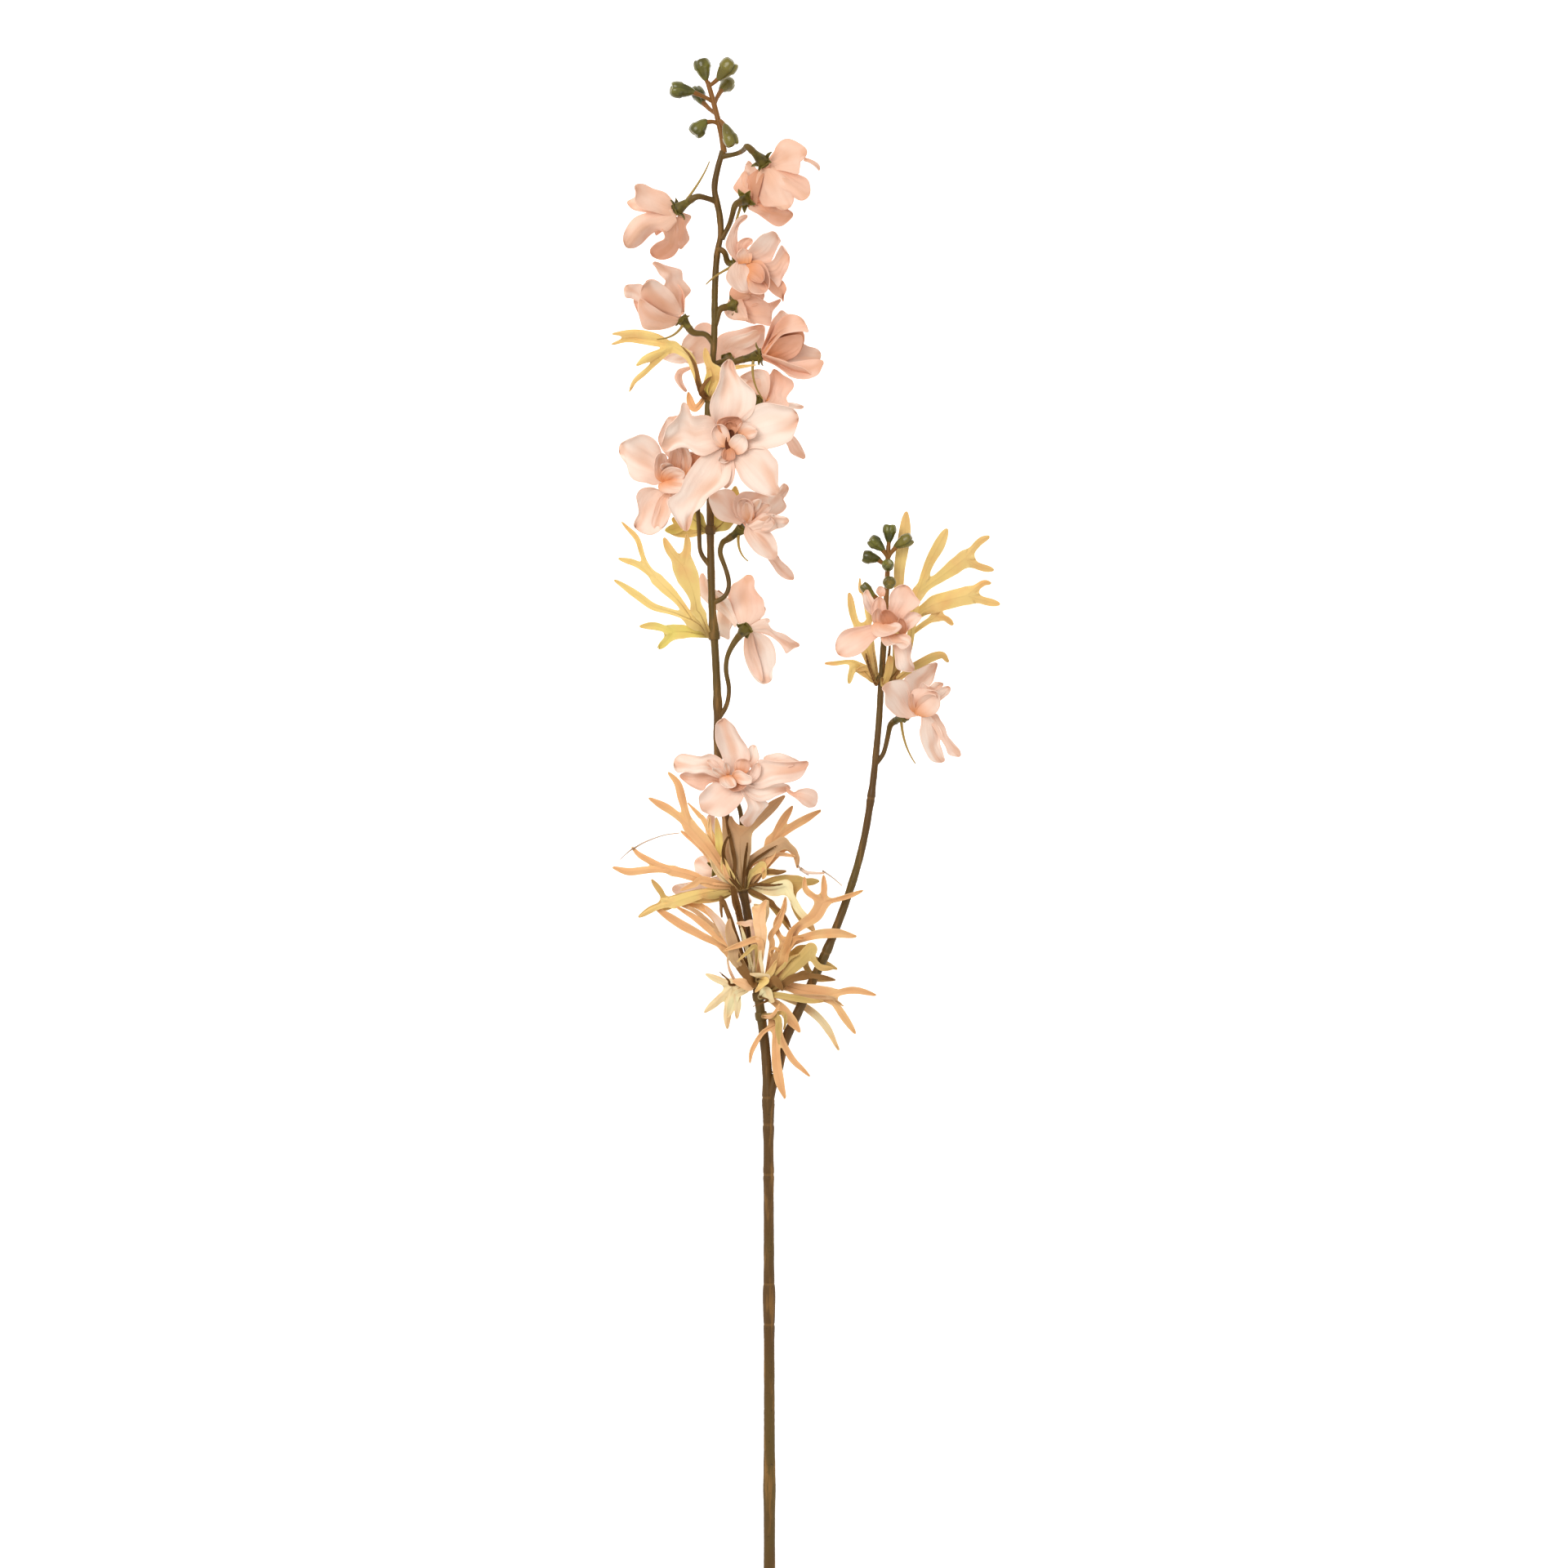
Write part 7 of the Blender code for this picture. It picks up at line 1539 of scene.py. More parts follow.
def add_bud(skin, middle, direction, length, width, rng):
    """A plump closed bud with three lobes, creased between them and notched at its tip."""
    sides, rows = 36, 26
    turn = hub_frame(unit(vec(direction)))
    start = rng.uniform(0, 2 * math.pi)
    bulge = rng.uniform(0.95, 1.05)
    points = np.zeros((rows, sides, 3))
    looks = np.zeros((rows, sides, 3))
    for row in range(rows):
        tilt = math.pi * (row + 0.5) / rows
        z = -math.cos(tilt)
        for side in range(sides):
            angle = 2 * math.pi * side / sides
            groove = abs(math.sin(1.5 * (angle - start)))
            crease = 1 - 0.16 * (1 - groove) ** 3 * smoothstep(-0.7, 0.9, z)
            slim = 0.84 + 0.2 * z - 0.1 * (1 - z) * (z < 0)
            radius = math.sin(tilt) ** 0.82 * slim * crease * width / 2 * bulge
            drop = (0.16 * smoothstep(0.75, 1.0, z) * (1 - math.sin(tilt)) * 2
                    + 0.09 * (1 - groove) ** 2 * smoothstep(0.3, 0.9, z))
            local = vec((math.cos(angle) * radius, math.sin(angle) * radius,
                         (z - drop) * length / 2))
            points[row, side] = middle + turn @ local
            looks[row, side] = (row / (rows - 1), 1 - groove, 0.0)
    looks[..., 2] = rng.uniform()
    skin.add(points, tube_faces(rows, sides), looks.reshape(-1, 3))


def make_buds(stem, rachis, buds, radius, materials, seed):
    """The buds at the tip of a stem, each on its stalk, and the stalk that carries them all."""
    rng = np.random.default_rng(seed)
    skin = Skin()
    points = spline(rachis, 1.2)
    points[0] -= unit(points[1] - points[0]) * STALK_OVERLAP
    taper = np.linspace(radius, radius * 0.8, len(points))
    sweep(skin, points, taper, 16, 0.0, (0.8, 0.0, 0.0), slot=1, fluting=0.03)
    for middle, direction, length, width, root in buds:
        length, width = length * BUD_FULLNESS[0], width * BUD_FULLNESS[1]
        heading = unit(vec(direction))
        end = vec(middle) - heading * length * 0.42
        stalk = [vec(root), (vec(root) + end) / 2 - heading * 0.6, end + heading * 1.2]
        route = spline(stalk, 0.8)
        radii = 1.0 + 0.5 * np.linspace(0, 1, len(route)) ** 3
        sweep(skin, route, radii, 10, 0.0, (0.8, 0.0, 0.0), slot=1)
        add_bud(skin, vec(middle), direction, length, width, rng)
    skin.piece("bud_head_" + stem, materials, ["buds_" + stem])


# Leaves

def leaf_samples(spec, root, width, out, path, blunt):
    """Close-set discs along every strip of a leaf: place, radius and distance from the root."""
    way = [root] + [vec(p) for p in spec["way"]]
    lengths = travelled(way)
    widest = spec["end"] * LEAF_FULLNESS
    curve = spline(np.column_stack([way, lengths / lengths[-1]]), 0.35)
    part = np.clip(curve[:, 3], 0, 1)
    own = width + (widest - width) * np.minimum(1.0, part * 1.3) ** spec["late"]
    if not spec["forks"]:
        far = np.clip((part - 0.45) / 0.55, 0, 1)
        own = own * (blunt * np.sqrt(1 - 0.92 * far ** 4) + (1 - blunt) * (1 - 0.86 * far ** 1.7))
    out.append(np.column_stack([curve[:, :3], own / 2, path + part * lengths[-1]]))
    for fork in spec["forks"]:
        leaf_samples(fork, way[-1], fork["start"], out, path + lengths[-1], blunt)


def blocks(discs):
    """The discs in blocks that are small enough to set against every spot at once."""
    return ((start, discs[start:start + 64]) for start in range(0, len(discs), 64))


def outside_leaf(spots, strips, crotch):
    """Distance outside the leaf's outline, with the crotches between strips rounded."""
    best = np.full(len(spots), FAR_OFF)
    for strip in strips:
        own = np.full(len(spots), FAR_OFF)
        for _, block in blocks(strip):
            gap = np.linalg.norm(spots[:, None, :] - block[None, :, :2], axis=2) - block[:, 3]
            own = np.minimum(own, gap.min(1))
        mixing = np.maximum(crotch - np.abs(best - own), 0.0) / crotch
        best = np.minimum(best, own) - mixing ** 2 * crotch / 4
    return best


def leaf_cells(samples, strips, crotch):
    """Spots and quads of the cells of a fine grid that the strips' discs cover."""
    reach = samples[:, 3].max() + 1.0
    low, high = samples[:, :2].min(0) - reach, samples[:, :2].max(0) + reach
    nx, ny = np.ceil((high - low) / LEAF_CELL).astype(int) + 1
    x = low[0] + LEAF_CELL * np.arange(nx)
    y = low[1] + LEAF_CELL * np.arange(ny)
    place = np.stack(np.meshgrid(x, y, indexing="ij"), -1).reshape(-1, 2)
    outside = outside_leaf(place, strips, crotch).reshape(nx, ny)
    centre = (outside[:-1, :-1] + outside[1:, :-1] + outside[:-1, 1:] + outside[1:, 1:]) / 4
    i, j = np.argwhere(centre < 0).T
    index = np.arange(nx * ny).reshape(nx, ny)
    quads = np.stack([index[i, j], index[i + 1, j], index[i + 1, j + 1], index[i, j + 1]], 1)
    used, quads = np.unique(quads, return_inverse=True)
    return place[used], quads.reshape(-1, 4)


def loose_edges(quads, count):
    """The edges that only one quad has, in face order."""
    edges = np.concatenate([quads[:, [0, 1]], quads[:, [1, 2]], quads[:, [2, 3]],
                            quads[:, [3, 0]]])
    keys = np.sort(edges, 1)
    _, first, counts = np.unique(keys[:, 0] * count + keys[:, 1], return_index=True,
                                 return_counts=True)
    return edges[first[counts == 1]]


def draw_to_outline(spots, border, strips, crotch):
    """Moves the border's spots onto the leaf's outline in three steps."""
    for _ in range(3):
        here = spots[border]
        gap = outside_leaf(here, strips, crotch)
        slope = np.stack([outside_leaf(here + step, strips, crotch) - gap
                          for step in ((0.05, 0), (0, 0.05))], 1)
        spots[border] = here - gap[:, None] * unit(slope)


def follow_discs(spots, samples):
    """Each spot's height, how far out it lies, and its distances from midrib and root, from
    the discs nearest to it."""
    count = len(spots)
    rows = np.arange(count)
    height, weight, sideways, along = (np.zeros(count) for _ in range(4))
    nearest = np.full(count, FAR_OFF)
    ahead = unit(np.gradient(samples[:, :2], axis=0))
    for start, block in blocks(samples):
        to = spots[:, None, :] - block[None, :, :2]
        gap = np.linalg.norm(to, axis=2)
        share = 1 / (gap ** 2 + 0.4) ** 2
        height += (share * block[:, 2]).sum(1)
        weight += share.sum(1)
        scaled = gap / np.maximum(block[:, 3], 0.3)
        which = scaled.argmin(1)
        better = scaled[rows, which] < nearest
        nearest = np.where(better, scaled[rows, which], nearest)
        turn, pick = ahead[start:start + 64][which], to[rows, which]
        sign = np.sign(turn[:, 0] * pick[:, 1] - turn[:, 1] * pick[:, 0])
        sideways = np.where(better, sign * gap[rows, which], sideways)
        along = np.where(better, block[which, 4], along)
    return height / weight, np.minimum(np.abs(nearest), 1.2), sideways, along


def add_leaf(skin, spec, tint, root, blunt, crotch, rng):
    """One cut leaf: a fine grid kept where the strips' discs cover it, and lifted to them."""
    strips = []
    leaf_samples(spec, root, min(spec["start"], LEAF_ROOT_WIDTH), strips, 0.0, blunt)
    samples = np.vstack(strips)
    spots, quads = leaf_cells(samples, strips, crotch)
    rim = loose_edges(quads, len(spots))
    draw_to_outline(spots, np.unique(rim), strips, crotch)
    height, out, sideways, along = follow_discs(spots, samples)
    total = samples[:, 4].max()
    fold = rng.uniform(*LEAF_FOLD) * (1 if rng.uniform() < 0.75 else -1)
    phase = rng.uniform(0, 2 * math.pi, 4)
    height += fold * (out ** 1.5 - 0.3) * 1.5
    height += MIDRIB_DEPTH * np.exp(-(sideways / 0.45) ** 2) * -np.sign(fold)
    height += 0.35 * np.sin(0.55 * along + phase[0] + (sideways > 0) * phase[1]) * out ** 2
    height += 0.5 * np.sin(0.16 * along + phase[2]) * smoothstep(0.1, 0.6, along / total)
    height = np.maximum(height, LEAF_SHEET / 2 + 0.02)
    looks = np.column_stack([along / total, np.abs(sideways), out])
    add_plate(skin, np.column_stack([spots, height]), quads, rim, LEAF_SHEET, looks,
              vec(tint) * rng.uniform(0.92, 1.06))


def add_plate(skin, surface, quads, rim, thickness, looks, kind):
    """A closed thin plate over a sheet of quads, given its loose edge in face order."""
    a, b, c, d = (surface[quads[:, k]] for k in range(4))
    facing = np.cross(c - a, d - b)
    normals = np.zeros_like(surface)
    for k in range(4):
        np.add.at(normals, quads[:, k], facing)
    normals = unit(normals) * thickness / 2
    half = len(surface)
    points = np.concatenate([surface + normals, surface - normals])
    points[:, 2] = np.maximum(points[:, 2], 0.02)
    edge = np.stack([rim[:, 1], rim[:, 0], rim[:, 0] + half, rim[:, 1] + half], 1)
    faces = np.concatenate([quads, quads[:, ::-1] + half, edge])
    skin.add(points, faces.tolist(), np.concatenate([looks, looks]), kind)


def add_collar(skin, middle, direction, radius):
    """The collar that the leaves grow from: an open ring with soft lips and small ribs."""
    first, second = perpendicular(direction)
    steps, sides = 12, 28
    points = []
    for side in range(sides):
        angle = 2 * math.pi * side / sides
        flat = first * math.cos(angle) + second * math.sin(angle)
        rib = 0.12 * math.cos(7 * angle)
        for step in range(steps):
            turn = 2 * math.pi * step / steps
            spread = radius + COLLAR_WALL / 2 * math.cos(turn)
            bulge = rib if spread > radius else 0.0
            points.append(middle + flat * (spread + bulge)
                          + direction * (COLLAR_LENGTH / 2 * math.sin(turn)))
    index = np.arange(sides * steps).reshape(sides, steps)
    after = np.roll(index, -1, axis=0)
    faces = np.stack([index.ravel(), after.ravel(), np.roll(after, -1, axis=1).ravel(),
                      np.roll(index, -1, axis=1).ravel()], 1).tolist()
    skin.add(points, faces, (0.0, 0.0, 0.15), slot=1)


def make_whorl(name, stem, along, leaves, materials):
    """One whorl: its collar on the stem, its leaves with their tints, and its loose threads."""
    rng = np.random.default_rng(int(along * 10))
    skin = Skin()
    route = spline(STEMS[stem][0], 1.0)
    index = int(np.argmin(np.abs(route[:, 1] - along)))
    middle = route[index]
    direction = unit(route[index + 1] - route[index - 1])
    radius = float(stem_radius(stem, along)) + COLLAR_GAP + COLLAR_WALL / 2
    add_collar(skin, middle, direction, radius)
    blunt, crotch = LEAF_FORMS.get(name, LEAF_FORM)
    for tint, leaf in leaves:
        outward = vec(leaf["way"][0]) - middle
        outward = unit(outward - direction * outward.dot(direction))
        add_leaf(skin, leaf, TINTS[tint], middle + outward * radius, blunt, crotch, rng)
    for tint, thick, way in THREADS.get(name, []):
        thread = spline(way, 0.6)
        radii = thick * (1.15 - 0.5 * np.linspace(0, 1, len(thread)))
        sweep(skin, thread, radii, 7, 0.5, TINTS[tint])
    skin.piece(name.replace("leaves", "whorl"), materials, [name])


# Finishes

class Shader:
    """A Principled material and the nodes that feed it."""

    def __init__(self, name, **values):
        self.material = bpy.data.materials.new(name)
        self.material.use_nodes = True
        self.tree = self.material.node_tree
        self.principled = self.tree.nodes["Principled BSDF"]
        for socket, value in values.items():
            self.principled.inputs[socket.replace("_", " ")].default_value = value

    def node(self, kind, settings=None, **inputs):
        node = self.tree.nodes.new("ShaderNode" + kind)
        for key, value in (settings or {}).items():
            setattr(node, key, value)
        for key, value in inputs.items():
            self.feed(node.inputs[key.replace("_", " ")], value)
        return node

    def feed(self, socket, value):
        if isinstance(value, bpy.types.NodeSocket):
            self.tree.links.new(value, socket)
        else:
            socket.default_value = value

    def math(self, operation, a, b=0.0, clamp=False):
        node = self.node("Math", {"operation": operation, "use_clamp": clamp})
        self.feed(node.inputs[0], a)
        self.feed(node.inputs[1], b)
        return node.outputs[0]

    def ramp(self, value, low, high, out_low=0.0, out_high=1.0):
        """The value taken smoothly from one range to another."""
        node = self.node("MapRange", {"interpolation_type": "SMOOTHSTEP"})
        for socket, number in zip(node.inputs, (value, low, high, out_low, out_high)):
            self.feed(socket, number)
        return node.outputs[0]

    def mix(self, factor, first, second):
        node = self.node("Mix", {"data_type": "RGBA"})
        self.feed(node.inputs[0], factor)
        for socket, value in ((node.inputs[6], first), (node.inputs[7], second)):
            self.feed(socket, (*value, 1.0) if isinstance(value, tuple) else value)
        return node.outputs[2]

    def noise(self, scale, detail=3.0, roughness=0.5, stretch=(1, 1, 1), offset=(0, 0, 0)):
        where = self.node("TexCoord").outputs["Object"]
        mapping = self.node("Mapping", Vector=where, Scale=stretch, Location=offset)
        node = self.node("TexNoise", Vector=mapping.outputs[0], Scale=scale, Detail=detail,
                         Roughness=roughness)
        return node.outputs["Fac"]

    def weave(self, scale):
        """Threads that cross at right angles."""
        where = self.node("TexCoord").outputs["Object"]
        threads = []
        for direction in ("X", "Y"):
            wave = self.node("TexWave", {"bands_direction": direction}, Vector=where, Scale=scale,
                             Distortion=1.2, Detail=1.0)
            threads.append(wave.outputs["Fac"])
        return self.math("MULTIPLY", threads[0], threads[1])

    def petal_folds(self, along, across, tone):
        """Long soft folds that run along a petal."""
        place = self.node("CombineXYZ", X=self.math("MULTIPLY", across, 1.2), Y=along,
                          Z=self.math("MULTIPLY", tone, 40.0))
        node = self.node("TexNoise", Vector=place.outputs[0], Scale=1.3, Detail=1.0,
                         Roughness=0.5, Distortion=0.4)
        return node.outputs["Fac"]

    def layer(self, name):
        """The three parts of one of the piece's own layers of values."""
        source = self.node("Attribute", {"attribute_name": name}).outputs["Vector"]
        return self.node("SeparateXYZ", Vector=source).outputs

    def colour(self, value):
        self.feed(self.principled.inputs["Base Color"], value)

    def roughness(self, value):
        self.feed(self.principled.inputs["Roughness"], value)

    def bump(self, height, strength, distance, before=None):
        node = self.node("Bump", Height=height, Strength=strength, Distance=distance * MM)
        if before is not None:
            self.feed(node.inputs["Normal"], before)
        self.feed(self.principled.inputs["Normal"], node.outputs[0])
        return node.outputs[0]


PETAL_PALE = (0.86, 0.73, 0.635)
PETAL_BLUSH = (0.82, 0.53, 0.405)
# Deep blush of veins and patches, and painted shade on the deepest-toned petals.
PETAL_DEEP = (0.54, 0.22, 0.11)
PETAL_SHADE = (0.70, 0.40, 0.26)
PETAL_THROAT = (0.74, 0.31, 0.12)
# Painted shadow in the slits between the heart's petals.
PETAL_PAINTED_SHADOW = (0.16, 0.045, 0.018)


def petal_cloth():
    """Creased cloth, paler or deeper by bloom and petal and partly by painted shade; deeper in
    the throat, in its own orange and in painted shade; painted shade in the hollows and folds.
    """
    s = Shader("petal_cloth", Roughness=0.85, Specular_IOR_Level=0.2)
    along, across, tone = s.layer("look")[:3]
    warmth_and_shade, inner, hollow_shade = s.layer("kind")[:3]
    cloudy = s.noise(60, 4)
    share = s.math("ADD", s.math("MULTIPLY", warmth_and_shade, 0.75),
                   s.math("MULTIPLY", s.math("SUBTRACT", cloudy, 0.5), 1.6))
    share = s.math("ADD", share, s.math("MULTIPLY", s.math("SUBTRACT", tone, 0.5), 0.7), True)
    colour = s.mix(share, PETAL_PALE, PETAL_BLUSH)
    # Painted shade in the petal's hollows.
    colour = s.mix(s.ramp(hollow_shade, 0.52, 0.95, 0.0, 0.7), colour, PETAL_SHADE)
    # Painted shade, more on the warmer blooms.
    colour = s.mix(s.ramp(warmth_and_shade, 0.6, 1.0, 0.0, 0.3), colour, PETAL_SHADE)
    patch = s.math("MULTIPLY", s.ramp(s.noise(34, 3, offset=(3, 1, 0)), 0.5, 0.72, 0.0, 0.6),
                   warmth_and_shade)
    colour = s.mix(patch, colour, PETAL_DEEP)
    edge = s.ramp(s.math("ABSOLUTE", across), 0.8, 1.0, 0.0, 0.35)
    colour = s.mix(edge, colour, PETAL_BLUSH)
    # Deeper orange towards the claw, more on the inner petals: the throat's own colour, and painted
    # shade in the bloom's centre.
    throat = s.math("MULTIPLY", s.ramp(along, 0.0, 0.55, 0.95, 0.1),
                    s.math("ADD", s.math("MULTIPLY", inner, 0.75), 0.25), True)
    colour = s.mix(throat, colour, PETAL_THROAT)
    folds = s.petal_folds(along, across, tone)
    # Painted shade along the long folds, which the same noise also raises as relief.
    colour = s.mix(s.ramp(folds, 0.5, 0.75, 0.0, 0.3), colour, PETAL_SHADE)
    wander = s.math("MULTIPLY", s.noise(150, 2), 5.0)
    veins = s.math("SINE", s.math("ADD", s.math("MULTIPLY", across, 22.0), wander))
    veins = s.math("MULTIPLY", s.ramp(veins, 0.3, 1.0), s.ramp(along, 0.8, 0.1))
    colour = s.mix(s.math("MULTIPLY", veins, 0.05), colour, PETAL_DEEP)
    # Painted shade: a tone above 1 deepens a petal, and above 2 paints the dark shadow of a slit.
    colour = s.mix(s.ramp(tone, 1.0, 2.0, 0.0, 0.85), colour, PETAL_DEEP)
    colour = s.mix(s.ramp(tone, 2.0, 2.6, 0.0, 1.0), colour, PETAL_PAINTED_SHADOW)
    s.colour(colour)
    s.roughness(s.ramp(cloudy, 0.3, 0.7, 0.75, 0.92))
    crepe = s.bump(s.noise(300, 4), 0.35, 0.6)
    crepe = s.bump(veins, 0.2, 0.2, crepe)
    crepe = s.bump(folds, 0.6, 1.8, crepe)
    s.bump(s.weave(900), 0.15, 0.08, crepe)
    return s.material


LEAF_ROOT = (0.19, 0.10, 0.025)
LEAF_RIB = (0.22, 0.10, 0.025)
LEAF_TIP = (0.68, 0.34, 0.14)
# Pale colour of the random patches, and of the painted highlight along the edges.
LEAF_PALE_AND_HIGHLIGHT = (0.82, 0.62, 0.28)


def leaf_cloth():
    """Dyed cloth in each leaf's own colour, with lighter tips and paler patches, a painted
    highlight along the edges, a dark rib, and a root darker in its own brown and in painted shade.
    """
    s = Shader("leaf_cloth", Roughness=0.75, Specular_IOR_Level=0.15)
    along, beside, out = s.layer("look")[:3]
    own = s.node("Attribute", {"attribute_name": "kind"}).outputs["Color"]
    light = s.ramp(s.layer("kind")[0], 0.25, 0.7, 0.1, 1.0)
    blotch = s.noise(90, 4)
    colour = s.mix(s.math("MULTIPLY", s.ramp(blotch, 0.45, 0.75, 0.0, 0.5), light), own, LEAF_TIP)
    patch = s.ramp(s.noise(55, 2, offset=(2, 5, 0)), 0.48, 0.7, 0.0, 0.35)
    colour = s.mix(s.math("MULTIPLY", patch, light), colour, LEAF_PALE_AND_HIGHLIGHT)
    tip = s.ramp(along, 0.7, 1.0, 0.0, 0.4)
    colour = s.mix(s.math("MULTIPLY", tip, light), colour, LEAF_TIP)
    # Painted highlight along the leaf's edges.
    edge = s.ramp(out, 0.7, 1.0, 0.0, 0.25)
    colour = s.mix(s.math("MULTIPLY", edge, light), colour, LEAF_PALE_AND_HIGHLIGHT)
    # Darker towards the root: the root's own brown, and painted shade near the hub.
    colour = s.mix(s.ramp(along, 0.0, 0.22, 0.7, 0.0), colour, LEAF_ROOT)
    rib = s.math("MULTIPLY", s.ramp(beside, 0.1, 0.5, 0.9, 0.0), s.ramp(along, 0.1, 0.5, 1, 0.12))
    colour = s.mix(rib, colour, LEAF_RIB)
    s.colour(colour)
    s.roughness(s.ramp(blotch, 0.3, 0.7, 0.6, 0.8))
    first = s.bump(s.noise(420, 3), 0.35, 0.4)
    s.bump(s.weave(900), 0.15, 0.08, first)
    return s.material


BARK_BROWN = (0.095, 0.046, 0.010)
BARK_OLIVE = (0.105, 0.066, 0.011)
BARK_TAN = (0.27, 0.135, 0.035)
BARK_DARK = (0.030, 0.013, 0.004)
PEDICEL_GREEN = (0.120, 0.072, 0.012)
STALK_RUST = (0.25, 0.098, 0.018)


def cane_bark():
    """Streaked brown bark that turns green towards a bloom and rusty on a bud's stalk."""
    s = Shader("cane_bark", Roughness=0.5, Specular_IOR_Level=0.25)
    along, _, ring = s.layer("look")[:3]
    part = s.layer("kind")[0]
    streaks = s.noise(260, 4, 0.6, stretch=(1, 0.12, 1))
    colour = s.mix(s.ramp(s.noise(22, 3, stretch=(1, 0.5, 1)), 0.4, 0.62), BARK_BROWN, BARK_OLIVE)
    colour = s.mix(s.ramp(streaks, 0.5, 0.72, 0.0, 0.75), colour, BARK_TAN)
    colour = s.mix(s.ramp(s.noise(900, 2), 0.62, 0.75, 0.0, 0.6), colour, BARK_DARK)
    colour = s.mix(s.ramp(ring, 0.3, 1.0, 0.0, 0.3), colour, BARK_TAN)
    stalk = s.ramp(part, 0.2, 0.35)
    green = s.math("MULTIPLY", stalk, s.ramp(along, 0.3, 0.9, 0.15, 0.9))
    green = s.math("MULTIPLY", green, s.ramp(part, 0.36, 0.55, 1.0, 0.0))
    colour = s.mix(green, colour, PEDICEL_GREEN)
    colour = s.mix(s.ramp(part, 0.5, 0.8, 0.0, 0.7), colour, STALK_RUST)
    s.colour(colour)
    s.roughness(s.ramp(streaks, 0.3, 0.75, 0.38, 0.65))
    first = s.bump(streaks, 0.6, 0.5)
    s.bump(s.noise(1500, 2), 0.25, 0.15, first)
    return s.material


BUD_GREEN = (0.135, 0.130, 0.018)
BUD_DARK = (0.045, 0.046, 0.007)
BUD_TAN = (0.26, 0.19, 0.035)


def bud_gloss():
    """Glossy green, dark along the creases and paler at the tip."""
    s = Shader("bud_gloss", Roughness=0.22, Specular_IOR_Level=0.45)
    along, crease, tone = s.layer("look")[:3]
    colour = s.mix(s.ramp(s.noise(120, 3), 0.35, 0.65), BUD_GREEN, BUD_DARK)
    colour = s.mix(s.ramp(tone, 0.3, 1.0, 0.0, 0.35), colour, BUD_TAN)
    colour = s.mix(s.ramp(crease, 0.7, 1.0, 0.0, 0.75), colour, BUD_DARK)
    colour = s.mix(s.ramp(along, 0.86, 1.0, 0.0, 0.5), colour, BUD_TAN)
    s.colour(colour)
    s.roughness(s.ramp(s.noise(300, 2), 0.3, 0.7, 0.15, 0.3))
    s.bump(s.noise(700, 3), 0.3, 0.25)
    return s.material


CALYX_OLIVE = (0.110, 0.082, 0.010)
# Pale olive of the mottling, and the painted highlight along the teeth's edges.
CALYX_LIGHT = (0.24, 0.19, 0.035)
CALYX_DARK = (0.050, 0.036, 0.005)
SPUR_TAN = (0.34, 0.23, 0.06)


def calyx_plastic():
    """Mottled olive plastic with a painted highlight along the edges of its teeth, and a tan spur.
    """
    s = Shader("calyx_plastic", Roughness=0.45, Specular_IOR_Level=0.25)
    rib = s.layer("look")[1]
    spur, tooth = s.layer("kind")[:2]
    colour = s.mix(s.ramp(s.noise(240, 4), 0.4, 0.7), CALYX_OLIVE, CALYX_DARK)
    colour = s.mix(s.ramp(s.noise(140, 2, offset=(4, 0, 1)), 0.5, 0.75, 0.0, 0.7), colour,
                   CALYX_LIGHT)
    # Painted highlight along the edges of the teeth.
    colour = s.mix(s.math("MULTIPLY", tooth, s.ramp(rib, 0.6, 1.0, 0.0, 0.4)), colour,
                   CALYX_LIGHT)
    colour = s.mix(spur, colour, SPUR_TAN)
    s.colour(colour)
    s.roughness(s.ramp(s.noise(500, 2), 0.3, 0.7, 0.36, 0.6))
    s.bump(s.noise(600, 3), 0.5, 0.4)
    return s.material


# Floor, lights and camera

def make_floor():
    mesh = bpy.data.meshes.new("floor")
    corners = [(x * FLOOR_HALF, y * FLOOR_HALF, FLOOR_LEVEL)
               for x, y in ((-1, -1), (1, -1), (1, 1), (-1, 1))]
    mesh.from_pydata(corners, [], [(0, 1, 2, 3)])
    floor = bpy.data.objects.new("floor", mesh)
    bpy.context.scene.collection.objects.link(floor)
    paper = Shader("floor_paper", Roughness=0.95, Base_Color=(0.93, 0.93, 0.93, 1.0),
                   Emission_Color=(1.0, 1.0, 1.0, 1.0), Emission_Strength=FLOOR_GLOW)
    mesh.materials.append(paper.material)


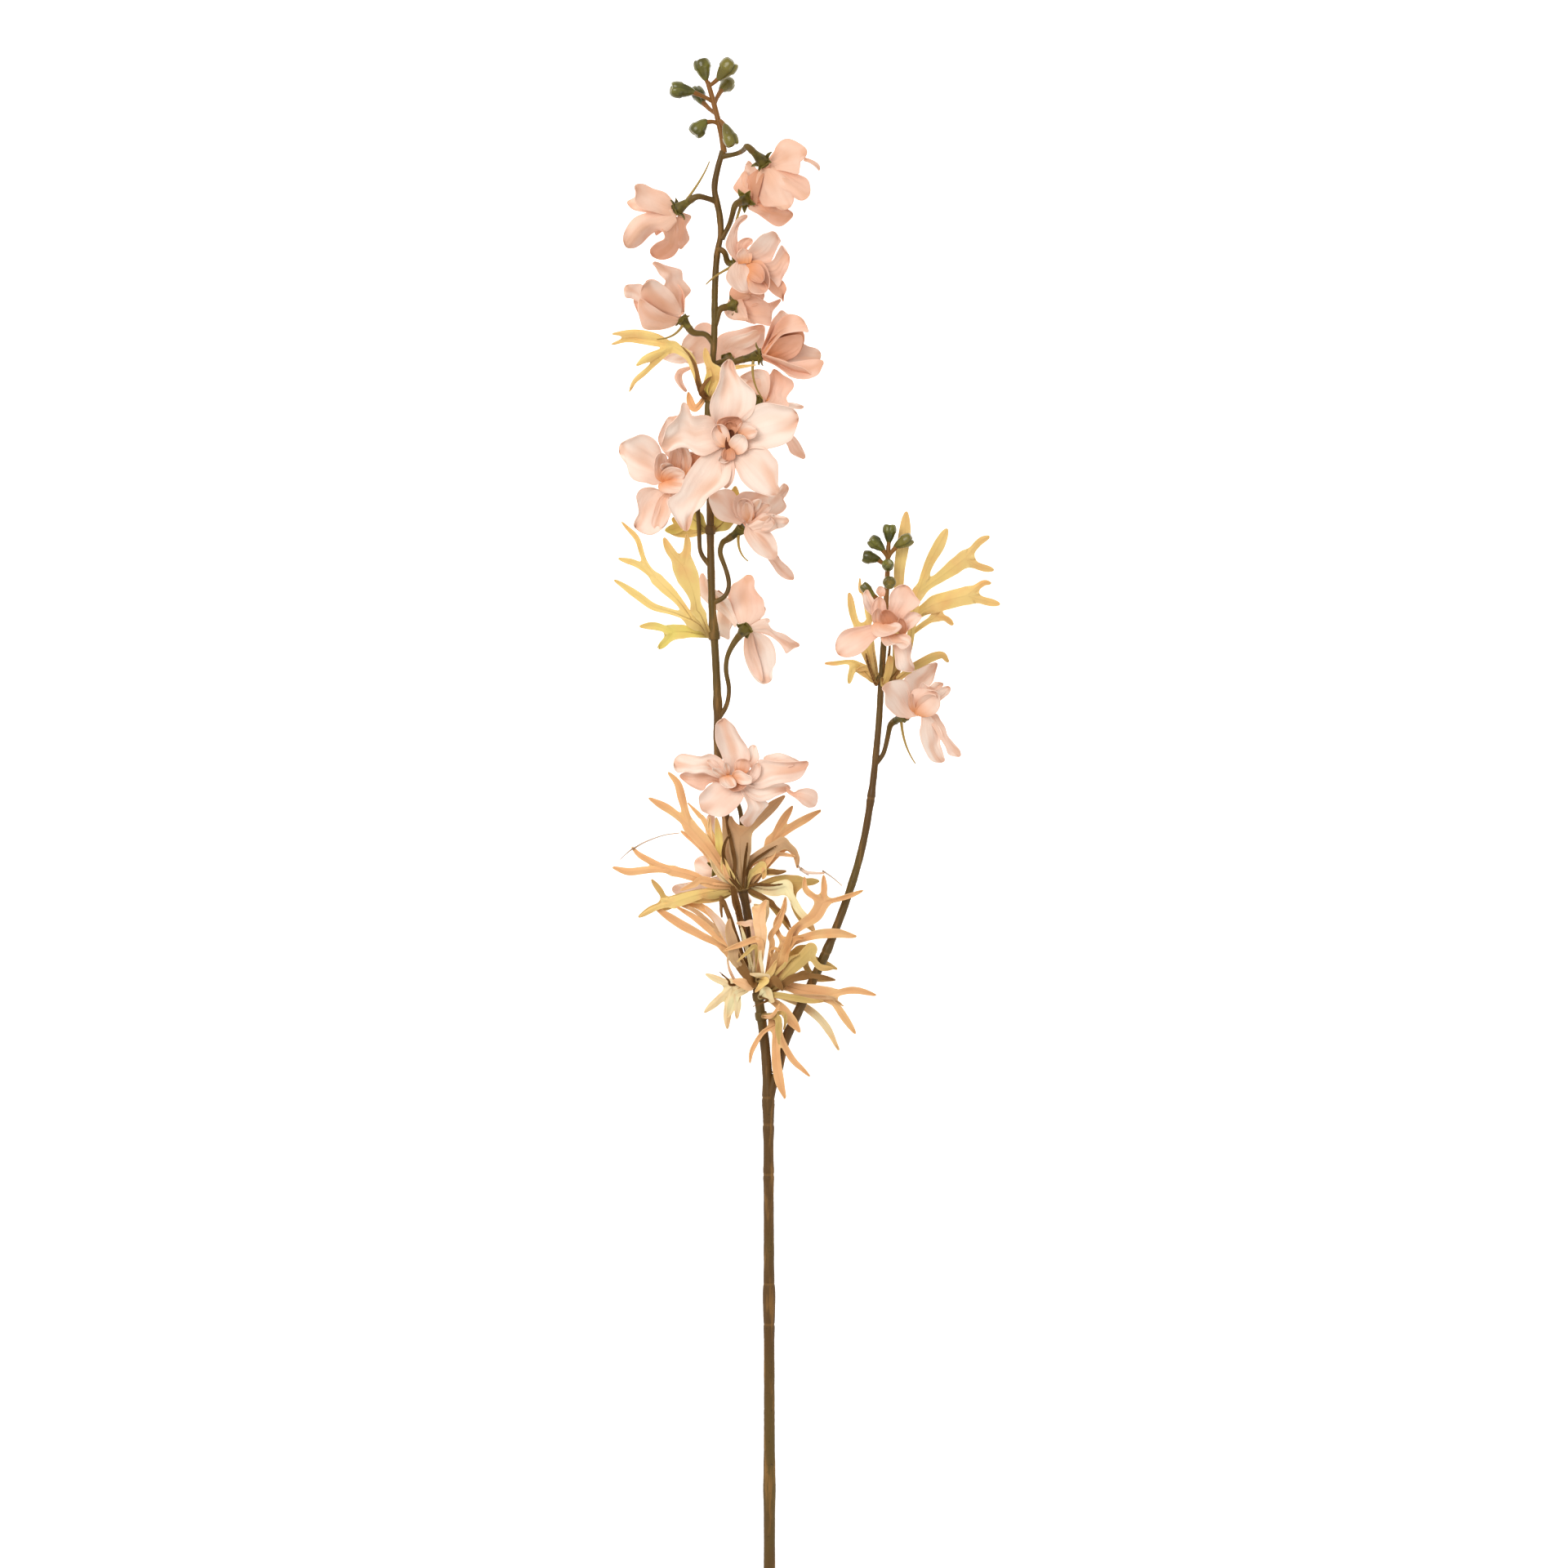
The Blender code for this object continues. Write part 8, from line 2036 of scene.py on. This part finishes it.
def area_light(name, place, target, size, watts, colour):
    data = bpy.data.lights.new(name, "AREA")
    data.shape = "DISK"
    data.size = size
    data.energy = watts
    data.color = colour
    lamp = bpy.data.objects.new(name, data)
    bpy.context.scene.collection.objects.link(lamp)
    lamp.location = place
    lamp.rotation_mode = "QUATERNION"
    lamp.rotation_quaternion = (Vector(target) - Vector(place)).to_track_quat("-Z", "Y")


def make_light():
    """An even sky, a large lamp above and to the left, and a weaker one across from it."""
    world = bpy.data.worlds.new("studio")
    world.use_nodes = True
    back = world.node_tree.nodes["Background"]
    back.inputs["Color"].default_value = (1.0, 0.975, 0.955, 1.0)
    back.inputs["Strength"].default_value = WORLD_LIGHT
    bpy.context.scene.world = world
    middle = (0.0, 0.1, 0.03)
    area_light("key", (-1.1, 1.0, 2.5), middle, 2.0, KEY_WATTS, (1.0, 0.985, 0.97))
    area_light("fill", (1.6, -0.9, 2.0), middle, 1.8, FILL_WATTS, (1.0, 0.97, 0.94))
    bpy.context.scene.view_settings.view_transform = "Standard"


def make_camera():
    """Straight above, with the frame's middle at the middle of the photograph."""
    data = bpy.data.cameras.new("camera")
    camera = bpy.data.objects.new("camera", data)
    bpy.context.scene.collection.objects.link(camera)
    camera.location = (vec(VIEW_MIDDLE) + FOOT) * MM
    camera.location.z = (CAMERA_HEIGHT + STEM_LEVEL) * MM
    data.sensor_width = SENSOR_WIDTH
    data.lens = SENSOR_WIDTH * CAMERA_HEIGHT / VIEW_WIDTH
    data.clip_start, data.clip_end = 0.1, 20.0
    bpy.context.scene.camera = camera


def main():
    make_camera()
    make_light()
    make_floor()
    bark, green = cane_bark(), bud_gloss()
    blush, olive, amber = petal_cloth(), calyx_plastic(), leaf_cloth()
    make_stems(bark)
    make_buds("main", MAIN_RACHIS, MAIN_BUDS, STEM_TIP_RADIUS, [green, bark], 11)
    make_buds("side", SIDE_RACHIS, SIDE_BUDS, SIDE_TIP_RADIUS, [green, bark], 12)
    for number, spec in BLOOMS.items():
        make_petals(number, spec, blush)
        make_calyx(number, spec, olive)
    for name, (stem, along, leaves) in WHORLS.items():
        tinted = [*zip(LEAF_TINTS[name], leaves), *EXTRA_LEAVES.get(name, [])]
        make_whorl(name, stem, along, tinted, [amber, bark])


main()
